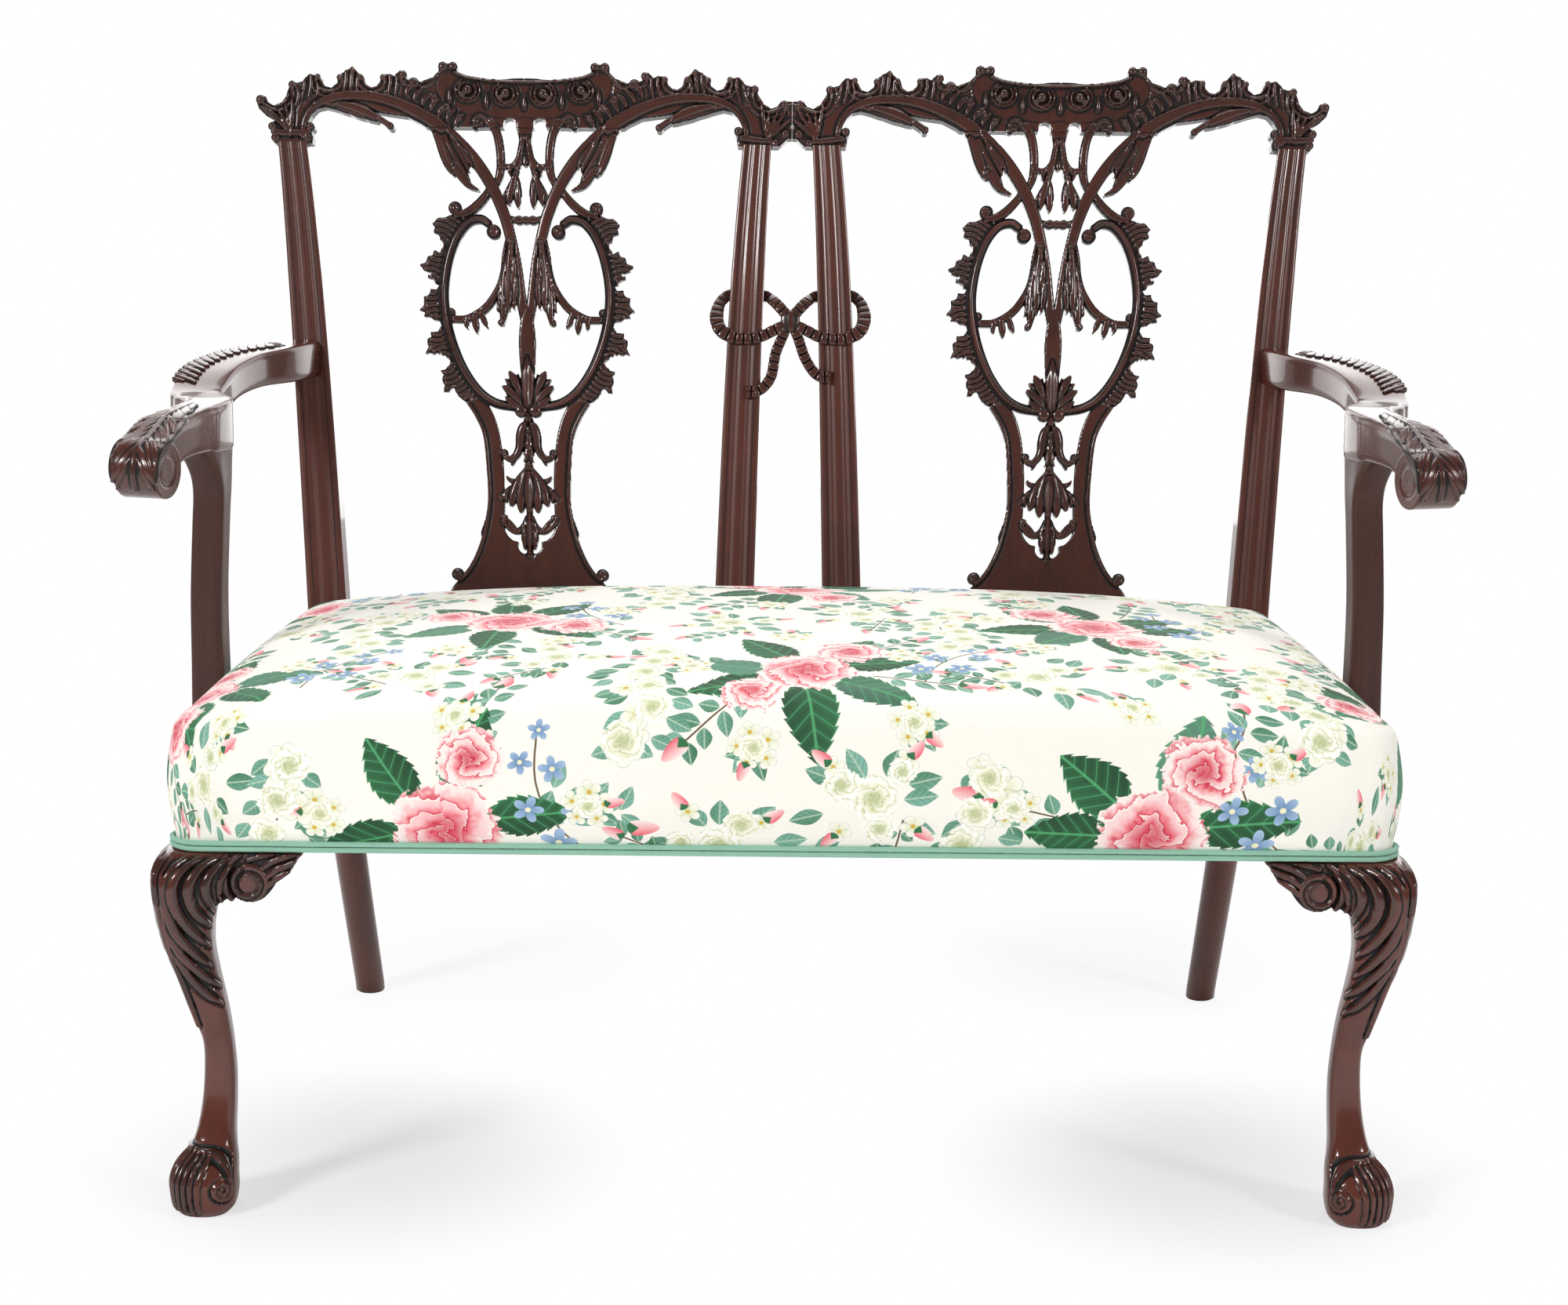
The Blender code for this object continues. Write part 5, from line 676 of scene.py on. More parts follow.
def carve_splat(map_):
    """Half of a splat, from the crest rail's edge down to the shoe."""
    map_.patch(SHELL_BORDER, 2.4, 2.4, around_bites, 2.6, 0.5, 3.0)
    for *centre, radius in BITES:
        map_.pierce(centre, radius)
    # the side straps of the lower half, and the solid foot with its scalloped opening
    map_.stroke(
        [(57, 229, 6.5), (45, 211, 8.4), (37, 188, 8.2), (33.6, 155, 8.5), (33, 126, 8.2), (35, 102, 9.6),
         (37, 90, 12)],
        3.0, 0.7, flat=True,
    )
    foot = [
        (0, 69.5), (5, 69.5), (9.5, 72), (12, 77), (11.8, 81.5), (17, 83), (22, 88), (25, 94), (26, 104), (44, 104),
        (47, 90), (52, 75), (59, 60), (68, 47), (79, 34), (82, 20), (82, -12), (0, -12),
    ]
    map_.patch(foot, 3.2, 0.5, smooth=4)
    edge = [
        (60, 221, 1.9), (50.6, 206, 2.0), (43.4, 187, 2.0), (40.4, 155, 2.0), (39.4, 126, 2.0), (42.2, 103, 2.0),
        (48.5, 78, 2.0), (56.5, 60, 2.1), (64, 49, 2.3), (70, 43.5, 2.5),
    ]
    map_.stroke(edge, 3.4, 2.2, ground=1.0)
    map_.volute((72.5, 48.5), 6.2, -90, 1, 1.4, 3.4, 2.4)
    # the open work between the lower straps: a husk, a hanging leaf and a small leaf, each tied to the straps
    map_.lines(
        (
            [(0, 122, 3.0), (0, 100, 3.0), (0, 68, 3.2)],
            [(3, 152, 2.4), (8, 143, 3.0), (15, 137, 3.4), (22, 132, 3.0), (28, 125, 2.2)],
            [(9, 143, 2.0), (15, 142, 2.8), (20, 144, 2.0), (22, 147, 0.8)],
            [(22, 132, 2.4), (23.5, 126, 2.4), (23, 121, 0.9)],
            [(2, 106, 2.8), (6, 97, 3.2), (12, 92, 3.4), (19, 94.5, 3.2), (26, 102, 2.6)],
            [(14, 94, 2.0), (18, 99, 2.2), (22, 104, 1.4)],
        ),
        2.6, 2.6, vein=0.8, ground=0.8,
    )
    map_.boss((24.5, 105.5), 3.2, 2.6, 2.4)
    map_.stroke([(0, 203, 5.0), (0, 190, 8.6), (0, 178, 7.4), (0, 168, 4.0), (0, 156, 2.0)], 2.4, 2.0)
    for v in (190, 182, 174, 167):
        map_.stroke([(0.6, v + 7, 1.2), (2.2, v, 1.9), (4.4, v - 5, 0.9)], 3.8, 2.0, over=True, ground=0.7)
    map_.stroke(
        [(2.5, 201, 2.4), (6.2, 196, 4.0), (8.2, 187, 4.6), (9.2, 177, 4.0), (12.4, 169, 3.6), (18, 164.5, 3.3),
         (24, 167, 2.6)],
        3.6, 3.4, over=True, ground=1.4,
    )
    map_.stroke([(12, 171, 1.6), (15, 164, 2.2), (17, 159, 1.2)], 3.0, 2.2)
    map_.volute((24.5, 170.5), 4.0, -90, 1, 1.1, 3.2, 2.2)
    map_.boss((0, 158), 4.2, 3.6, 3.4, over=True)
    hanging = [(1.5, 154, 2), (5, 142, 8), (7.5, 128, 11), (8.5, 112, 9)]
    map_.acanthus(hanging, ((0, 0.62, 1, 4.2, 2.5), (0, 0.86, 1, 4.4, 1.5), (0.1, 1.0, 0, 4.2, 0)), 3.4, 2.8)
    map_.stroke([(0, 150, 2.4), (0, 136, 4.8), (0, 121, 4.2), (0, 108, 2.0)], 4.4, 2.8, over=True, vein=-0.8,
        ground=1.2)
    low = [(1.2, 108, 2), (2, 98, 4), (2.6, 88, 5), (2, 74, 3)]
    map_.acanthus(low, ((0, 0.55, 1, 2.2, 1.0), (0.2, 0.8, 1, 2.3, 0.7), (0.4, 1.0, 1, 2.0, 0.4)), 3.2, 2.4)
    map_.stroke([(0, 108, 2.0), (0, 94, 3.0), (0, 82, 2.8), (0, 70, 2.0)], 4.0, 2.6, over=True, vein=-0.6, ground=1.0)
    # the branches inside the oval
    map_.stroke(
        [(17, 392, 2.6), (21, 371, 3.2), (23, 352, 3.6), (28, 336, 3.8), (39, 319, 4.0), (51, 309.5, 4.0),
         (63, 305, 3.6), (79, 305, 3.4)],
        3.0, 2.8, vein=0.7, ground=0.8,
    )
    map_.lines(
        (
            [(60, 306, 2.4), (61, 300, 2.6), (60, 295.5, 0.9)], [(53, 308, 2.6), (51.5, 299, 3.6), (50.5, 291, 1.0)],
            [(46, 311, 2.4), (43, 303, 3.0), (40, 296.5, 1.0)],
        ),
        3.2, 2.2, over=True, vein=0.6, ground=0.8,
    )
    map_.volute((76.5, 311.5), 4.6, -60, 1, 1.1, 3.0, 2.2)
    # the oval's moulding: a bead between two fillets
    map_.stroke([(u, v, w + 0.6) for u, v, w in OVAL], 3.2, 0.5, flat=True, over=True, ground=1.2)
    map_.stroke([(u, v, w - 1.5) for u, v, w in OVAL], 4.4, 3.2)
    map_.volute((32.5, 393), 7.2, 62, 1, 1.5, 3.6, 2.6)
    # scrolls that spring from the straps
    arm = [(33, 442, 3.6), (39, 431, 3.9), (49, 419.5, 4.4), (60, 411.5, 4.4), (70, 409.5, 3.0)]
    map_.stroke(arm, 3.2, 2.8, ground=0.8)
    map_.stroke([(u - 0.6, v - 1.8, 1.1) for u, v, w in arm], 4.6, 1.5)
    map_.volute((71, 416.5), 6.8, -100, 1, 1.5, 3.4, 2.6)
    # loops and legs under the tablet
    map_.stroke(
        [(50, 499, 3.8), (43, 505, 4.2), (35, 503, 4.3), (28.5, 493, 4.4), (25.3, 478, 4.4), (24.5, 462, 4.3),
         (26, 450, 4.0), (30, 440, 3.2)],
        3.4, 2.6, vein=0.7,
    )
    map_.stroke([(0, 500, 9.0), (0, 490, 6.6), (0, 476, 4.8), (0, 462, 3.0)], 3.0, 1.4, flat=True)
    map_.lines(
        (
            [(2.5, 488, 2.8), (5, 471, 3.4), (9, 455, 3.5), (12, 443, 3.2)],
            [(3, 480, 2.0), (7.5, 466, 2.6), (14, 459, 2.8), (25, 460, 2.4)],
            [(12, 446, 2.2), (17.5, 434, 3.2), (22, 423, 3.2), (25, 414, 2.6)],
            [(14, 460, 1.8), (15.5, 454, 2.2), (14, 448.5, 0.8)],
        ),
        3.6, 2.6, vein=0.6, ground=0.8,
    )
    tuft = [(11, 452, 2), (11, 442, 5), (12, 430, 6), (12, 418, 4)]
    map_.acanthus(tuft, ((0, 0.66, -1, 3.0, 2), (0, 1.0, -1, 3.2, 1), (0.1, 0.92, 1, 3.0, 1)), 3.4, 2.4)
    # the turned link between the straps
    map_.stroke([(0, 405, 4.2), (3.5, 405, 2.4), (7, 405, 4.4), (10, 405, 2.4), (14, 405.5, 3.6), (19, 406, 3.0)],
        2.8, 3.2)
    # the strap, with its hanging leaves, and the trunk
    map_.stroke(ARCH_STRAP, 4.4, 1.7, over=True, ground=1.3)
    map_.stroke([(0, 318, 1.5), (0, 306, 6.0), (0, 288, 8.4), (0, 268, 8.2), (0, 240, 6.0)], 4.6, 1.3, over=True)
    map_.stroke([(u + 0.62 * w, v + 0.55 * w, 0.9) for u, v, w in ARCH_STRAP[6:12]], 5.4, 1.0, mass=False)
    fall = [(95, 500, 3), (85, 485, 8), (76, 468, 11), (67, 452, 10), (58, 441, 5)]
    map_.acanthus(
        fall,
        ((0, 0.40, -1, 3.4, 1.5), (0.02, 0.60, -1, 4.0, 1.5), (0.06, 0.80, -0.85, 4.4, 1.0),
         (0.16, 1.0, -0.4, 4.8, 0),
         (0.16, 0.78, 0.55, 4.2, 0.4)),
        4.0, 3.2,
    )
    map_.stroke([(70, 456, 3.6), (63, 446, 3.8), (56, 439, 3.0), (47, 434.5, 1.0)], 4.4, 2.6, over=True, vein=0.7,
        ground=1.0)
    map_.lines(
        (
            [(74, 488, 1.8), (66, 476, 3.4), (60, 464, 3.4), (57, 454, 1.2)],
            [(66, 480, 1.4), (58, 468, 2.6), (53, 458, 1.0)],
        ),
        5.0, 2.4, over=True, vein=0.6, ground=1.0,
    )
    drop = [(15, 382, 1.5), (17, 360, 4), (19, 338, 6), (21, 318, 7), (23, 300, 5)]
    map_.acanthus(drop, ((0, 0.84, 1, 3.6, 1.8), (0.05, 1.0, 0.35, 4.2, 0), (0.1, 0.82, -0.5, 3.6, 0.5)), 4.4, 3.0)
    map_.boss((26, 301.5), 3.4, 4.2, 2.4)
    map_.lines(
        ([(12, 366, 1.4), (12.5, 350, 3.0), (14, 336, 1.4)], [(10.5, 346, 1.4), (11.5, 330, 3.0), (13, 316, 1.2)]),
        5.2, 2.2, over=True, vein=0.6, ground=1.0,
    )
    # the shell leaf at the oval's foot: cheeks, scalloped wings and a spear
    wing = [
        (4, 212), (9, 210), (15, 216), (20, 224), (22.5, 231), (25, 236), (21, 239), (23.5, 245), (18, 246),
        (18, 251), (12, 249), (9, 252), (6, 244), (3, 230),
    ]
    map_.patch(wing, 4.0, 1.6, fan((0, 210), 15, 0.2), 2.4, 1.0, 3.0, over=True)
    map_.lines(
        ([(4, 220, 2.2), (9, 234, 4.2), (14, 245, 4.2), (17.5, 251, 2.0)],
         [(5, 216, 2.0), (13, 227, 3.8), (20, 234, 3.6), (24.5, 237, 1.6)],
         [(5, 213, 2.0), (12, 218, 3.4), (18, 223, 3.2), (21.5, 226, 1.6)]),
        4.4, 2.4, over=True, vein=0.7, ground=1.2,
    )
    map_.stroke(
        [(0, 204, 2.4), (0, 220, 4.4), (0, 236, 6.4), (0, 248, 6.8), (0, 258, 3.6), (0, 269, 0.6)],
        5.4, 2.6, over=True, vein=-1.0, ground=1.8,
    )
    map_.boss((7.0, 213), 6.6, 4.2, 3.4, over=True)


def carve_crest_middle(map_):
    """What both ends of a crest rail share: the tablet, the bites and lobes, and the leaf under the arch."""
    for centre, radius, reach in (((103, 553), 9.5, 10), ((153, 546), 8.5, 16), ((196, 546.5), 8.5, 16),
            ((112, 552), 8.5, 9)):
        map_.ring_flutes(centre, radius, reach)
    for centre, radius, level in (
        ((71.5, 558.5), 4.6, 3.6), ((81.5, 558.6), 4.6, 3.6), ((122, 550), 4.2, 3.6), ((141.5, 547), 3.2, 4.2),
        ((164.5, 547), 3.2, 4.2), ((185, 546.5), 3.2, 4.2), ((207.5, 547), 3.2, 4.2), ((172, 553), 2.8, 4.4),
    ):
        map_.boss(centre, radius, level, 3.0)
    map_.lines(
        (
            [(172.5, 560, 1.4), (173, 547, 2.6), (175, 532, 1.4)],
            [(166.5, 555, 1.2), (167.5, 543, 2.2), (168, 532, 1.2)],
            [(179, 555, 1.2), (179, 543, 2.2), (182, 532, 1.2)], [(214, 550, 1.4), (214, 539, 2.4), (217, 525, 1.4)],
            [(220, 546, 1.2), (221.5, 536, 2.2), (224, 522, 1.3)],
            [(208.5, 543, 1.2), (207, 535, 2.0), (209, 527, 1.2)],
            [(135, 551, 1.4), (134.5, 541, 2.4), (137, 529, 1.3)],
            [(128, 550, 1.2), (128, 539, 2.2), (130, 528, 1.2)],
        ),
        4.2, 2.0, mass=False, vein=0.3, ground=0.5,
    )
    # the tablet: a hollow field with bosses in cupped scrolls between fluted leaves
    tablet = [(0, 545), (30, 545.8), (58, 549.5), (72, 556), (84, 552), (90, 540), (84, 524), (72, 512), (50, 508),
        (0, 509)]
    map_.patch(tablet, 3.0, 0.5, over=True, smooth=4)
    map_.stroke([(0, 543.4, 1.5), (30, 544.2, 1.5), (57, 547.6, 1.5), (70, 553, 1.3)], 4.0, 1.8, mass=False,
        ground=0.8)
    for u, v, radius in ((19, 531.5, 6.0), (57, 535, 5.8)):
        for reach, wide, start, stop in ((6.6, 1.5, -215, 60), (2.8, 1.7, -220, 70)):
            turns = np.radians(np.linspace(start, stop, 14))
            across, up = radius + reach, radius + reach * 0.86
            ring = [(u + across * math.cos(a), v + up * math.sin(a), wide) for a in turns]
            map_.stroke(ring, 3.8, 2.2, mass=False, smooth=2, ground=0.7)
        map_.boss((u, v), radius * 0.86, 4.2, 4.6)
        map_.boss((u + 4.0, v - 3.2), 2.8, 5.0, 2.8)
    for u, v in ((0, 521), (38, 523), (75, 527)):
        map_.stroke([(u, v + 9, 1.2), (u, v, 3.0), (u, v - 5, 1.6)], 3.8, 2.6, mass=False, ground=0.6)
    # the chain of scrolls and flutes between the tablet and the arch
    for k in range(7):
        u, v = 119 - 8.2 * k, 530 - 5.2 * k
        map_.stroke([(u, v, 1.6), (u - 2.5, v + 6, 3.0), (u - 8, v + 11, 1.8)], 4.2, 2.2, mass=False, over=True,
            vein=0.3, ground=0.6)
    for centre, radius in (((111, 541), 6.0), ((91, 526), 4.6), ((79, 516.5), 5.6), ((66, 507), 4.4)):
        map_.volute(centre, radius, 200, -1, 1.2, 4.6, 2.8)
    map_.boss((45, 503), 4.4, 2.6, 1.0)
    map_.stroke(spiral((45.5, 502.5), 7.6, 0.9, 150, -1, 0.4, 2.2, 1.6), 4.2, 2.4, smooth=1, ground=1.0)
    # the leaf that hangs under the arch
    under = [(208, 521, 1), (192, 521, 4), (174, 517.5, 6), (158, 511.5, 6), (143, 504, 4)]
    map_.acanthus(
        under,
        ((0, 0.52, 1, 3.0, 1.0), (0.08, 0.74, 0.9, 3.4, 1.0), (0.16, 0.92, 0.6, 3.6, 0.6), (0.1, 0.88, -0.5, 3.2, 0),
         (0.3, 1.0, 0, 3.4, 0)),
        3.8, 2.8,
    )
    map_.stroke([(146, 506, 2.8), (140, 502, 2.8), (135.4, 498.6, 3.0)], 4.0, 2.4, over=True)
    map_.boss((135.2, 498.4), 3.6, 3.8, 2.6)
    map_.stroke(ARCH_STRAP[:9], 4.4, 1.9, over=True, ground=1.0)
    map_.stroke([(u - 0.2 * w, v + 0.95 * w + 0.8, 1.0) for u, v, w in ARCH_STRAP[2:9]], 4.8, 1.5, mass=False,
        ground=0.6)


def carve_crest_end(map_, bite, bosses, ends, base, sill):
    """One end of a crest rail: flutes round its bite and rays that spread from the stile's head."""
    map_.ring_flutes(bite, 11.2, 16)
    for end in ends:
        middle = ((base[0] + end[0]) / 2, (base[1] + end[1]) / 2 + 1)
        map_.stroke([(*base, 1.2), (*middle, 2.6), (*end, 1.2)], 4.4, 2.4, mass=False, vein=0.5, ground=0.9)
    for centre, radius in bosses:
        map_.boss(centre, radius, 3.8, 3.2)
    map_.stroke(sill, 3.8, 2.6, ground=0.8)


def carve_crest_outer(map_):
    """The ear at the outer end of a crest rail, and the cap over the outer stile."""
    small = (253.5, 497), (250.5, 485.5), (215.5, 497), (218, 486)
    bosses = [((265, 523.6), 4.6), ((233, 539), 3.8), *((spot, 4.2) for spot in small)]
    ends = ((264, 517), (256, 513), (247, 513), (240, 519), (233, 526))
    carve_crest_end(map_, (249, 530), bosses, ends, (234, 489),
        [(217, 492, 3.2), (234, 490.5, 3.6), (252, 491.5, 3.2)])


def carve_crest_inner(map_):
    """The end of a crest rail that meets the other one over the settee's middle."""
    bosses = [((232, 538), 3.8), ((261.5, 522.5), 4.2), ((251.5, 483.5), 4.4), ((215, 495.5), 4.4), ((262, 493), 4.4)]
    ends = ((238, 527), (246, 515), (254, 514), (262, 514), (268, 508))
    carve_crest_end(map_, (246.5, 532), bosses, ends, (243, 486), [(218, 489, 3.0), (233, 487, 3.2), (247, 486, 2.8)])


def chair_back_maps():
    """The carved crest rail and splat of one chair back, out to both sides of its centre line."""
    half = Relief((0.0, -12.0), (278.0, 570.0), BACK_STEP)
    carve_splat(half)
    halves = []
    for end, low, carve_end in (
        (EAR, ((252, 479),), carve_crest_outer), (MEETING_TOP, MEETING_LOW, carve_crest_inner),
    ):
        side = half.copy()
        outline = [*CREST_TOP, *end, *low, *UNDER_ARCH, (80, 486), (0, 486)]
        side.patch(outline, 3.0, 1.0, swell=3.0)
        under = side.u < SPLAT_HEAD_HALF
        side.depth = np.where((side.v < SPLAT_HEAD_UP) & under, half.depth, side.depth)
        side.top = np.where((side.v < SPLAT_HEAD_UP - 6) & under, half.top, side.top)
        carve_crest_middle(side)
        carve_end(side)
        for opening in ((15.0, 501.0), (15.3, 497.0), (15.6, 493.0)):
            side.pierce(opening, 6.4)
        halves.append(side)
    outer, inner = halves
    whole = outer.copy()
    whole.u = np.vstack([-inner.u[:0:-1], outer.u])
    for key in ("v", "depth", "top"):
        setattr(whole, key, np.vstack([getattr(inner, key)[:0:-1], getattr(outer, key)]))
    meeting = (CHAIR_CENTRE * 1000 + CHAIR_LEAN * whole.v - JOINT_GAP) + whole.u
    whole.depth = np.minimum(whole.depth, meeting)
    whole.finished()
    crest, splat = whole.copy(), whole.copy()
    crest.hollow = splat.hollow = whole.hollow
    middle = SPLAT_HEAD_HALF - np.abs(whole.u)
    crest.depth = np.minimum(whole.depth, np.maximum(whole.v - SPLAT_HEAD_UP - JOINT_GAP, -middle))
    crest.depth = np.minimum(crest.depth, whole.v - CREST_JOINT_UP - 2 * JOINT_GAP)
    splat.depth = np.minimum(whole.depth, np.minimum(SPLAT_HEAD_UP - JOINT_GAP - whole.v, middle))
    splat.depth = np.minimum(splat.depth, whole.v - SPLAT_FOOT_UP)
    return crest, splat


# Turned, shaped and carved lengths of wood


def table_at(rows, spot):
    """A row of a table, between its rows, smooth from one to the next; the first column is the place."""
    rows = np.asarray(rows, float)
    path = smooth_path(rows, 16)
    return np.stack([np.interp(spot, path[:, 0], path[:, k]) for k in range(1, rows.shape[1])], axis=-1)


def unit(vectors):
    """Vectors brought to length 1."""
    return vectors / np.maximum(np.linalg.norm(vectors, axis=-1, keepdims=True), 1e-9)


def skin_normals(rings):
    """Outward directions of a skin of rings, where the rings run anticlockwise seen from their end."""
    along = np.gradient(rings, axis=0)
    around = np.roll(rings, -1, axis=1) - np.roll(rings, 1, axis=1)
    return unit(np.cross(around, along))


def around_from(rings):
    """Signed distance round each ring from its first column, in millimetres."""
    steps = np.linalg.norm(np.roll(rings, -1, axis=1) - rings, axis=2)
    gone = np.cumsum(steps, axis=1) - steps
    whole = steps.sum(axis=1, keepdims=True)
    return np.where(gone > whole / 2, gone - whole, gone) / MM


def skin_faces(count, sides):
    """Faces between rings, and one at each end."""
    faces = []
    for a in range(0, (count - 1) * sides, sides):
        b = a + sides
        faces += [(a + i, a + (i + 1) % sides, b + (i + 1) % sides, b + i) for i in range(sides)]
    return [*faces, tuple(range(sides))[::-1], tuple(range((count - 1) * sides, count * sides))]


def squared(width, depth, power, sides, start=0.0):
    """A rounded-square section as (across, up) pairs, from the angle start in degrees."""
    turns = np.radians(start) + np.linspace(0, 2 * np.pi, sides, endpoint=False)
    c, s = np.cos(turns), np.sin(turns)
    reach = (np.abs(c) ** power + np.abs(s) ** power) ** (-1 / power)
    return np.stack([c * reach * width / 2, s * reach * depth / 2], axis=-1)


def level_ring(x, y, section, z):
    """A section's points round (x, y), all at one height."""
    return np.stack([x + section[:, 0], y + section[:, 1], np.full(len(section), z)], axis=-1)


def circle(count):
    """Cosines and sines of so many even turns."""
    turns = np.linspace(0, 2 * np.pi, count, endpoint=False)
    return np.cos(turns), np.sin(turns)


def way_along(points):
    """How far each point of a line lies from its start."""
    return np.concatenate([[0], np.cumsum(np.linalg.norm(np.diff(points, axis=0), axis=1))])


def frames_along(points):
    """For each point of a line: the level direction across it, and the one above both."""
    ahead = unit(np.gradient(points, axis=0))
    across = unit(np.stack([-ahead[:, 1], ahead[:, 0], np.zeros(len(points))], axis=-1))
    return across, unit(np.cross(ahead, across))


def mirrored(points, side):
    """Points drawn for the right-hand side, moved to the side -1 or 1."""
    out = np.array(points, float)
    out[..., 0] *= side
    return out


def shaped_skin(name, rings, side, look, hollow=None):
    """A skin over rings that are drawn for the right-hand side."""
    rings = np.array(rings)
    faces = skin_faces(*rings.shape[:2])
    if side < 0:
        faces = [face[::-1] for face in faces]
    shade = None if hollow is None else np.array(hollow).reshape(-1)
    return mesh_piece(name, mirrored(rings, side).reshape(-1, 3), faces, look, shade, 60)


def joined(name, pieces):
    """One object made of several."""
    points, faces, shade = [], [], []
    look = pieces[0].data.materials[0]
    for piece in pieces:
        mesh, start = piece.data, len(points)
        points += [tuple(v.co) for v in mesh.vertices]
        faces += [tuple(start + k for k in p.vertices) for p in mesh.polygons]
        carved = mesh.attributes.get("hollow")
        shade += [item.value for item in carved.data] if carved else [0.0] * len(mesh.vertices)
        bpy.data.objects.remove(piece)
    return mesh_piece(name, points, faces, look, shade)


# Stiles and rear legs

CREST_JOINT = 0.480
FOOT_OFFSET, HEAD_OFFSET = 0.203, 0.2335
STILE_SIDES, REED_DEPTH = 120, 0.0013
RAIL_TOP, RAIL_BOTTOM = 0.392, 0.322


def stile_centre(up):
    """How far a stile's middle lies from its chair's centre line."""
    t = np.clip(up, 0, None) / CREST_JOINT
    return FOOT_OFFSET + (HEAD_OFFSET - FOOT_OFFSET) * (0.8 * t + 0.2 * t**4)


def reeds(share):
    """Height of the moulded face across a stile (share from -1 to 1): two hollows between three soft ridges."""
    away = np.abs(share)
    hollow = np.exp(-(((away - 0.36) / 0.175) ** 2) * 1.4)
    edge = np.clip((away - 0.80) / 0.20, 0, 1) ** 2
    return 1 - 0.95 * hollow - 0.75 * edge


def reeded_ring(width, depth, relief):
    """Section of a stile as (across, back) pairs in metres, and its painted shade; its first half is the reeded face.
    """
    half = STILE_SIDES // 2
    share = np.linspace(-1, 1, half)
    face = np.stack([share * width / 2, REED_DEPTH * relief * (1 - reeds(share))], axis=-1)
    way = np.linspace(0, 1, half + 2)[1:-1] * (2 * depth + width)
    ease = 0.004
    x = np.where(way < depth, width / 2, np.where(way < depth + width, width / 2 - (way - depth), -width / 2))
    y = np.where(way < depth, way, np.where(way < depth + width, depth, 2 * depth + width - way))
    corner = np.clip(1 - np.minimum(np.abs(way - depth), np.abs(way - depth - width)) / ease, 0, 1)
    x = x * (1 - 0.08 * corner)
    y = y - 0.0012 * corner * (y > depth - ease)
    # painted shade: a dark line on each side of the reeded face, slightly below zero elsewhere
    dark = np.exp(-(((np.abs(share) - 0.66) / 0.05) ** 2)) * 0.35 - 0.1
    return np.vstack([face, np.stack([x, y], axis=-1)]), np.concatenate([dark, np.zeros(half)])


def stile_rings(direction, ups, depth_of, relief_of):
    """Rings up a stile, and their painted shade; direction is 1 for the outer one and -1 for the inner one."""
    rings, shade = [], []
    for up in ups:
        width = np.interp(up, (0, 0.2, 0.35, CREST_JOINT), (0.039, 0.0365, 0.0335, 0.0285))
        section, dark = reeded_ring(width, depth_of(up), relief_of(up))
        out = direction * float(stile_centre(up)) + section[:, 0]
        rings.append(back_place(1, out / MM, up / MM, -section[:, 1] / MM))
        shade.append(dark * relief_of(up))
    return rings, shade


KNEE_BACK, REAR_LEG_DEPTH = 0.006, 0.036
REAR_LEG_ROWS = (
    # height, inward and rearward from the stile's foot, width, squareness
    (0.0, 0.0200, 0.1075, 0.0300, 2.0),
    (0.161, 0.0090, 0.0625, 0.0326, 2.0),
    (0.2825, 0.0018, 0.0325, 0.0356, 2.6),
    (0.322, 0.0, 0.0240, 0.0370, 9.0),
)


def outer_stile(side_name, look):
    """A rear leg and the reeded stile above it, in one length of wood."""
    side = SIDES[side_name]
    knee_x = CHAIR_CENTRE + FOOT_OFFSET
    front_y = BACK_Y + (RAIL_TOP - BACK_Z) * math.tan(BACK_TILT)
    rings = []
    for z in np.linspace(0.0, RAIL_BOTTOM, 60):
        inward, rearward, width, power = table_at(REAR_LEG_ROWS, z)
        section = squared(width, min(width, REAR_LEG_DEPTH), power, STILE_SIDES, 180)
        rings.append(level_ring(knee_x - inward, front_y + rearward, section, z))
    # the foot's worn edge
    rings[0][:, :2] += (rings[0][:, :2].mean(axis=0) - rings[0][:, :2]) * 0.10
    rings[1][:, 2] = 0.002
    # beside the rear rail, then up the back, where the reeds begin
    for z in (0.352, 0.378):
        share = (RAIL_TOP - z) / (RAIL_TOP - RAIL_BOTTOM)
        section, _ = reeded_ring(0.037, REAR_LEG_DEPTH, 0.0)
        rings.append(level_ring(knee_x, front_y + KNEE_BACK * share**2, section, z))
    plain = np.zeros((len(rings), STILE_SIDES))
    more, dark = stile_rings(
        1, np.linspace(-0.010, CREST_JOINT + 0.002, 130),
        lambda up: REAR_LEG_DEPTH - 0.008 * max(up, 0) / CREST_JOINT, lambda up: min(1.0, max(0.0, up + 0.01) / 0.05),
    )
    return shaped_skin("rear_leg_and_stile_" + side_name, rings + more, side, look, np.vstack([plain, dark]))


def inner_stile(side_name, look):
    """A reeded stile where the two chair backs meet."""
    side = SIDES[side_name]
    foot = (RAIL_TOP + 0.0006 - BACK_Z) / math.cos(BACK_TILT)
    ups = np.linspace(foot, CREST_JOINT + 0.002, 130)
    rings, shade = stile_rings(-1, ups, lambda up: 0.030, lambda up: 1.0)
    # the foot stands level on the rear rail
    rings[0][:, 2] = RAIL_TOP + 0.0004
    rings[1][:, 2] = np.maximum(rings[1][:, 2], RAIL_TOP + 0.003)
    return shaped_skin("inner_stile_" + side_name, rings, side, look, shade)


# Front legs

LEG_TOP = 0.3212
LEG_X, LEG_Y = 0.487, -0.2749
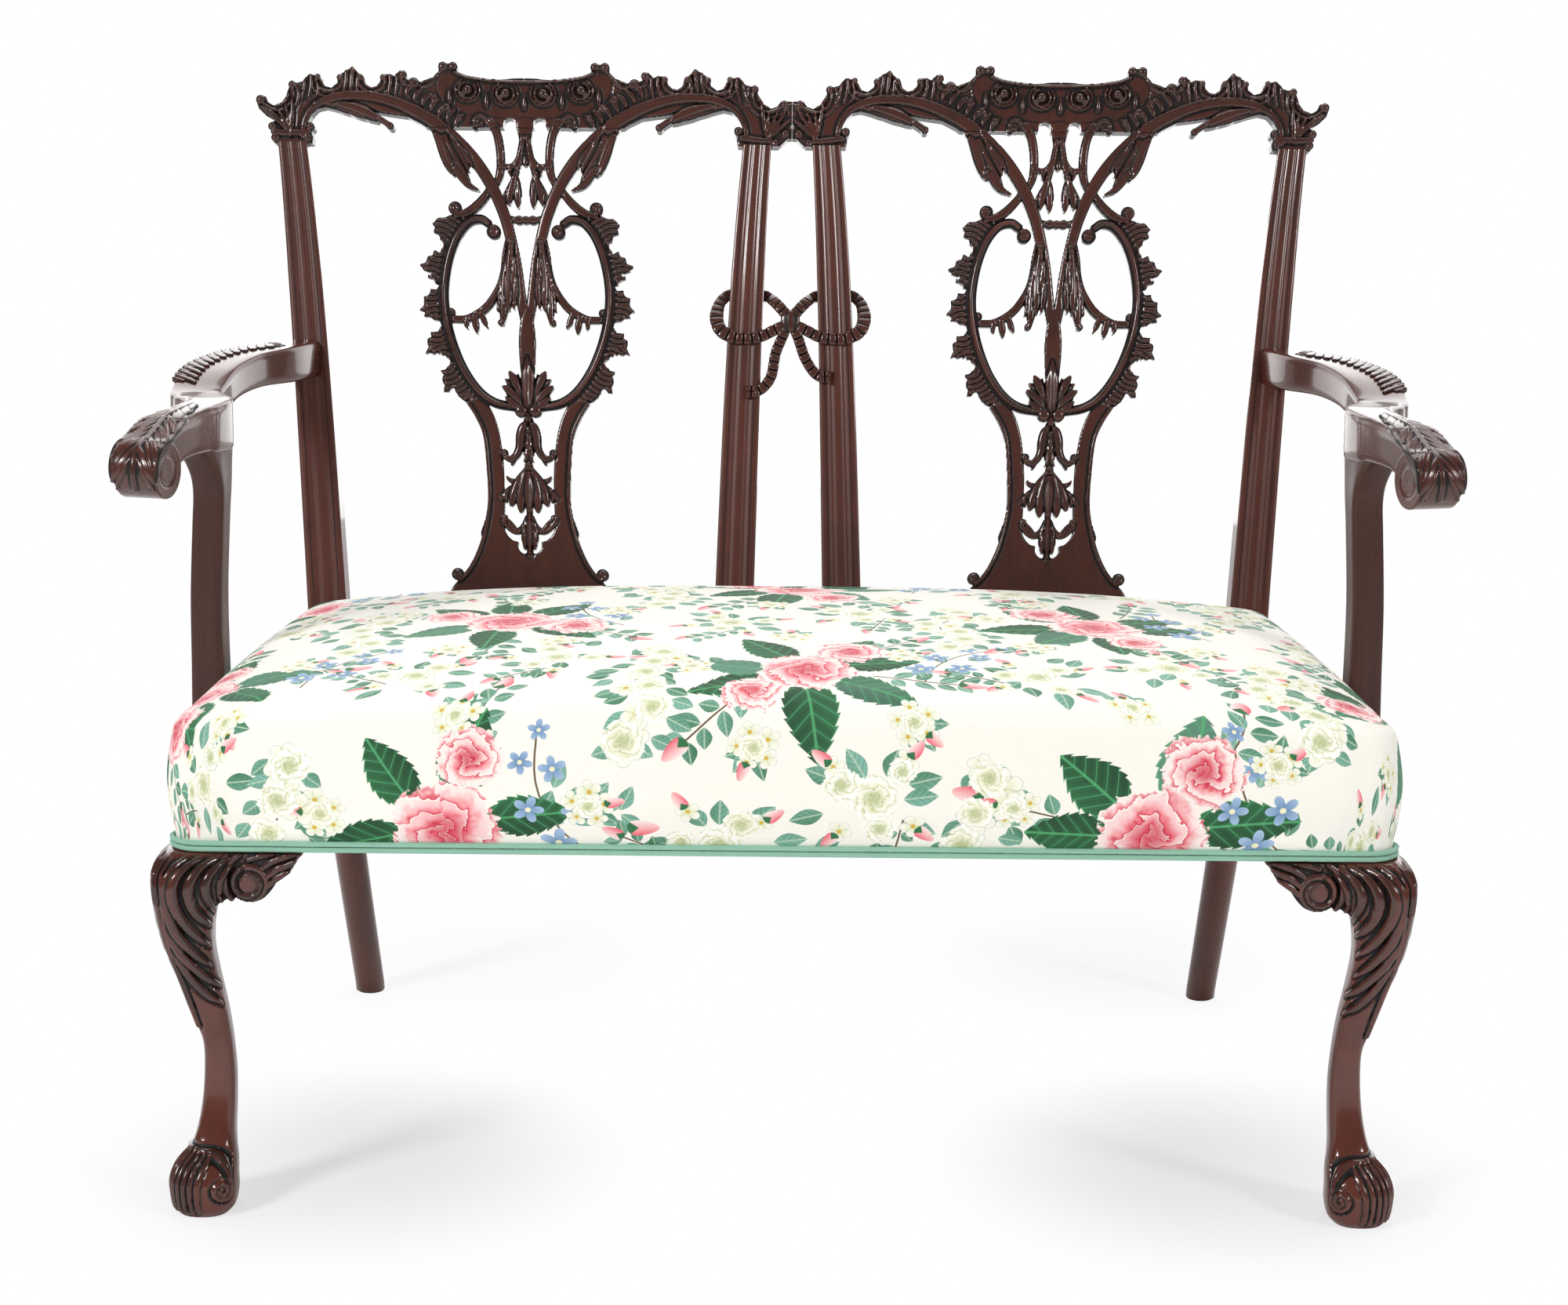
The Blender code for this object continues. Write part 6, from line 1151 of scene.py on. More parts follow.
# Rings of the leg: closest where its foot is carved
LEG_STEPS = ((0, 0.075, 62), (0.0765, 0.165, 46), (0.1665, LEG_TOP, 120))
LEG_ROWS = (
    # height, out, forward, half width, squareness
    (0.000, 0.0135, 0.0325, 0.0218, 2.3),
    (0.006, 0.0132, 0.0323, 0.0264, 2.4),
    (0.0175, 0.0130, 0.0320, 0.0286, 2.5),
    (0.031, 0.0130, 0.0318, 0.0288, 2.5),
    (0.0435, 0.0108, 0.0278, 0.0262, 2.5),
    (0.0545, 0.0070, 0.0215, 0.0204, 2.6),
    (0.067, 0.0046, 0.0165, 0.0168, 3.2),
    (0.0915, 0.0018, 0.0122, 0.0145, 3.8),
    (0.1185, 0.0006, 0.0095, 0.0134, 3.8),
    (0.145, 0.0012, 0.0102, 0.0127, 3.6),
    (0.1645, 0.0040, 0.0137, 0.0142, 3.4),
    (0.184, 0.0076, 0.0175, 0.0156, 3.4),
    (0.2165, 0.0142, 0.0245, 0.0176, 3.4),
    (0.243, 0.0194, 0.0290, 0.0205, 3.4),
    (0.271, 0.0204, 0.0296, 0.0246, 3.4),
    (0.2965, 0.0172, 0.0250, 0.0304, 4.0),
    (0.311, 0.0120, 0.0160, 0.0335, 3.8),
    (0.3212, 0.0046, 0.0046, 0.0325, 3.4),
)


def knee_carving():
    """Carving round a front leg: u round the leg from its outer front corner, v up it, in millimetres."""
    map_ = Relief((-100, -2), (100, 324), 1.0)
    map_.depth[:] = 20.0
    for hand in (1, -1):
        # lobes that sweep over the knee towards the bracket's scroll, the outermost last
        map_.lines(
            (
                [(4, 262, 2.2), (5, 236, 3.8), (10, 212, 4.2), (19, 195, 3.8), (28, 187, 2.2)],
                [(9, 300, 2.4), (6, 272, 4.0), (8, 246, 4.6), (16, 223, 4.6), (27, 208, 3.8), (35, 203, 2.2)],
                [(17, 320, 2.8), (10, 301, 4.2), (8, 280, 4.8), (12, 257, 5.0), (22, 236, 4.4), (31, 224, 2.4)],
                [(29, 320, 3.0), (19, 305, 4.4), (15, 287, 5.0), (20, 267, 5.0), (30, 251, 4.2), (38, 243, 2.4)],
                [(42, 320, 3.0), (34, 308, 4.4), (29, 293, 5.0), (31, 277, 4.8), (38, 266, 4.0), (45, 261, 2.4)],
            ),
            1.4, 2.6, hand, over=True, vein=0.5, ground=1.6,
        )
        # ridges that run over the block's face into the scroll
        map_.lines(
            (
                [(58, 321, 2.8), (48, 310, 4.0), (44, 296, 4.4), (47, 282, 3.8), (54, 272, 2.4)],
                [(74, 321, 2.8), (64, 311, 4.0), (60, 298, 4.4), (62, 286, 3.8), (68, 278, 2.4)],
            ),
            1.2, 2.2, hand, over=True, ground=1.4,
        )
        for eye in ((28.5, 186), (35.5, 202), (31.5, 223), (38.5, 242), (45.5, 260)):
            map_.boss((hand * eye[0], eye[1]), 2.3, 1.8, 1.8, over=True)
        # the rolled foot: ridges over its corner, a hollow, and a volute on each flank
        for u, w in ((2.9, 2.4), (8.6, 2.4), (14.2, 2.2)):
            ridge = [(u * 0.9, 54, w * 0.8), (u, 46, w), (u * 1.06, 28, w), (u, 5, w * 0.9)]
            map_.lines([ridge], 0.8, 1.9, hand, over=True, ground=0.7)
        map_.lines(([(19, 52, 1.8), (22, 42, 2.4), (21, 26, 2.6), (20, 6, 2.2)],), 0.4, 1.3, hand, vein=0.3)
        fold = [(2, 56, 1.6), (18, 55, 2.0), (33, 50, 2.2), (47, 41, 2.2), (55, 28, 2.1)]
        map_.lines([fold], 1.0, 1.9, hand, over=True, ground=0.8)
        eye, start = (hand * 44, 25), 20 if hand > 0 else 160
        map_.boss(eye, 11.0, 0.7, 1.2)
        map_.stroke(spiral(eye, 10.2, 1.8, start, -hand, 0.16, 2.0, 1.3), 1.5, 1.8, smooth=1, over=True, ground=0.8)
    map_.stroke([(0, 322, 2.4), (0, 280, 2.8), (0, 230, 2.8), (0, 185, 2.4), (0, 162, 1.0)], 2.2, 2.0, over=True,
        ground=1.0)
    for u in (4.6, -4.6):
        map_.stroke([(u, 320, 1.6), (u, 280, 1.6), (u * 0.75, 232, 1.2)], 1.8, 1.6, ground=0.8)
    return map_.finished(1.0, 0.75)


def front_leg(side_name, look, carving):
    """A front leg with its carved knee and foot, and the plain block above it."""
    side = SIDES[side_name]
    rings = []
    for z in np.concatenate([np.linspace(*span) for span in LEG_STEPS]):
        out, forward, half, power = table_at(LEG_ROWS, z)
        section = squared(2 * half, 2 * half, power, 168, -45)
        rings.append(level_ring(LEG_X + out, LEG_Y - forward, section, z))
    rings = np.array(rings)
    u, v = -around_from(rings), rings[..., 2] / MM
    lift, shade = (read_between(carving, field, u, v) for field in (carving.top, carving.hollow))
    # the carving fades out towards the leg's inner side, its foot and its top
    reach = 68 + 20 * np.clip((v - 270) / 20, 0, 1)
    fade = np.clip((reach - np.abs(u)) / 10, 0, 1) * np.clip(v / 3, 0, 1) * np.clip((LEG_TOP / MM - v) / 8, 0, 1)
    lift = np.clip(lift * fade, -1.6, 4.8) - 1.3 * fade * (np.abs(lift) > 0.05)
    rings = rings + skin_normals(rings) * (lift * MM)[..., None]
    # the foot keeps flat on the floor
    rings[..., 2] = np.clip(rings[..., 2], 0.0, LEG_TOP)
    rings[0, :, 2], rings[-1, :, 2] = 0.0, LEG_TOP
    # the carving's hollows carry painted shade into the polish
    leg = shaped_skin("leg_skin", rings, side, look, shade * fade)
    block = squared(0.049, 0.049, 12.0, 64, -45)
    rings = [level_ring(LEG_X, LEG_Y, block, z) for z in (LEG_TOP - 0.004, RAIL_TOP)]
    return joined("front_leg_" + side_name, [leg, shaped_skin("leg_block", rings, side, look)])


def bracket_carving():
    """The leafy scroll beside a knee: u inward from the leg's middle, v up, in millimetres."""
    map_ = Relief((-12, 252), (90, 324), 0.7)
    outline = [
        (-6, 321.6), (73.5, 321.6), (74, 316), (71, 309), (65, 304), (59, 299), (54, 291), (47, 283), (40, 279.5),
        (33, 278.5), (26, 281), (20, 282.5), (14, 280.5), (8, 277), (3, 272), (-2, 265), (-6, 257),
    ]
    map_.patch(outline, 0.6, 1.2, smooth=3)
    # ridges that sweep round the disc from the leg
    map_.lines(
        (
            [(6, 320, 2.6), (-2, 308, 3.6), (-4, 294, 4.0), (-3, 283, 3.4), (1, 275, 2.0)],
            [(16, 320, 2.6), (8, 310, 3.8), (4, 298, 4.2), (5, 287, 3.6), (10, 280, 2.2)],
            [(26, 320, 2.6), (17, 312, 3.8), (13, 300, 4.2), (14, 289, 3.8), (19, 282, 2.4)],
        ),
        1.0, 2.8, over=True, ground=1.3,
    )
    # leaf tips on the far side
    map_.lines(
        (
            [(50, 293, 2.0), (56, 299, 3.0), (62, 303, 2.8), (68, 306, 1.6)],
            [(50, 301, 2.2), (58, 308, 3.4), (66, 311, 3.2), (73, 315, 2.0)],
            [(46, 309, 2.2), (55, 315, 3.2), (64, 318, 2.8), (72, 320, 1.6)],
            [(34, 316, 2.2), (44, 319, 2.4), (56, 321, 1.4)],
        ),
        1.4, 2.4, over=True, vein=0.8, ground=0.9,
    )
    map_.boss((34, 296), 16.6, 3.6, 0.9, over=True)
    map_.stroke(spiral((34, 296), 14.4, 1.0, 118, 1, 0.5, 2.5, 2.2), 4.4, 2.6, smooth=1, over=True, ground=0.9)
    map_.boss((34.5, 295), 8.4, 5.2, 0.3, over=True)
    map_.depth = np.minimum(map_.depth, 321.0 - map_.v)
    return map_.finished(1.2, 0.7)


def bracket(side_name, face, look, carving):
    """The bracket on the front or side face of a leg."""
    side = SIDES[side_name]

    def place(u, v, proud):
        u, v, proud = (np.asarray(a, float) * MM for a in (u, v, proud))
        x, y = (LEG_X - u, LEG_Y - proud) if face == "front" else (LEG_X + proud, LEG_Y + u)
        return np.stack(np.broadcast_arrays(side * x, y, v), axis=-1)

    return carved_board("knee_bracket_%s_%s" % (face, side_name), carving, place, 36.5, 11.0, look, 1.5)


# Arms and their supports

ARM_START_X, ARM_START_Y, ARM_LINE = 0.48794, 0.24570, 0.6770
ARM_ROWS = (
    # along, out, drop, width, thickness
    (-0.030, -0.016, 0.003, 0.030, 0.036),
    (0.000, 0.000, 0.002, 0.030, 0.036),
    (0.106, 0.194, 0.00, 0.036, 0.035),
    (0.232, 0.630, 0.00, 0.046, 0.033),
    (0.369, 0.900, 0.14, 0.052, 0.031),
    (0.500, 0.955, 0.44, 0.051, 0.030),
    (0.555, 0.860, 0.50, 0.047, 0.030),
    (0.600, 0.715, 0.53, 0.045, 0.035),
    (0.640, 0.610, 0.61, 0.043, 0.044),
    (0.689, 0.552, 0.66, 0.042, 0.048),
    (0.760, 0.600, 0.63, 0.042, 0.045),
    (0.815, 0.672, 0.59, 0.041, 0.040),
    (0.918, 0.836, 0.640, 0.0405, 0.036),
    (0.975, 0.935, 0.880, 0.040, 0.031),
)
ARM_OUT, ARM_LENGTH, ARM_DROP = 0.067, 0.4375, 0.040
BAND_INSET, BAND_SPREAD = 0.0110, 1.3
SCROLL_R, SCROLL_HALF, SCROLL_TURN = 0.0250, 0.0200, math.radians(16.0)


def arm_frames(shares):
    """Middle, across, above, width and thickness of the right arm at shares of its length."""
    rows = np.array([table_at(ARM_ROWS, s) for s in shares])
    x, z = ARM_START_X + ARM_OUT * rows[:, 0], ARM_LINE - ARM_DROP * rows[:, 1]
    centre = np.stack([x, ARM_START_Y - ARM_LENGTH * shares, z], axis=-1)
    return centre, *frames_along(centre), rows[:, 2], rows[:, 3]


def scroll_frame():
    """Middle of an arm's front scroll, the axis it is rolled round, and its forward direction."""
    centre = np.array([ARM_START_X + ARM_OUT * 0.97, ARM_START_Y - ARM_LENGTH, ARM_LINE - ARM_DROP * 1.16])
    axis = np.array([math.cos(SCROLL_TURN), math.sin(SCROLL_TURN), 0.0])
    return centre, axis, np.cross(axis, (0, 0, 1))


def drum_ring(middle, ahead, radius, c, s):
    """Points round a scroll's axis, from the cosines and sines of their turns."""
    return middle + radius * (c[:, None] * ahead + s[:, None] * np.array([0, 0, 1.0]))


def arm_body(side, look):
    """The arm up to its front scroll, cut off along the stile's face, and the scroll's drum."""
    rings = []
    for centre, across, above, width, thick in zip(*arm_frames(np.linspace(-0.02, 0.972, 210))):
        section = squared(width, thick, 8.0, 96)
        rings.append(centre + across * section[:, :1] + above * section[:, 1:])
    rings = np.array(rings)
    limit = BACK_Y + (rings[..., 2] - BACK_Z) * math.tan(BACK_TILT) - 0.0004
    rings[..., 1] = np.minimum(rings[..., 1], limit)
    body = shaped_skin("arm_body", rings, side, look)
    # the drum of the front scroll, its ends sunk in rings
    middle, axis, ahead = scroll_frame()
    profile = [(-SCROLL_HALF + 0.0012, 0.0)]
    for r in np.linspace(0.001, SCROLL_R - 0.0012, 34):
        sunk = 0.0006 * (1 - (r / SCROLL_R) ** 2)
        for deep, at, wide in ((0.0011, 0.0142, 0.0008), (0.0004, 0.0118, 0.0007)):
            sunk += deep * math.exp(-(((r - at) / wide) ** 2))
        profile.append((-SCROLL_HALF + sunk, r))
    profile += [(-SCROLL_HALF + 0.0004, SCROLL_R - 0.0004), (-SCROLL_HALF + 0.0014, SCROLL_R)]
    profile += [(t, SCROLL_R) for t in np.linspace(-SCROLL_HALF + 0.003, 0, 8)]
    profile += [(-t, r) for t, r in profile[-2::-1]]
    rings = [drum_ring(middle + axis * t, ahead, max(r, 0.0002), *circle(120)) for t, r in profile]
    return [body, shaped_skin("arm_drum", np.array(rings)[:, ::-1], side, look)]


def arm_leaf_carving():
    """The leaf over the front scroll: u across the arm, v along it from the leaf's rear tip, in millimetres."""
    map_ = Relief((-26, -4), (26, 172), 0.7)
    outline = [
        (0, 2), (4, 6), (8, 15), (8.5, 26), (12, 30), (15, 42), (15, 52), (20, 60), (22.5, 76), (23.4, 95),
        (23.4, 140),
        (22, 152), (15, 160), (8, 163), (0, 165),
    ]
    whole = [*outline, *((-u, v) for u, v in reversed(outline) if u)]
    map_.patch([(u or 0.001, v) for u, v in whole], 0.4, 0.7, smooth=3)
    for hand in (1, -1):
        for v, reach in ((20, 9), (36, 13), (54, 17), (74, 20), (94, 21), (114, 21), (134, 20)):
            rows = [
                (hand * 1.8, v - 12, 1.4), (hand * reach * 0.38, v - 3, 3.0), (hand * reach * 0.72, v + 8, 3.6),
                (hand * reach, v + 19, 1.6),
            ]
            map_.stroke(rows, 0.8, 1.8, over=True, vein=0.5)
            map_.stroke([(u * 0.9, vv + 8, w * 0.6) for u, vv, w in rows], 0.9, 1.4, vein=0.3)
    map_.stroke([(0, 6, 1.2), (0, 40, 2.0), (0, 100, 2.6), (0, 160, 2.4)], 1.6, 1.6, over=True)
    return map_.finished(0.8, 0.7)


def arm_band_carving():
    """The leafy band on the outer edge behind the elbow: v from its rear scroll forward, in millimetres."""
    map_ = Relief((-14, -4), (14, 215), 0.7)
    map_.volute((1.5, 14), 8.6, 100, -1, 1.6, 0.8, 1.6, 1.7)
    for k in range(14):
        v, w = 22 + 12.2 * k, 3.8 - 0.05 * k
        lobe = [(7.5, v - 5, 1.6), (3, v - 1, w * 0.8), (-3, v + 5, w), (-8.0, v + 12, 2.0)]
        map_.stroke(lobe, 0.9, 2.0, over=True, vein=0.6)
        map_.stroke([(8.5, v + 1, 1.2), (5, v + 4, 2.0), (1, v + 8, 1.8)], 0.8, 1.5, vein=0.4)
    return map_.finished(0.8, 0.7)


def along_place(points, across, above):
    """A place function for carving laid along a line of points on a surface."""
    way = way_along(points) / MM

    def place(u, v, proud):
        u, v, proud = np.broadcast_arrays(*(np.asarray(a, float) for a in (u, v, proud)))
        spot, aside, up = (
            np.stack([np.interp(v, way, rows[:, k]) for k in range(3)], axis=-1) for rows in (points, across, above)
        )
        return spot + (aside * u[..., None] + up * proud[..., None]) * MM

    return place


def arm(side_name, look, leaf, band):
    """An arm with the leaf over its scroll and the band behind its elbow."""
    side = SIDES[side_name]
    pieces = arm_body(side, look)
    middle, axis, ahead = scroll_frame()
    # over the front: along the arm's top, then round the drum
    centre, across, above, _, thick = arm_frames(np.linspace(0.775, 0.935, 24))
    turns = np.radians(np.linspace(100, -70, 40))
    drum = drum_ring(middle, ahead, SCROLL_R, np.cos(turns), np.sin(turns))
    points = np.vstack([centre + above * (thick / 2)[:, None], drum])
    for _ in range(6):
        points[18:30] = (points[17:29] + points[18:30] + points[19:31]) / 3
    forward = unit(np.gradient(points, axis=0))
    sideways = np.vstack([-across, np.repeat(axis[None], len(drum), axis=0)])
    sideways = unit(sideways * np.sign(sideways[:, :1]))
    normal = unit(np.cross(sideways, forward))
    normal = normal * np.sign(normal[0, 2])
    place = along_place(mirrored(points, side), mirrored(sideways, side), mirrored(normal, side))
    pieces.append(carved_board("arm_leaf", leaf, place, 0.2, -2.5, look, 0.4))
    # along the top's outer edge
    centre, across, above, width, thick = arm_frames(np.linspace(0.075, 0.575, 80))
    edge = centre + across * (width / 2 - BAND_INSET)[:, None] + above * (thick / 2 - 0.0004)[:, None]
    # the band is drawn narrower than it is laid
    place = along_place(mirrored(edge, side), mirrored(across, side) * BAND_SPREAD, mirrored(above, side))
    pieces.append(carved_board("arm_band", band, place, 0.1, -2.5, look, 0.4))
    return joined("arm_" + side_name, pieces)


SUPPORT_FOOT_Z, SUPPORT_HEAD_Z = 0.3366, 0.6620
SUPPORT_ROWS = (
    # height, inner face's x, width, front's y, back's y
    (0.00, 0.5134, 0.0310, -0.0908, -0.0328),
    (0.12, 0.5139, 0.0303, -0.0893, -0.0359),
    (0.30, 0.5134, 0.0296, -0.0881, -0.0452),
    (0.50, 0.5122, 0.0292, -0.0895, -0.0501),
    (0.70, 0.5090, 0.0289, -0.0885, -0.0479),
    (0.78, 0.5075, 0.0286, -0.0886, -0.0450),
    (0.82, 0.5069, 0.0286, -0.0910, -0.0435),
    (0.86, 0.5064, 0.0288, -0.0985, -0.0420),
    (0.90, 0.5058, 0.0292, -0.1110, -0.0395),
    (0.94, 0.5052, 0.0296, -0.1300, -0.0360),
    (1.00, 0.5046, 0.0300, -0.1500, -0.0320),
)
# How far forward a spot of its head lies, and how far outward it then moves
SUPPORT_TURN = (0.055, 0.0885, 0.111, 0.15, 0.19), (0, 0.0030, 0.0074, 0.0170, 0.0290)


def support(side_name, look):
    """The upright under an arm. Its head flares forward, and turns outward with the arm above it."""
    rings = []
    for t in np.linspace(0, 1, 120):
        inner, width, front, rear = table_at(SUPPORT_ROWS, t)
        z = SUPPORT_FOOT_Z + (SUPPORT_HEAD_Z - SUPPORT_FOOT_Z) * t
        ring = level_ring(inner + width / 2, (front + rear) / 2, squared(width, rear - front, 8.0, 96), z)
        rise = np.clip((t - 0.75) / 0.17, 0, 1)
        ring[:, 0] += np.interp(-ring[:, 1], *SUPPORT_TURN) * rise * rise * (3 - 2 * rise)
        rings.append(ring)
    return shaped_skin("arm_support_" + side_name, rings, SIDES[side_name], look)


# The carved ribbon

RIBBON_UP, LOOP_REACH = 304.0, 73.8
LOOP_ROWS = (
    # out, up, behind the stiles where above zero and in front of them where below
    (0.0, 2, -4.6), (0.15, 15.0, -2.6), (0.235, 22.5, 10.0), (0.295, 28.0, 31.5), (0.41, 31.5, 32.5),
    (0.72, 32.5, 32.5), (0.85, 30.6, 31.8), (0.95, 23.0, 22.0), (0.995, 13.0, 12.0), (1.0, 1.5, 3.6),
    (0.93, -9.9, -2.4), (0.74, -16.4, -2.6), (0.44, -15.9, -2.6), (0.20, -8.1, -4.0), (0.02, -2.0, -5.2),
)
LEFT_TAIL = ((3.2, -4.9), (9.3, -18.9), (14.6, -32.9), (19.1, -56.0), (30.8, -69.3), (44.5, -70.0))
RIGHT_TAIL = ((3.2, -4.9), (8.4, -17.5), (15.4, -37.1), (27.0, -53.2), (41.0, -55.0))
PLEAT = 8.4


def ribbon_band(path, width, look, wider=(), split=False):
    """A flat pleated ribbon along rows (x, up, proud) in millimetres. wider holds spots where it opens like a fan,
    and split forks its end."""
    path = smooth_path(path, 12)
    way = way_along(path)
    total = way[-1]
    spots = np.arange(0, total, 0.7)
    points = np.stack([np.interp(spots, way, path[:, k]) for k in range(3)], axis=-1)
    rings, shade = [], []
    for s, p, a, b in zip(spots, points, *frames_along(points)):
        # bars with a narrow gap between them, darkened with painted shade
        phase = s / PLEAT % 1.0
        gap = math.exp(-(((phase - 0.5) / 0.085) ** 2))
        bar = math.sin(math.pi * ((phase + 0.5) % 1.0))
        wide = width * (1.0 + sum(grow * math.exp(-(((s / total - at) / 0.06) ** 2)) for at, grow in wider))
        if split:
            wide *= 1.0 + 0.30 * max(0.0, 1 - (total - s) / 13)
        section = squared(wide * (1.0 - 0.10 * gap), 4.0, 3.4, 40)
        front = section[:, 1] > 0
        up = section[:, 1] + front * (0.7 * bar - 1.5 * gap - 0.3 * (section[:, 0] / wide * 2) ** 2)
        if split and total - s < 10:
            up = up - 1.8 * np.exp(-((section[:, 0] / 1.1) ** 2)) * front
        rings.append(p + a * section[:, :1] + b * up[:, None])
        # painted shade in each gap, slightly below zero on the bars
        shade.append(np.full(40, 0.62 * gap - 0.16 * bar))
    rings = np.array(rings)
    x, up, proud = (rings[..., k] for k in range(3))
    placed = back_place(0, 0, up, proud)
    placed[..., 0] = x * MM
    return shaped_skin("ribbon_part", placed[:, ::-1], 1, look, shade)


def ribbon_bow(look):
    """Two loops round the stiles, two forked tails and the knot."""
    pieces = []
    for side in (-1, 1):
        rows = [(side * LOOP_REACH * out, RIBBON_UP + up, -turn) for out, up, turn in LOOP_ROWS]
        pieces.append(ribbon_band(rows, 11.4, look, ((0.60, 0.22), (0.70, 0.16))))
    for side, rows in ((-1, LEFT_TAIL), (1, RIGHT_TAIL)):
        pieces.append(ribbon_band([(side * x, RIBBON_UP + up, 3.8) for x, up in rows], 10.8, look, (), True))
    # the knot: a short flat band folded over the crossing
    rings, shade = [], []
    for turn in np.radians(np.linspace(-87, 87, 30)):
        around = np.linspace(0, 2 * np.pi, 72, endpoint=False)
        fold = np.cos(around * 6) * 0.5 + 0.5
        crease = 1 - 0.09 * fold
        full = math.cos(turn) ** 0.45
        x = 10.4 * full * np.cos(around) * crease
        proud = 3.4 + 5.4 * full * np.sin(around) * crease
        spot = back_place(0, 0, RIBBON_UP + 11.0 * math.sin(turn), proud)
        spot[..., 0] = x * MM
        rings.append(spot)
        # painted shade along each fold
        shade.append(fold * 0.5 - 0.15)
    pieces.append(shaped_skin("ribbon_knot", np.array(rings)[:, ::-1], 1, look, shade))
    return joined("ribbon_bow", pieces)


# Shares of the shoe's height, and how far its moulding has drawn in there, in millimetres
SHOE_ROWS = ((0, 0), (0.25, 0), (0.36, 0.4), (0.5, 1.2), (0.66, 2.4), (0.82, 3.8), (0.93, 4.6), (1.0, 5.0))


def shoe(side_name, look):
    """The moulded shoe that a splat stands in: flat on its rail, coved towards the splat."""
    low, high = (np.array(corner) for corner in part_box("splat_shoe_" + side_name))
    (x, y, _), (wide, deep, tall) = (low + high) / 2, high - low
    rings = []
    for share, shrink in SHOE_ROWS:
        section = squared(wide - shrink * 2 * MM, deep - shrink * 2 * MM, 14.0, 80)
        rings.append(level_ring(x, y, section, low[2] + tall * share))
    return shaped_skin("splat_shoe_" + side_name, rings, 1, look)


# The seat: stuffing, printed cover, welt and bottom cloth

SEAT_FRONT_Y, FRONT_HALF, REAR_HALF = -0.3069, 0.520, 0.484
BACK_GAP = 0.0018
SEAT_REAR_Y = BACK_Y + (RAIL_TOP - BACK_Z) * math.tan(BACK_TILT) - BACK_GAP
SEAT_EDGE_Z, SEAT_TOP_Z, HEM_Z, REAR_HEM_Z = 0.424, 0.470, 0.3225, 0.3966
SEAT_ROUND, REAR_ROUND, CORNER_R = 0.042, 0.009, 0.026
# The wall's bulge, the share of its height below it, and the cloth turned in under the rails
WALL_SWELL, HEM_SHARE, HEM_TURN = 0.0062, 0.097, 0.006


def seat_half(y):
    """Half the seat's width at a depth."""
    share = (y - SEAT_FRONT_Y) / (SEAT_REAR_Y - SEAT_FRONT_Y)
    return FRONT_HALF + (REAR_HALF - FRONT_HALF) * share


def seat_top(x, y):
    """Height of the crowned seat."""
    middle, reach = (SEAT_FRONT_Y + SEAT_REAR_Y) / 2, (SEAT_REAR_Y - SEAT_FRONT_Y) / 2
    ahead = np.clip((middle - y) / reach, 0, None)
    behind = np.clip((y - middle) / reach, 0, None)
    sideways = np.clip(np.abs(x) / seat_half(y), 0, 1)
    return SEAT_TOP_Z - 0.024 * sideways**3 - 0.013 * ahead**2 - 0.007 * behind**2


def seat_plan(a, b, inset, rear_inset, radius):
    """The plan point, and the outward direction, of a spot (a, b) on the edge of the square -1..1."""
    front, rear = SEAT_FRONT_Y + inset, SEAT_REAR_Y - rear_inset
    y = front + (rear - front) * (b + 1) / 2
    x = a * (seat_half(y) - inset)
    nx = np.where(np.abs(a) > 0.9999, np.sign(a), 0.0)
    ny = np.where(np.abs(b) > 0.9999, np.sign(b), 0.0)
    for side in (-1, 1):
        corner_x = side * (seat_half(front) - inset - radius)
        corner_y = front + radius
        # distance along the sharp corner's two edges, turned into an arc
        on_front = (b < -0.9999) & (side * (x - corner_x) > 0)
        on_side = (np.abs(a - side) < 1e-4) & (y < corner_y)
        way = np.where(on_front, side * (x - corner_x), np.where(on_side, radius + (y - front), 0))
        turn = np.clip(way / (2 * radius), 0, 1) * math.pi / 2
        near = on_front | on_side
        x = np.where(near, corner_x + side * radius * np.sin(turn), x)
        y = np.where(near, corner_y - radius * np.cos(turn), y)
        nx = np.where(near, side * np.sin(turn), nx)
        ny = np.where(near, -np.cos(turn), ny)
    size = np.maximum(np.hypot(nx, ny), 1e-6)
    return x, y, nx / size, ny / size


def seat_profile(wall, rounds):
    """The side's section from the top's edge down: (inset, height) shares of the round, then heights of the wall."""
    turns = np.radians(np.linspace(90, 0, rounds)[1:])
    return [(1 - math.cos(t), math.sin(t)) for t in turns], np.linspace(1, 0, wall + 1)[1:]


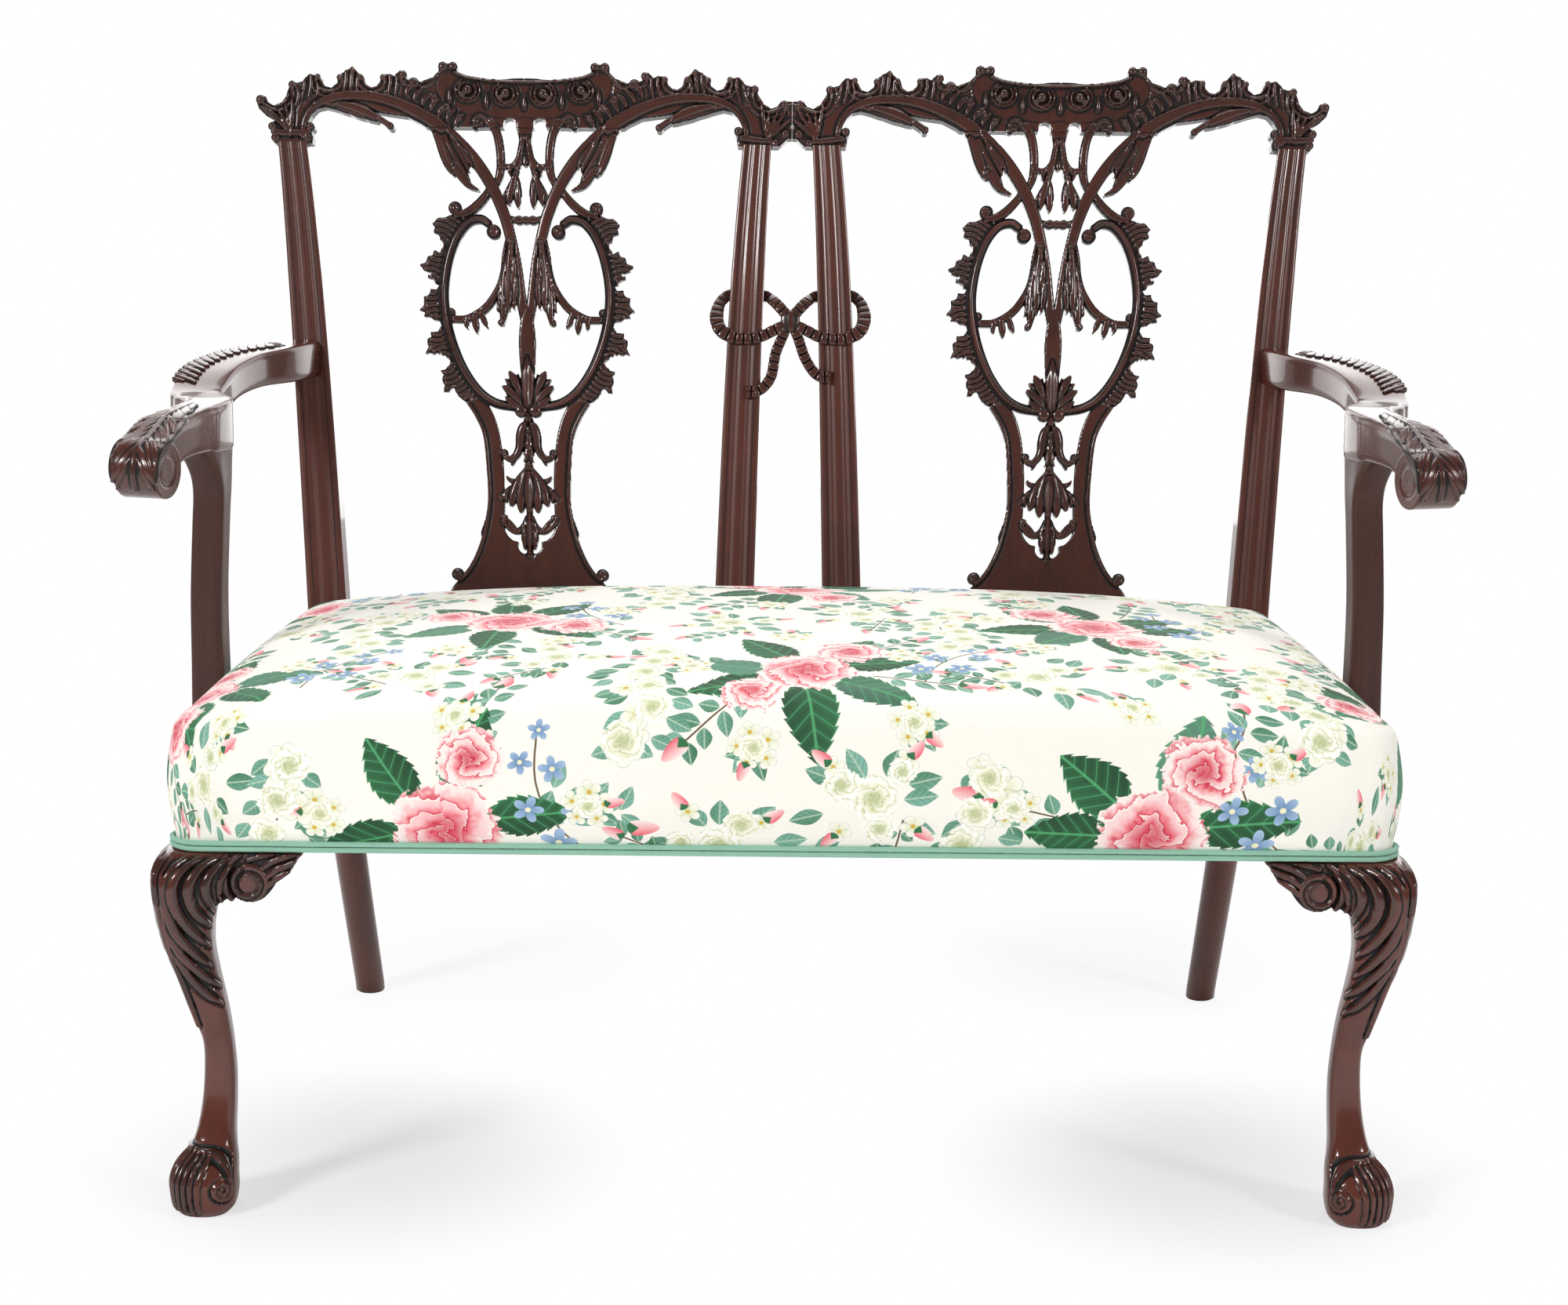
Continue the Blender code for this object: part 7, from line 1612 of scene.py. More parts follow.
def seat_surface(name, across, deep, wall, rounds, offset, look, hem=HEM_Z, turned_in=True):
    """The seat's skin, a grid whose edge goes on down its sides, and its lowest points. Stores the flat cloth's
    coordinates."""
    spots_a = np.linspace(-1, 1, across + 1)
    spots_b = np.linspace(-1, 1, deep + 1)
    loop = [(a, -1.0) for a in spots_a[:-1]] + [(1.0, b) for b in spots_b[:-1]]
    loop += [(a, 1.0) for a in spots_a[:0:-1]] + [(-1.0, b) for b in spots_b[:0:-1]]
    la, lb = np.array(loop).T
    rear = (lb > 0.9999) & (np.abs(la) < 0.9999)

    def edge_ring(inset, rear_inset, radius):
        return seat_plan(la, lb, inset + offset, rear_inset + offset, radius)

    bx, by, nx, ny = edge_ring(SEAT_ROUND, REAR_ROUND, CORNER_R + SEAT_ROUND / 2)
    points, flat, number = [], [], {}
    # the top: spots inside the square shrink towards the middle
    middle = np.array([0.0, (by.min() + by.max()) / 2])
    edge_of = {(round(a, 6), round(b, 6)): k for k, (a, b) in enumerate(loop)}

    def edge_point(a, b):
        """The edge's plan point in the direction of (a, b), between its two neighbours."""
        level = abs(b) >= abs(a)
        spots, share, fixed = (spots_a, a, float(np.sign(b))) if level else (spots_b, b, float(np.sign(a)))
        spot = np.clip((share + 1) / 2 * (len(spots) - 1), 0, len(spots) - 1)
        low = int(min(math.floor(spot), len(spots) - 2))
        near = [round(spots[k], 6) for k in (low, low + 1)]
        i, j = (edge_of[(s, fixed) if level else (fixed, s)] for s in near)
        return np.array([edge[i] + (edge[j] - edge[i]) * (spot - low) for edge in (bx, by)])

    for i, a in enumerate(spots_a):
        for j, b in enumerate(spots_b):
            r = max(abs(a), abs(b))
            x, y = middle if r < 1e-9 else middle + (edge_point(a / r, b / r) - middle) * r
            number[i, j] = len(points)
            points.append((x, y, seat_top(x, y) - offset))
            flat.append((x, y, 0.0))
    faces = [
        (number[i, j], number[i + 1, j], number[i + 1, j + 1], number[i, j + 1])
        for i in range(across) for j in range(deep)
    ]
    ring = [number[int(round((a + 1) / 2 * across)), int(round((b + 1) / 2 * deep))] for a, b in loop]
    last, count = np.array([points[k] for k in ring]), len(loop)
    top_z, outward = last[:, 2], np.stack([nx, ny], axis=-1)
    cloth_at = np.array([flat[k][:2] for k in ring])
    edge = SEAT_EDGE_Z - offset
    bottom = np.where(rear, np.maximum(hem, REAR_HEM_Z), hem)
    round_shares, wall_shares = seat_profile(wall, rounds)
    rows = []
    for inset, height in round_shares:
        x, y, _, _ = edge_ring(SEAT_ROUND * inset, REAR_ROUND * inset, CORNER_R + SEAT_ROUND * inset / 2)
        rows.append((x, y, edge + (top_z - edge) * height))
    for height in wall_shares:
        swell = WALL_SWELL * np.sin(math.pi * max(0.0, height - HEM_SHARE) / (1 - HEM_SHARE))
        x, y, _, _ = edge_ring(-swell if offset < 0.002 else 0.0, 0.0, CORNER_R + swell)
        rows.append((x, y, bottom + (edge - bottom) * height))

    def add_ring(now, cloth_now):
        """Adds a ring of points below the last, with its spots on the flat cloth, and the faces between the two."""
        start = len(points)
        points.extend(tuple(p) for p in now)
        flat.extend((u, v, 0.0) for u, v in cloth_now)
        faces.extend((ring[k], start + k, start + (k + 1) % count, ring[(k + 1) % count]) for k in range(count))
        return list(range(start, start + count))

    for x, y, z in rows:
        y = np.minimum(y, BACK_Y + (np.maximum(z, RAIL_TOP) - BACK_Z) * math.tan(BACK_TILT) - BACK_GAP - offset)
        now = np.stack([x, y, z], axis=-1)
        cloth_at = cloth_at + outward * np.linalg.norm(now - last, axis=1)[:, None]
        ring, last = add_ring(now, cloth_at), now
    held = ring
    if turned_in:
        last[:, :2] -= outward * HEM_TURN
        held = held + add_ring(last, cloth_at)
    piece = mesh_piece(name, points, faces, look, sharp=0)
    piece.data.attributes.new("flat", "FLOAT_VECTOR", "POINT").data.foreach_set("vector", np.array(flat).ravel())
    return piece, held


COVER_SINKS = 0.0006
TOP_SHIFT, SIDE_SHIFT, SIDE_REACH, HELD_ABOVE_HEM = 0.004, 0.0022, 0.030, 0.012
CLOTH_FRAMES = 16


def vectors_of(items, key, count):
    """The vectors that a mesh stores under a key, as rows."""
    rows = np.empty(count * 3)
    items.foreach_get(key, rows)
    return rows.reshape(-1, 3)


def stuffed(piece, held, lift):
    """Draws the cover over its stuffing: pressure from inside, held along the hem, and never far from its place."""
    count = len(piece.data.vertices)
    rest = vectors_of(piece.data.vertices, "co", count)
    piece.vertex_groups.new(name="held").add(held, 1.0, "ADD")
    cloth = piece.modifiers.new("cover", "CLOTH")
    settings = cloth.settings
    settings.quality = 6
    settings.mass = 0.25
    settings.tension_stiffness = settings.compression_stiffness = 30
    settings.shear_stiffness = 12
    settings.bending_stiffness = 3.0
    settings.vertex_group_mass = "held"
    settings.pin_stiffness = 1.0
    settings.use_pressure = True
    settings.uniform_pressure_force = lift
    settings.shrink_min = 0.004
    settings.effector_weights.gravity = 0.0
    cloth.collision_settings.use_collision = False
    cloth.collision_settings.use_self_collision = False
    cloth.point_cache.frame_start, cloth.point_cache.frame_end = 1, CLOTH_FRAMES
    scene = bpy.context.scene
    for frame_number in range(1, CLOTH_FRAMES + 1):
        scene.frame_set(frame_number)
    moved = piece.evaluated_get(bpy.context.evaluated_depsgraph_get()).data
    shift = vectors_of(moved.vertices, "co", count) - rest
    scene.frame_set(1)
    piece.modifiers.remove(cloth)
    size = np.linalg.norm(shift, axis=1, keepdims=True)
    most = np.full((count, 1), TOP_SHIFT)
    most[np.abs(rest[:, 0]) > seat_half(rest[:, 1]) - SIDE_REACH] = SIDE_SHIFT
    most[rest[:, 2] < HEM_Z + HELD_ABOVE_HEM] = 0.0
    shift = shift * np.minimum(1, most / np.maximum(size, 1e-9))
    # where it went inward it keeps just over the stuffing
    outward = vectors_of(piece.data.vertex_normals, "vector", count)
    outward *= np.sign(outward[rest[:, 2].argmax(), 2])
    sunk = -np.sum(shift * outward, axis=1, keepdims=True)
    shift += outward * np.clip(sunk - COVER_SINKS, 0, None)
    piece.data.vertices.foreach_set("co", (rest + shift).ravel())
    piece.data.update()


def refined(piece):
    """Divides each face once, smoothly, and drops what the cloth needed."""
    smooth = piece.modifiers.new("finer", "SUBSURF")
    smooth.levels = smooth.render_levels = 1
    mesh = bpy.data.meshes.new_from_object(piece.evaluated_get(bpy.context.evaluated_depsgraph_get()))
    piece.modifiers.clear()
    piece.vertex_groups.clear()
    old = piece.data
    piece.data = mesh
    mesh.name = piece.name
    bpy.data.meshes.remove(old)
    mesh.shade_smooth()


# The print: each motif is drawn by the material in its own coordinates, which the cloth's corners carry

LAYERS = {"stem": 3, "twig": 5, "leaf": 4, "bell": 2, "blossom": 5, "bud": 2, "cream": 3, "bloom": 3}
AWAY = (9.0, 9.0, 0.0)
COLUMN_STEP, ROW_STEP, HALF_DROP = 268.0, 356.0, 178.0


def off(x, y, way, reach):
    """The spot at a distance from (x, y), in a direction in degrees."""
    return x + reach * math.cos(math.radians(way)), y + reach * math.sin(math.radians(way))


class Print:
    """Motifs laid out on the flat cloth, then written to its mesh."""

    def __init__(self):
        self.motifs = []

    def stem(self, points):
        path = smooth_path(points, 4)
        gone = 0.0
        for a, b in zip(path, path[1:]):
            length = math.hypot(b[0] - a[0], b[1] - a[1])
            turn = math.atan2(b[1] - a[1], b[0] - a[0])
            self.motifs.append(("stem", *a, turn, 1.0, 1.0, gone, (length, 7.0)))
            gone += length

    def add(self, kind, x, y, turn, length, half, seed):
        self.motifs.append((kind, x, y, math.radians(turn), length, half, seed, None))


def spray(cloth, x, y, turn, size, draw):
    """A stem with paired leaves that ends in a bud."""
    c, s = math.cos(math.radians(turn)), math.sin(math.radians(turn))

    def at(a, b):
        return x + (a * c - b * s) * size, y + (a * s + b * c) * size

    bend = draw.uniform(-14, 14)
    cloth.stem([at(0, 0), at(22, bend * 0.35), at(46, bend), at(66, bend * 1.9)])
    for a in (14, 30, 46, 60):
        for hand in (-1, 1):
            spot = at(a, bend * (a / 60) ** 1.4 + hand * 1.5)
            lean = turn + hand * draw.uniform(38, 62)
            cloth.add("twig", *spot, lean, draw.uniform(14, 20) * size, 5.4 * size, draw.random())
    spot = at(70, bend * 2.1)
    cloth.add("bud", *spot, turn + bend, 10 * size, 6 * size, draw.random())


def bunch(cloth, x, y, turn, size, draw):
    """A large bloom among serrated leaves, with a smaller one and buds beside it."""
    for k in range(7):
        way = turn + k * 360 / 7 + draw.uniform(-12, 12)
        lean, length, half = way + draw.uniform(-14, 14), draw.uniform(52, 68) * size, draw.uniform(15, 19) * size
        cloth.add("leaf", *off(x, y, way, 24 * size), lean, length, half, draw.random())
    for k in (0, 2, 3, 5):
        way = turn + 26 + k * 60
        spray(cloth, *off(x, y, way, 46 * size), way, size * 0.95, draw)
    for k in range(5):
        way = turn + 8 + k * 72 + draw.uniform(-14, 14)
        spot = off(x, y, way, draw.uniform(74, 92) * size)
        for step in range(5):
            petal = off(*spot, step * 72 + way, 13)
            cloth.add("blossom", *petal, draw.uniform(0, 72), draw.uniform(8, 11), 0, draw.random())
        cloth.add("cream", *spot, way, 13, 0, draw.random())
        cloth.add("bud", *off(*spot, way, 21), way, 8, 5, draw.random())
        for lean in (-48, -14, 40):
            cloth.add("twig", *spot, way + lean, draw.uniform(24, 30), 7.0, draw.random())
    blooms = ((35, 52, 0, 29, 0.4, 0.5), (0, 0, 40, 39, 0, 0.3), (205, 50, 90, 24, 0.6, 0.3))
    for way, reach, lean, half, low, span in blooms:
        spot = off(x, y, turn + way, reach * size)
        cloth.add("bloom", *spot, turn + lean, half * size, half * size, low + span * draw.random())


def garland(cloth, x, y, length, draw):
    """White blossoms and small leaves that hang in a line."""
    steps = int(length / 15)
    points = [(x + 12 * math.sin(k * 0.9), y - 15 * k) for k in range(steps + 1)]
    cloth.stem(points[:: max(1, steps // 5)])
    for k, (px, py) in enumerate(points):
        wide = 26 * math.sin(math.pi * (k + 1.2) / (steps + 2.4))
        for hand in (-1, 1):
            spot = px + hand * wide * 0.8, py + draw.uniform(-6, 6)
            lean = (0 if hand > 0 else 180) - hand * draw.uniform(10, 70)
            cloth.add("twig", *spot, lean, draw.uniform(18, 26), 7.0, draw.random())
        spot = px + draw.uniform(-1, 1) * wide * 0.6, py
        cloth.add("blossom", *spot, draw.uniform(0, 72), draw.uniform(13, 17), 0, draw.random())
        if k % 2:
            spot = px - draw.uniform(-1, 1) * wide * 0.5, py + 7
            cloth.add("cream", *spot, draw.uniform(0, 360), draw.uniform(17, 21), 0, draw.random())


def posy(cloth, x, y, turn, draw):
    """Small cream roses among leaves."""
    for k in range(9):
        way = turn + k * 40 + draw.uniform(-10, 10)
        spot = off(x, y, way, draw.uniform(14, 44))
        cloth.add("twig", *spot, way + draw.uniform(-30, 30), draw.uniform(22, 30), 8.0, draw.random())
    for k, (reach, size) in enumerate(((0, 23), (27, 17), (29, 15), (31, 13))):
        cloth.add("cream", *off(x, y, turn + k * 125, reach), turn + 50 * k, size, 0, draw.random())
    for k in range(4):
        way = turn + 20 + k * 90
        cloth.add("blossom", *off(x, y, way, 40), draw.uniform(0, 72), draw.uniform(9, 12), 0, draw.random())
        cloth.add("bud", *off(x, y, way, 52), way, 9, 5.5, draw.random())
    spray(cloth, *off(x, y, way, 30), way - 60, 0.9, draw)


def bellflowers(cloth, x, y, turn, draw):
    """A curved stem of pale blue flowers between long leaves."""
    c, s = math.cos(math.radians(turn)), math.sin(math.radians(turn))

    def at(a, b):
        return x + a * c - b * s, y + a * s + b * c

    cloth.stem([at(0, 0), at(40, 8), at(80, 4), at(118, -14)])
    for k, (a, b) in enumerate(((24, 16), (44, -14), (62, 20), (84, -12), (100, 8), (118, -16))):
        cloth.add("bell", *at(a, b), turn + k * 31, 15.5 - k * 1.2, 0, draw.random())
    for a, b, lean in ((6, 6, 40), (20, -8, -42), (52, 6, 50), (70, -6, -48)):
        cloth.add("twig", *at(a, b), turn + lean, 24, 6.5, draw.random())


def printed_cloth():
    """The layout on the flat cloth, in millimetres: bunches in half-drop rows, garlands and bellflowers between."""
    draw = random.Random(11)
    cloth = Print()
    for column in range(-2, 3):
        x = column * COLUMN_STEP + 16
        for row in range(-2, 2):
            y = -232.0 + row * ROW_STEP + column % 2 * HALF_DROP
            bunch(cloth, x + draw.uniform(-8, 8), y, 20 + 75 * (column + row), 1.3, draw)
            posy(cloth, x + 52, y - 142, 30 + 50 * column, draw)
            posy(cloth, x - 66, y + 168, 75 * row, draw)
    for column in range(-3, 3):
        x = (column + 0.5) * COLUMN_STEP + 16
        for row in range(-1, 2):
            y = 6.0 + row * ROW_STEP + column % 2 * HALF_DROP
            garland(cloth, x, y, 178, draw)
            bellflowers(cloth, x - 30, y - 262, 62 + 56 * (column % 2), draw)
    return cloth


def write_print(piece, cloth):
    """Gives each corner of the mesh the coordinates of the motif that covers its face, layer by layer."""
    mesh = piece.data
    flat = vectors_of(mesh.attributes["flat"].data, "vector", len(mesh.vertices))[:, :2] / MM
    corner_vertex = np.empty(len(mesh.loops), int)
    mesh.loops.foreach_get("vertex_index", corner_vertex)
    starts, totals = np.empty(len(mesh.polygons), int), np.empty(len(mesh.polygons), int)
    mesh.polygons.foreach_get("loop_start", starts)
    mesh.polygons.foreach_get("loop_total", totals)
    corner_flat = flat[corner_vertex]
    face_flat = np.add.reduceat(corner_flat, starts) / totals[:, None]
    corner_face = np.repeat(np.arange(len(starts)), totals)
    keys = ["%s_%d" % (kind, k) for kind, count in LAYERS.items() for k in range(count)]
    values = {key: np.tile(np.array(AWAY), (len(mesh.loops), 1)) for key in keys}
    taken = {key: np.zeros(len(starts), bool) for key in values}
    margin = 3.2
    for kind, x, y, turn, length, half, seed, span in cloth.motifs:
        c, s = math.cos(turn), math.sin(turn)
        near = face_flat - (x, y)
        a, b = near[:, 0] * c + near[:, 1] * s, near[:, 1] * c - near[:, 0] * s
        if span:
            inside = (a > -0.2) & (a <= span[0] + 0.2) & (np.abs(b) < span[1])
        elif kind in ("leaf", "twig"):
            inside = (a > -margin) & (a < length + margin) & (np.abs(b) < half + margin)
        elif kind == "bud":
            inside = (np.abs(a) < length * 1.25 + margin) & (np.abs(b) < half + margin)
        else:
            inside = np.hypot(a, b) < length * 1.04 + margin
        if not inside.any():
            continue
        for k in range(LAYERS[kind]):
            key = "%s_%d" % (kind, k)
            clash = (inside & taken[key]).sum()
            if clash == 0 or (span and clash < 3) or k == LAYERS[kind] - 1 and clash < 0.04 * inside.sum():
                mine = inside & ~taken[key]
                taken[key] |= mine
                corners = mine[corner_face]
                spot = corner_flat[corners] - (x, y)
                u, v = spot[:, 0] * c + spot[:, 1] * s, spot[:, 1] * c - spot[:, 0] * s
                if span:
                    own = u + seed, v, np.zeros(len(u))
                else:
                    own = u / length, v / (half if kind in ("leaf", "twig", "bud") else length), np.full(len(u), seed)
                values[key][corners] = np.stack(own, axis=-1)
                break
    for key, rows in values.items():
        layer = mesh.attributes.new(key, "FLOAT_VECTOR", "CORNER")
        layer.data.foreach_set("vector", rows.astype(np.float32).ravel())


def printed_cotton(name, ground, rose, pale, leaf, teal, blue):
    """The flowered cotton: ground first, then each layer of motifs over the last."""
    look = Look(name, Sheen_Weight=0.12, Sheen_Roughness=0.4, IOR=1.45)
    weave_at = look.stored("flat", "Vector")
    turn = 2 * math.pi / 0.00055
    weave = (weave_at.part(0) * turn).sine() * (weave_at.part(1) * turn).sine()
    mottle = look.noise(weave_at, 60.0, 3.0)
    colour = look.mix(mottle * 0.35, ground, tuple(c * 0.93 for c in ground))
    white = tint("fdfbf3")
    dark_leaf, light_leaf = tuple(c * 0.42 for c in leaf), tuple(min(1, c * 2.4 + 0.02) for c in leaf)

    def spot_of(key):
        spot = look.stored(key, "Vector")
        return spot.part(0), spot.part(1), spot.part(2)

    for k in range(LAYERS["stem"]):
        _, aside, _ = spot_of("stem_%d" % k)
        colour = look.mix(1.0 - abs(aside).ramp(0.62, 0.95), colour, tint("6f5a3c"))
    for k in range(LAYERS["twig"]):
        x, y, seed = spot_of("twig_%d" % k)
        wide = (x.most(0.0).least(1.0) ** 0.85 * math.pi).sine()
        mask = (wide - abs(y)).ramp(0.02, 0.12)
        rib = 1.0 - abs(y).ramp(0.04, 0.12)
        vein = (x * 5.0 - abs(y) * 1.5).fraction() - 0.5
        shade = look.mix((seed * 0.75 + y * 0.25).clamped(), teal, leaf)
        rim = (abs(y) - wide + 0.2).ramp(0.0, 0.3)
        shade = look.mix(abs(vein).ramp(0.36, 0.5) * 0.5 + rim * 0.4, shade, dark_leaf)
        shade = look.mix(rib * 0.7, shade, tint("c7dcc0"))
        colour = look.mix(mask, colour, shade)
    for k in range(LAYERS["leaf"]):
        x, y, seed = spot_of("leaf_%d" % k)
        along = x.most(0.0).least(1.0)
        wide = (along**0.72 * math.pi).sine() ** 0.85
        tooth = (x * 9.0 + abs(y) * 0.6).fraction() * 0.13
        mask = (wide - abs(y) - tooth * 0.9).ramp(0.0, 0.05)
        vein = abs((x * 6.5 - abs(y) * 1.7).fraction() - 0.5)
        lit = (y * 0.45 + 0.42 + (vein - 0.25) * 0.9 + (mottle - 0.5) * 0.8).clamped()
        shade = look.mix(lit, dark_leaf, leaf)
        shade = look.mix(((seed - 0.55) * 1.6).clamped() * 0.6, shade, teal)
        shade = look.mix(vein.ramp(0.42, 0.49) * 0.55, shade, light_leaf)
        shade = look.mix((1.0 - abs(y).ramp(0.02, 0.07)) * 0.8, shade, light_leaf)
        rim = (abs(y) + tooth * 0.9 - wide + 0.12).ramp(0.0, 0.12) * (y * 3.0).clamped()
        shade = look.mix(rim * 0.6, shade, light_leaf)
        colour = look.mix(mask, colour, shade)
    for kind, petals in (("bell", 2.5), ("blossom", 2.5)):
        for k in range(LAYERS[kind]):
            x, y, seed = spot_of("%s_%d" % (kind, k))
            r, a = x.length_with(y), y.turn_of(x)
            lobe = abs((a * petals).sine())
            reach = (0.55 + lobe**0.6 * 0.42) if kind == "blossom" else (0.40 + lobe * 0.58)
            mask = (reach - r).ramp(0.0, 0.06)
            fold = 1.0 - lobe.ramp(0.05, 0.4)
            if kind == "bell":
                shade = look.mix((r * 0.9 + seed * 0.2).clamped(), tint("5f86b4"), blue)
                shade = look.mix(fold * 0.5, shade, tint("47709f"))
                heart = tint("f4efc8")
            else:
                shade = look.mix((r * 1.1).clamped(), tint("e3e6b8"), white)
                shade = look.mix(fold * 0.55, shade, tint("b9c29a"))
                shade = look.mix((0.11 - reach + r).ramp(0.0, 0.1) * 0.75, shade, tint("93a98a"))
                heart = tint("d8b43a")
            shade = look.mix(1.0 - r.ramp(0.13, 0.22), shade, heart)
            colour = look.mix(mask, colour, shade)
    for k in range(LAYERS["bud"]):
        x, y, seed = spot_of("bud_%d" % k)
        r = (x * 0.9).length_with(y * (1.0 + x * 0.35))
        mask = 1.0 - r.ramp(0.86, 0.96)
        shade = look.mix((y * 0.5 + 0.5).clamped(), rose, pale)
        shade = look.mix(1.0 - (x + abs(y) * 0.7).ramp(-0.35, -0.2), shade, leaf)
        colour = look.mix(mask, colour, shade)
    cream = (tint("dfe0b4"), tint("a3b36e"), tint("f6f3da"), tint("fffef8"))
    roses = (("cream", cream), ("bloom", (rose, tint("c8203f"), tint("f8b4b8"), pale)))
    for key, tones in [("%s_%d" % (kind, k), tones) for kind, tones in roses for k in range(LAYERS[kind])]:
        middle, deep, light, far = tones
        x, y, seed = spot_of(key)
        whole = look.stored(key, "Vector")
        bend_x, bend_y = look.noise(whole, 2.6, 2.0) - 0.5, look.noise(whole, 3.4, 2.0, 0.5, 0.6) - 0.5
        curl = look.noise(whole, 7.0, 2.0)
        p, q = x + bend_x * 0.55 - 0.06, y + bend_y * 0.55 + 0.08
        r, a = p.length_with(q), q.turn_of(p)
        edge = x.length_with(y)
        # petals wind outward, each overlapping the next
        wind = r * 3.1 - a * 0.42 + seed * 3.0 + (a * 3.0 + r * 4.0 + seed * 9.0).sine() * 0.2 + (curl - 0.5) * 0.55
        within = wind.fraction()
        mask = (0.84 + (curl - 0.5) * 0.42 + (a * 5.0 + seed * 6.0).sine() * 0.05 - edge).ramp(0.0, 0.03)
        light = look.mix((edge * 2.0 - 0.45 + (curl - 0.5) * 0.6 + (seed - 0.4) * 0.5).clamped(), light, far)
        shade = look.mix((within * 1.5 - 0.2 + edge * 0.55).clamped(), middle, light)
        shade = look.mix((within - 0.86).ramp(0.0, 0.12) * 0.7, shade, white)
        shade = look.mix((1.0 - within.ramp(0.0, 0.2)) * (1.0 - edge * 0.8), shade, deep)
        shade = look.mix((1.0 - edge.ramp(0.1, 0.46)) * 0.6, shade, deep)
        colour = look.mix(mask, colour, shade)
    look.set("Base Color", colour)
    look.set("Roughness", 0.68 + mottle * 0.12)
    look.bump(weave * 0.5 + mottle * 0.5, 0.00015, 0.5)
    return look.material


def welt(look):
    """Two covered cords side by side along the hem, round the front and the sides."""
    rear_b, radius, gap, sides = 0.985, 0.0023, 0.00035, 14
    spots = [(-1.0, b) for b in np.linspace(rear_b, -1, 60)[:-1]] + [(a, -1.0) for a in np.linspace(-1, 1, 220)[:-1]]
    a, b = np.array(spots + [(1.0, b) for b in np.linspace(-1, rear_b, 60)]).T
    x, y, _, _ = seat_plan(a, b, -(radius + 0.0004), 0.0, CORNER_R + radius)
    way = way_along(np.stack([x, y], axis=-1))
    even = np.arange(0, way[-1], 0.0035)
    x, y = np.interp(even, way, x), np.interp(even, way, y)
    ahead = unit(np.gradient(np.stack([x, y], axis=-1), axis=0))
    out = np.stack([ahead[:, 1], -ahead[:, 0]], axis=-1)
    c, s = circle(sides)
    pieces = []
    for level in (1, 3):
        rings = np.empty((len(x), sides, 3))
        rings[..., 0] = x[:, None] + out[:, :1] * radius * c
        rings[..., 1] = y[:, None] + out[:, 1:] * radius * c
        rings[..., 2] = HEM_Z + 0.96 * radius * level + gap * (level - 2) + radius * s
        pieces.append(shaped_skin("welt_part", rings, 1, look))
    return joined("welt_trim", pieces)


def bottom_cloth(look):
    """The black cloth tacked under the seat, slack between its tacks."""
    low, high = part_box("dust_cover")
    width, depth = high[0] - low[0], high[1] - low[1]
    across, deep = 80, 44
    points = []
    for i in range(across + 1):
        for j in range(deep + 1):
            a, b = i / across, j / deep
            # slack is 1 in the middle and 0 along the tacks
            slack = math.sin(math.pi * a) * math.sin(math.pi * b)
            z = low[2] + 0.0005 - 0.0003 * slack + 0.00012 * math.sin(23 * a + 5 * b) * slack
            points.append((low[0] + width * a, low[1] + depth * b, z))
    row = deep + 1
    starts = [i * row + j for i in range(across) for j in range(deep)]
    faces = [(k, k + row, k + row + 1, k + 1) for k in starts]
    return mesh_piece("dust_cover", points, faces, look, sharp=0), (width, depth)


# Room, light and camera

PHOTO_WIDTH, FOCAL_PIXELS, SENSOR = 2000, 3826.0, 36.0
CAMERA_SPOT = (0.011, -2.7549, 1.025)
CAMERA_TURN, CAMERA_DOWN, CAMERA_ROLL = 0.28, 12.14, 0.45


def camera():
    """The photograph's own view: a long lens from the middle, a little above."""
    data = bpy.data.cameras.new("camera")
    data.sensor_fit, data.sensor_width = "HORIZONTAL", SENSOR
    data.lens = FOCAL_PIXELS * SENSOR / PHOTO_WIDTH
    eye = bpy.data.objects.new("camera", data)
    pan, tilt, roll = (math.radians(angle) for angle in (CAMERA_TURN, 90 - CAMERA_DOWN, CAMERA_ROLL))
    turn = Matrix.Rotation(pan, 4, "Z") @ Matrix.Rotation(tilt, 4, "X")
    eye.matrix_world = Matrix.Translation(CAMERA_SPOT) @ turn @ Matrix.Rotation(roll, 4, "Z")
    bpy.context.scene.collection.objects.link(eye)
    bpy.context.scene.camera = eye


def lamp(name, spot, aim, size, power):
    """A white lamp with a broad face, turned towards a spot."""
    data = bpy.data.lights.new(name, "AREA")
    data.shape, data.size, data.size_y, data.energy = "RECTANGLE", *size, power
    light = bpy.data.objects.new(name, data)
    light.location = spot
    light.rotation_euler = (Vector(aim) - Vector(spot)).to_track_quat("-Z", "Y").to_euler()
    bpy.context.scene.collection.objects.link(light)
    return light


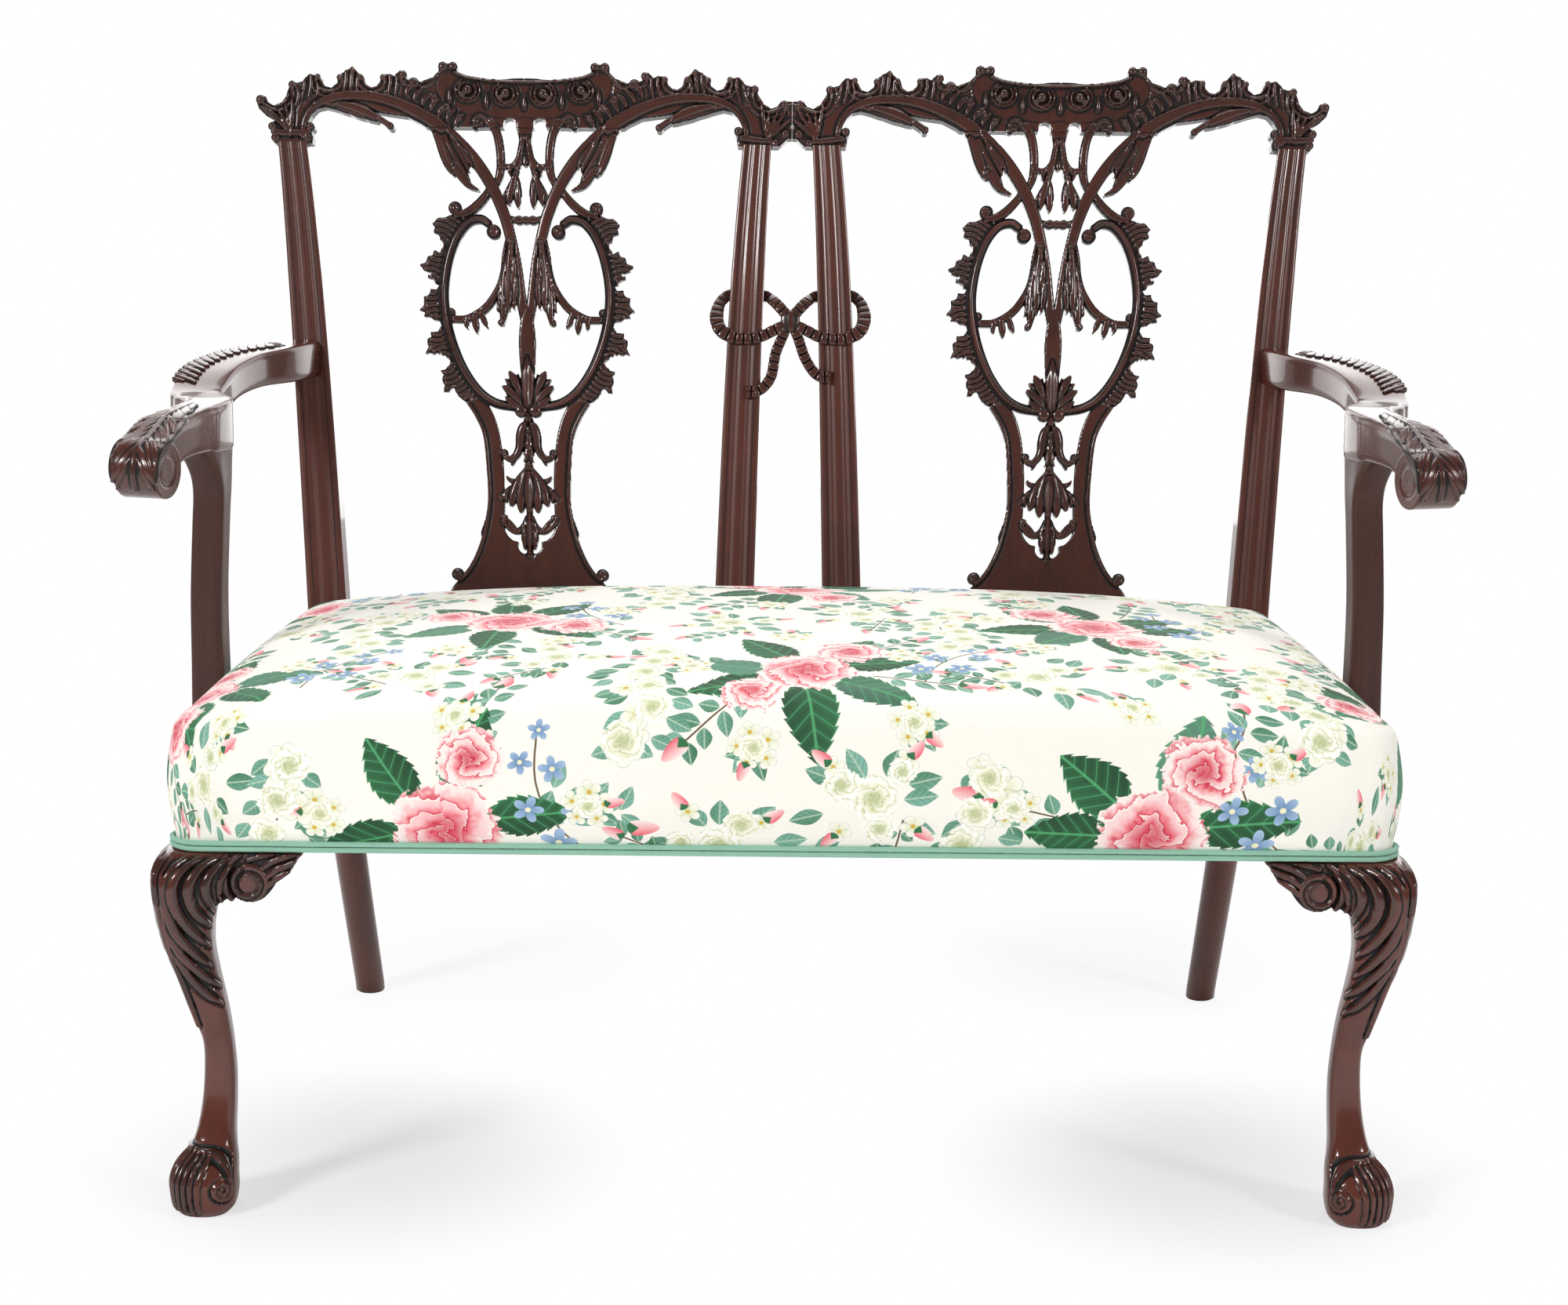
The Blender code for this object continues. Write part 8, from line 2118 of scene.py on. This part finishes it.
def floor(shade, white):
    """A white floor that shows the shadows behind the feet and hardly anything elsewhere."""
    points = [(30.0 * x, 30.0 * y, 0.0) for x, y in ((-1, -1), (1, -1), (1, 1), (-1, 1))]
    look = Look("studio_floor", Roughness=0.95, Specular_IOR_Level=0.1)
    look.shader.inputs["Base Color"].default_value = (*shade, 1.0)
    spot = look.place()
    aside, back = abs(spot.part(0)), spot.part(1)
    front_shade = 1.0 - (aside - 0.40).length_with(back + 0.20).ramp(0.05, 0.3)
    rear_shade = 1.0 - (aside - 0.36).length_with(back - 0.42).ramp(0.04, 0.26)
    ray = look.node("ShaderNodeLightPath", {}, {}, "Is Camera Ray")
    glow = look.node("ShaderNodeEmission", {}, {"Color": (1.0, 1.0, 1.0), "Strength": 1.0})
    share = ray * (1.0 - front_shade.most(rear_shade * 0.6) * (1.0 - white)).clamped()
    mixed = look.node("ShaderNodeMixShader", {}, {0: share, 2: glow})
    look.tree.links.new(look.shader.outputs[0], mixed.socket.node.inputs[1])
    look.tree.links.new(mixed.socket, look.tree.nodes["Material Output"].inputs["Surface"])
    mesh_piece("studio_floor", points, [(0, 1, 2, 3)], look.material, sharp=0)


def surroundings(strength, gloss):
    """White to the camera, soft light on the piece, and a dimmer room in its polish."""
    world = bpy.data.worlds.new("studio")
    world.use_nodes = True
    tree = world.node_tree
    rays = tree.nodes.new("ShaderNodeLightPath")
    shown = tree.nodes["Background"]
    shown.inputs["Color"].default_value = (1.0, 1.0, 1.0, 1.0)
    shown.inputs["Strength"].default_value = strength
    for kinds, level in ((("Is Glossy Ray",), gloss), (("Is Camera Ray", "Is Transmission Ray"), 1.0)):
        other = tree.nodes.new("ShaderNodeBackground")
        other.inputs["Color"].default_value = (1.0, 1.0, 1.0, 1.0)
        other.inputs["Strength"].default_value = level
        for kind in kinds:
            blend = tree.nodes.new("ShaderNodeMixShader")
            tree.links.new(rays.outputs[kind], blend.inputs[0])
            tree.links.new(shown.outputs[0], blend.inputs[1])
            tree.links.new(other.outputs[0], blend.inputs[2])
            shown = blend
    tree.links.new(shown.outputs[0], tree.nodes["World Output"].inputs["Surface"])
    bpy.context.scene.world = world


# The add-on

LOOKS = {}


def mahogany(kind):
    """The frame's finish: carved work is darker, plain faces are redder."""
    if kind not in LOOKS:
        colours = bpy.context.scene.settee_finish
        deep, body, warm = (tuple(c) for c in (colours.recess, colours.body, colours.warm))
        settings = {
            "carved": {"grain": (150.0, 150.0, 9.0), "warmth": 0.42, "wear": 0.35, "polish": 0.2},
            "post": {"grain": (170.0, 170.0, 6.0), "warmth": 0.25, "wear": 0.1, "polish": 0.36, "coat": 0.05},
            "upright": {"grain": (170.0, 170.0, 6.0), "warmth": 0.65, "wear": 0.2, "polish": 0.32},
            "arm": {"grain": (150.0, 9.0, 150.0), "warmth": 0.5, "wear": 0.3, "polish": 0.2},
            "leg": {"grain": (150.0, 150.0, 8.0), "warmth": 0.9, "wear": 0.8, "polish": 0.17},
        }[kind]
        LOOKS[kind] = polished_wood("mahogany_" + kind, deep, body, warm, **settings)
    return LOOKS[kind]


def dressed(piece, *nodes, slot="mahogany"):
    """Rides a piece on the settee's body in place of the frame's own solids."""
    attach(piece, "root")
    if nodes:
        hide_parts(*nodes)
    return piece


def colour(name, description, code):
    """A colour setting with a hex code as its default."""
    return bpy.props.FloatVectorProperty(
        name=name, description=description, subtype="COLOR", default=tint(code), min=0, max=1,
    )


def power(name, description, default):
    """A lamp's power in watts."""
    return bpy.props.FloatProperty(name=name, description=description, subtype="POWER", default=default, min=0)


class SETTEE_PG_finish(bpy.types.PropertyGroup):
    """Colours of the polished frame."""

    # Recess is the near-black colour of the painted shade in the hollows
    recess: colour("Recess", "Polish gathered in the hollows", "0a0505")
    body: colour("Body", "Polish on most of the wood", "331f1a")
    warm: colour("Warm", "Red wood that shows on the flats", "622d1f")
    rail: colour("Rail", "Unpolished timber of the seat frame", "b98c5c")


class SETTEE_PG_cloth(bpy.types.PropertyGroup):
    """Colours of the seat."""

    ground: colour("Ground", "Cotton under the print", "fbf8ee")
    rose: colour("Rose", "Shaded petals", "ee5169")
    pale: colour("Pale", "Petals in the light", "fdeee8")
    leaf: colour("Leaf", "Large leaves", "2f7145")
    teal: colour("Teal", "Small leaves", "84b8a4")
    blue: colour("Blue", "Bellflowers", "a9c3de")
    welt: colour("Welt", "Double welt along the hem", "a9dfc4")
    pressure: bpy.props.FloatProperty(
        name="Stuffing", description="Pressure of the stuffing under the cover", default=4.0, min=0.0, max=20.0,
    )


class SETTEE_PG_room(bpy.types.PropertyGroup):
    """The studio."""

    key: power("Main lamp", "Power of the large lamp", 76.0)
    top: power("Top lamp", "Power of the lamp above", 42.0)
    fill: power("Fill lamp", "Power of the lamp at the right", 36.0)
    screen: power("Screen", "Power of the white screen behind, which the polish mirrors", 115.0)
    haze: bpy.props.FloatProperty(name="Room light", description="Light from all round", default=0.45, min=0, max=5)
    gloss: bpy.props.FloatProperty(
        name="Room in the polish", description="How bright the room mirrors", default=0.2, min=0, max=5,
    )
    floor: bpy.props.FloatVectorProperty(
        name="Floor", description="Colour of the floor", subtype="COLOR", default=(0.95, 0.95, 0.95), min=0, max=1,
    )
    white: bpy.props.FloatProperty(
        name="White", description="How much of the floor shows as plain white", subtype="FACTOR", default=0.5,
        min=0, max=1,
    )


class SETTEE_OT_backs(bpy.types.Operator):
    """Carve the two crest rails and splats, and set the splats in their shoes"""

    bl_idname = "settee.backs"
    bl_label = "Chair backs"

    def execute(self, context):
        crest, splat = chair_back_maps()
        look = mahogany("carved")
        for side_name, side in SIDES.items():

            def place(out, up, proud, s=side):
                return back_place(s, out, up, proud)

            rail = carved_board("crest_rail_" + side_name, crest, place, PLATE_BASE, CREST_BACK, look, 2.0)
            dressed(rail, "crest_rail_" + side_name)
            board = carved_board("splat_" + side_name, splat, place, PLATE_BASE - 2.0, SPLAT_BACK, look, 1.2)
            dressed(board, "splat_" + side_name)
            dressed(shoe(side_name, look), "splat_shoe_" + side_name)
        return {"FINISHED"}


class SETTEE_OT_stiles(bpy.types.Operator):
    """Shape the rear legs and the reeded stiles"""

    bl_idname = "settee.stiles"
    bl_label = "Stiles and rear legs"

    def execute(self, context):
        for side_name in SIDES:
            dressed(outer_stile(side_name, mahogany("upright")), "rear_leg_and_stile_" + side_name)
            dressed(inner_stile(side_name, mahogany("upright")), "inner_stile_" + side_name)
        return {"FINISHED"}


class SETTEE_OT_ribbon(bpy.types.Operator):
    """Carve the pleated ribbon that ties the inner stiles"""

    bl_idname = "settee.ribbon"
    bl_label = "Ribbon bow"

    def execute(self, context):
        dressed(ribbon_bow(mahogany("carved")), "ribbon_bow")
        return {"FINISHED"}


class SETTEE_OT_front_legs(bpy.types.Operator):
    """Carve the front legs with their leafy knees, rolled feet and brackets"""

    bl_idname = "settee.front_legs"
    bl_label = "Front legs"

    def execute(self, context):
        knee, scroll = knee_carving(), bracket_carving()
        for side_name in SIDES:
            dressed(front_leg(side_name, mahogany("leg"), knee), "front_leg_" + side_name)
            for face in ("front", "side"):
                piece = bracket(side_name, face, mahogany("leg"), scroll)
                dressed(piece, "knee_bracket_%s_%s" % (face, side_name))
        return {"FINISHED"}


class SETTEE_OT_arms(bpy.types.Operator):
    """Shape the arms with their carved leaves, and the supports below"""

    bl_idname = "settee.arms"
    bl_label = "Arms"

    def execute(self, context):
        leaf, band = arm_leaf_carving(), arm_band_carving()
        for side_name in SIDES:
            dressed(arm(side_name, mahogany("arm"), leaf, band), "arm_" + side_name)
            dressed(support(side_name, mahogany("post")), "arm_support_" + side_name)
        return {"FINISHED"}


class SETTEE_OT_seat(bpy.types.Operator):
    """Stuff the seat, cover it with the printed cotton and finish its hem"""

    bl_idname = "settee.seat"
    bl_label = "Seat"

    def execute(self, context):
        cloth = context.scene.settee_cloth
        stuffing = woven_cloth("stuffing", tint("d8cdb4"), tint("a8977a"), 0.004, 0.5, 0.001)
        pad, _ = seat_surface("seat_pad", 60, 28, 6, 6, 0.0040, stuffing, hem=REAR_HEM_Z, turned_in=False)
        dressed(pad, "seat_pad", slot="stuffing")
        colours = {key: tuple(getattr(cloth, key)) for key in ("ground", "rose", "pale", "leaf", "teal", "blue")}
        cover, held = seat_surface("seat_cover", 132, 60, 14, 9, 0.0, printed_cotton("printed_cotton", **colours))
        stuffed(cover, held, cloth.pressure)
        refined(cover)
        write_print(cover, printed_cloth())
        dressed(cover, "seat_cover", slot="cover_cloth")
        trim = woven_cloth("welt_cloth", tuple(cloth.welt), tuple(c * 0.8 for c in cloth.welt), 0.0007, 0.15)
        dressed(welt(trim), "welt_trim", slot="welt_cloth")
        black = woven_cloth("bottom_cloth", tint("2a2a2b"), tint("121213"), 0.0009, 0.1)
        piece, size = bottom_cloth(black)
        dressed(piece, "dust_cover", slot="dust_cloth")
        return {"FINISHED"}


class SETTEE_OT_inside(bpy.types.Operator):
    """Finish the frame's own hidden pieces: rails, blocks, webbing and screws"""

    bl_idname = "settee.inside"
    bl_label = "Inside"

    def execute(self, context):
        rail = tuple(context.scene.settee_finish.rail)
        looks = {
            "beech": raw_wood("rail_timber", rail, tuple(c * 0.55 for c in rail)),
            "webbing": woven_cloth("jute_webbing", tint("a88c5c"), tint("6f5836"), 0.0022, 0.3, 0.0004),
            "hessian": woven_cloth("hessian", tint("9c8154"), tint("6b5433"), 0.0016, 0.3, 0.0003),
            "steel": bright_steel("screw_steel"),
        }
        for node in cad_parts:
            name = node if isinstance(node, str) else node["name"]
            piece = bpy.data.objects.get(name)
            if piece is None or piece.hide_render:
                continue
            for place in piece.material_slots:
                for key, look in looks.items():
                    if place.material and place.material.name.startswith(key):
                        place.material = look
        return {"FINISHED"}


class SETTEE_OT_stage(bpy.types.Operator):
    """Set the camera, lamps and floor"""

    bl_idname = "settee.stage"
    bl_label = "Studio"

    def execute(self, context):
        room = context.scene.settee_room
        context.scene.view_settings.view_transform = "Standard"
        camera()
        floor(tuple(room.floor), room.white)
        surroundings(room.haze, room.gloss)
        lamp("lamp_left", (-2.6, -2.5, 2.5), (0, -0.1, 0.5), (0.8, 0.8), room.key)
        lamp("lamp_top", (0.1, 0.9, 2.9), (0, 0, 0.4), (3.0, 1.6), room.top)
        lamp("lamp_right", (2.9, -2.2, 2.1), (0, 0, 0.5), (0.6, 0.9), room.fill)
        screen = lamp("white_screen", (0.0, 3.0, 1.35), (0, 0, 0.75), (7.0, 2.6), room.screen)
        screen.visible_camera = screen.visible_diffuse = False
        return {"FINISHED"}


GROUPS = {"settee_finish": SETTEE_PG_finish, "settee_cloth": SETTEE_PG_cloth, "settee_room": SETTEE_PG_room}
BUILDERS = (
    SETTEE_OT_backs, SETTEE_OT_stiles, SETTEE_OT_ribbon, SETTEE_OT_front_legs, SETTEE_OT_arms, SETTEE_OT_seat,
    SETTEE_OT_inside, SETTEE_OT_stage,
)


class SETTEE_PT_panel(bpy.types.Panel):
    """The settee's pieces and finishes"""

    bl_idname = "SETTEE_PT_panel"
    bl_label = "Chair-back settee"
    bl_space_type = "VIEW_3D"
    bl_region_type = "UI"
    bl_category = "Settee"

    def draw(self, context):
        column = self.layout.column()
        for group in GROUPS:
            values = getattr(context.scene, group)
            for key in values.__annotations__:
                column.prop(values, key)
        for builder in BUILDERS:
            column.operator(builder.bl_idname)


CLASSES = (*GROUPS.values(), *BUILDERS, SETTEE_PT_panel)


def register():
    for kind in CLASSES:
        bpy.utils.register_class(kind)
    for key, group in GROUPS.items():
        setattr(bpy.types.Scene, key, bpy.props.PointerProperty(type=group))


def unregister():
    for key in GROUPS:
        delattr(bpy.types.Scene, key)
    for kind in reversed(CLASSES):
        bpy.utils.unregister_class(kind)


def main():
    register()
    for builder in BUILDERS:
        group, action = builder.bl_idname.split(".")
        getattr(getattr(bpy.ops, group), action)()


if __name__ == "__main__":
    main()
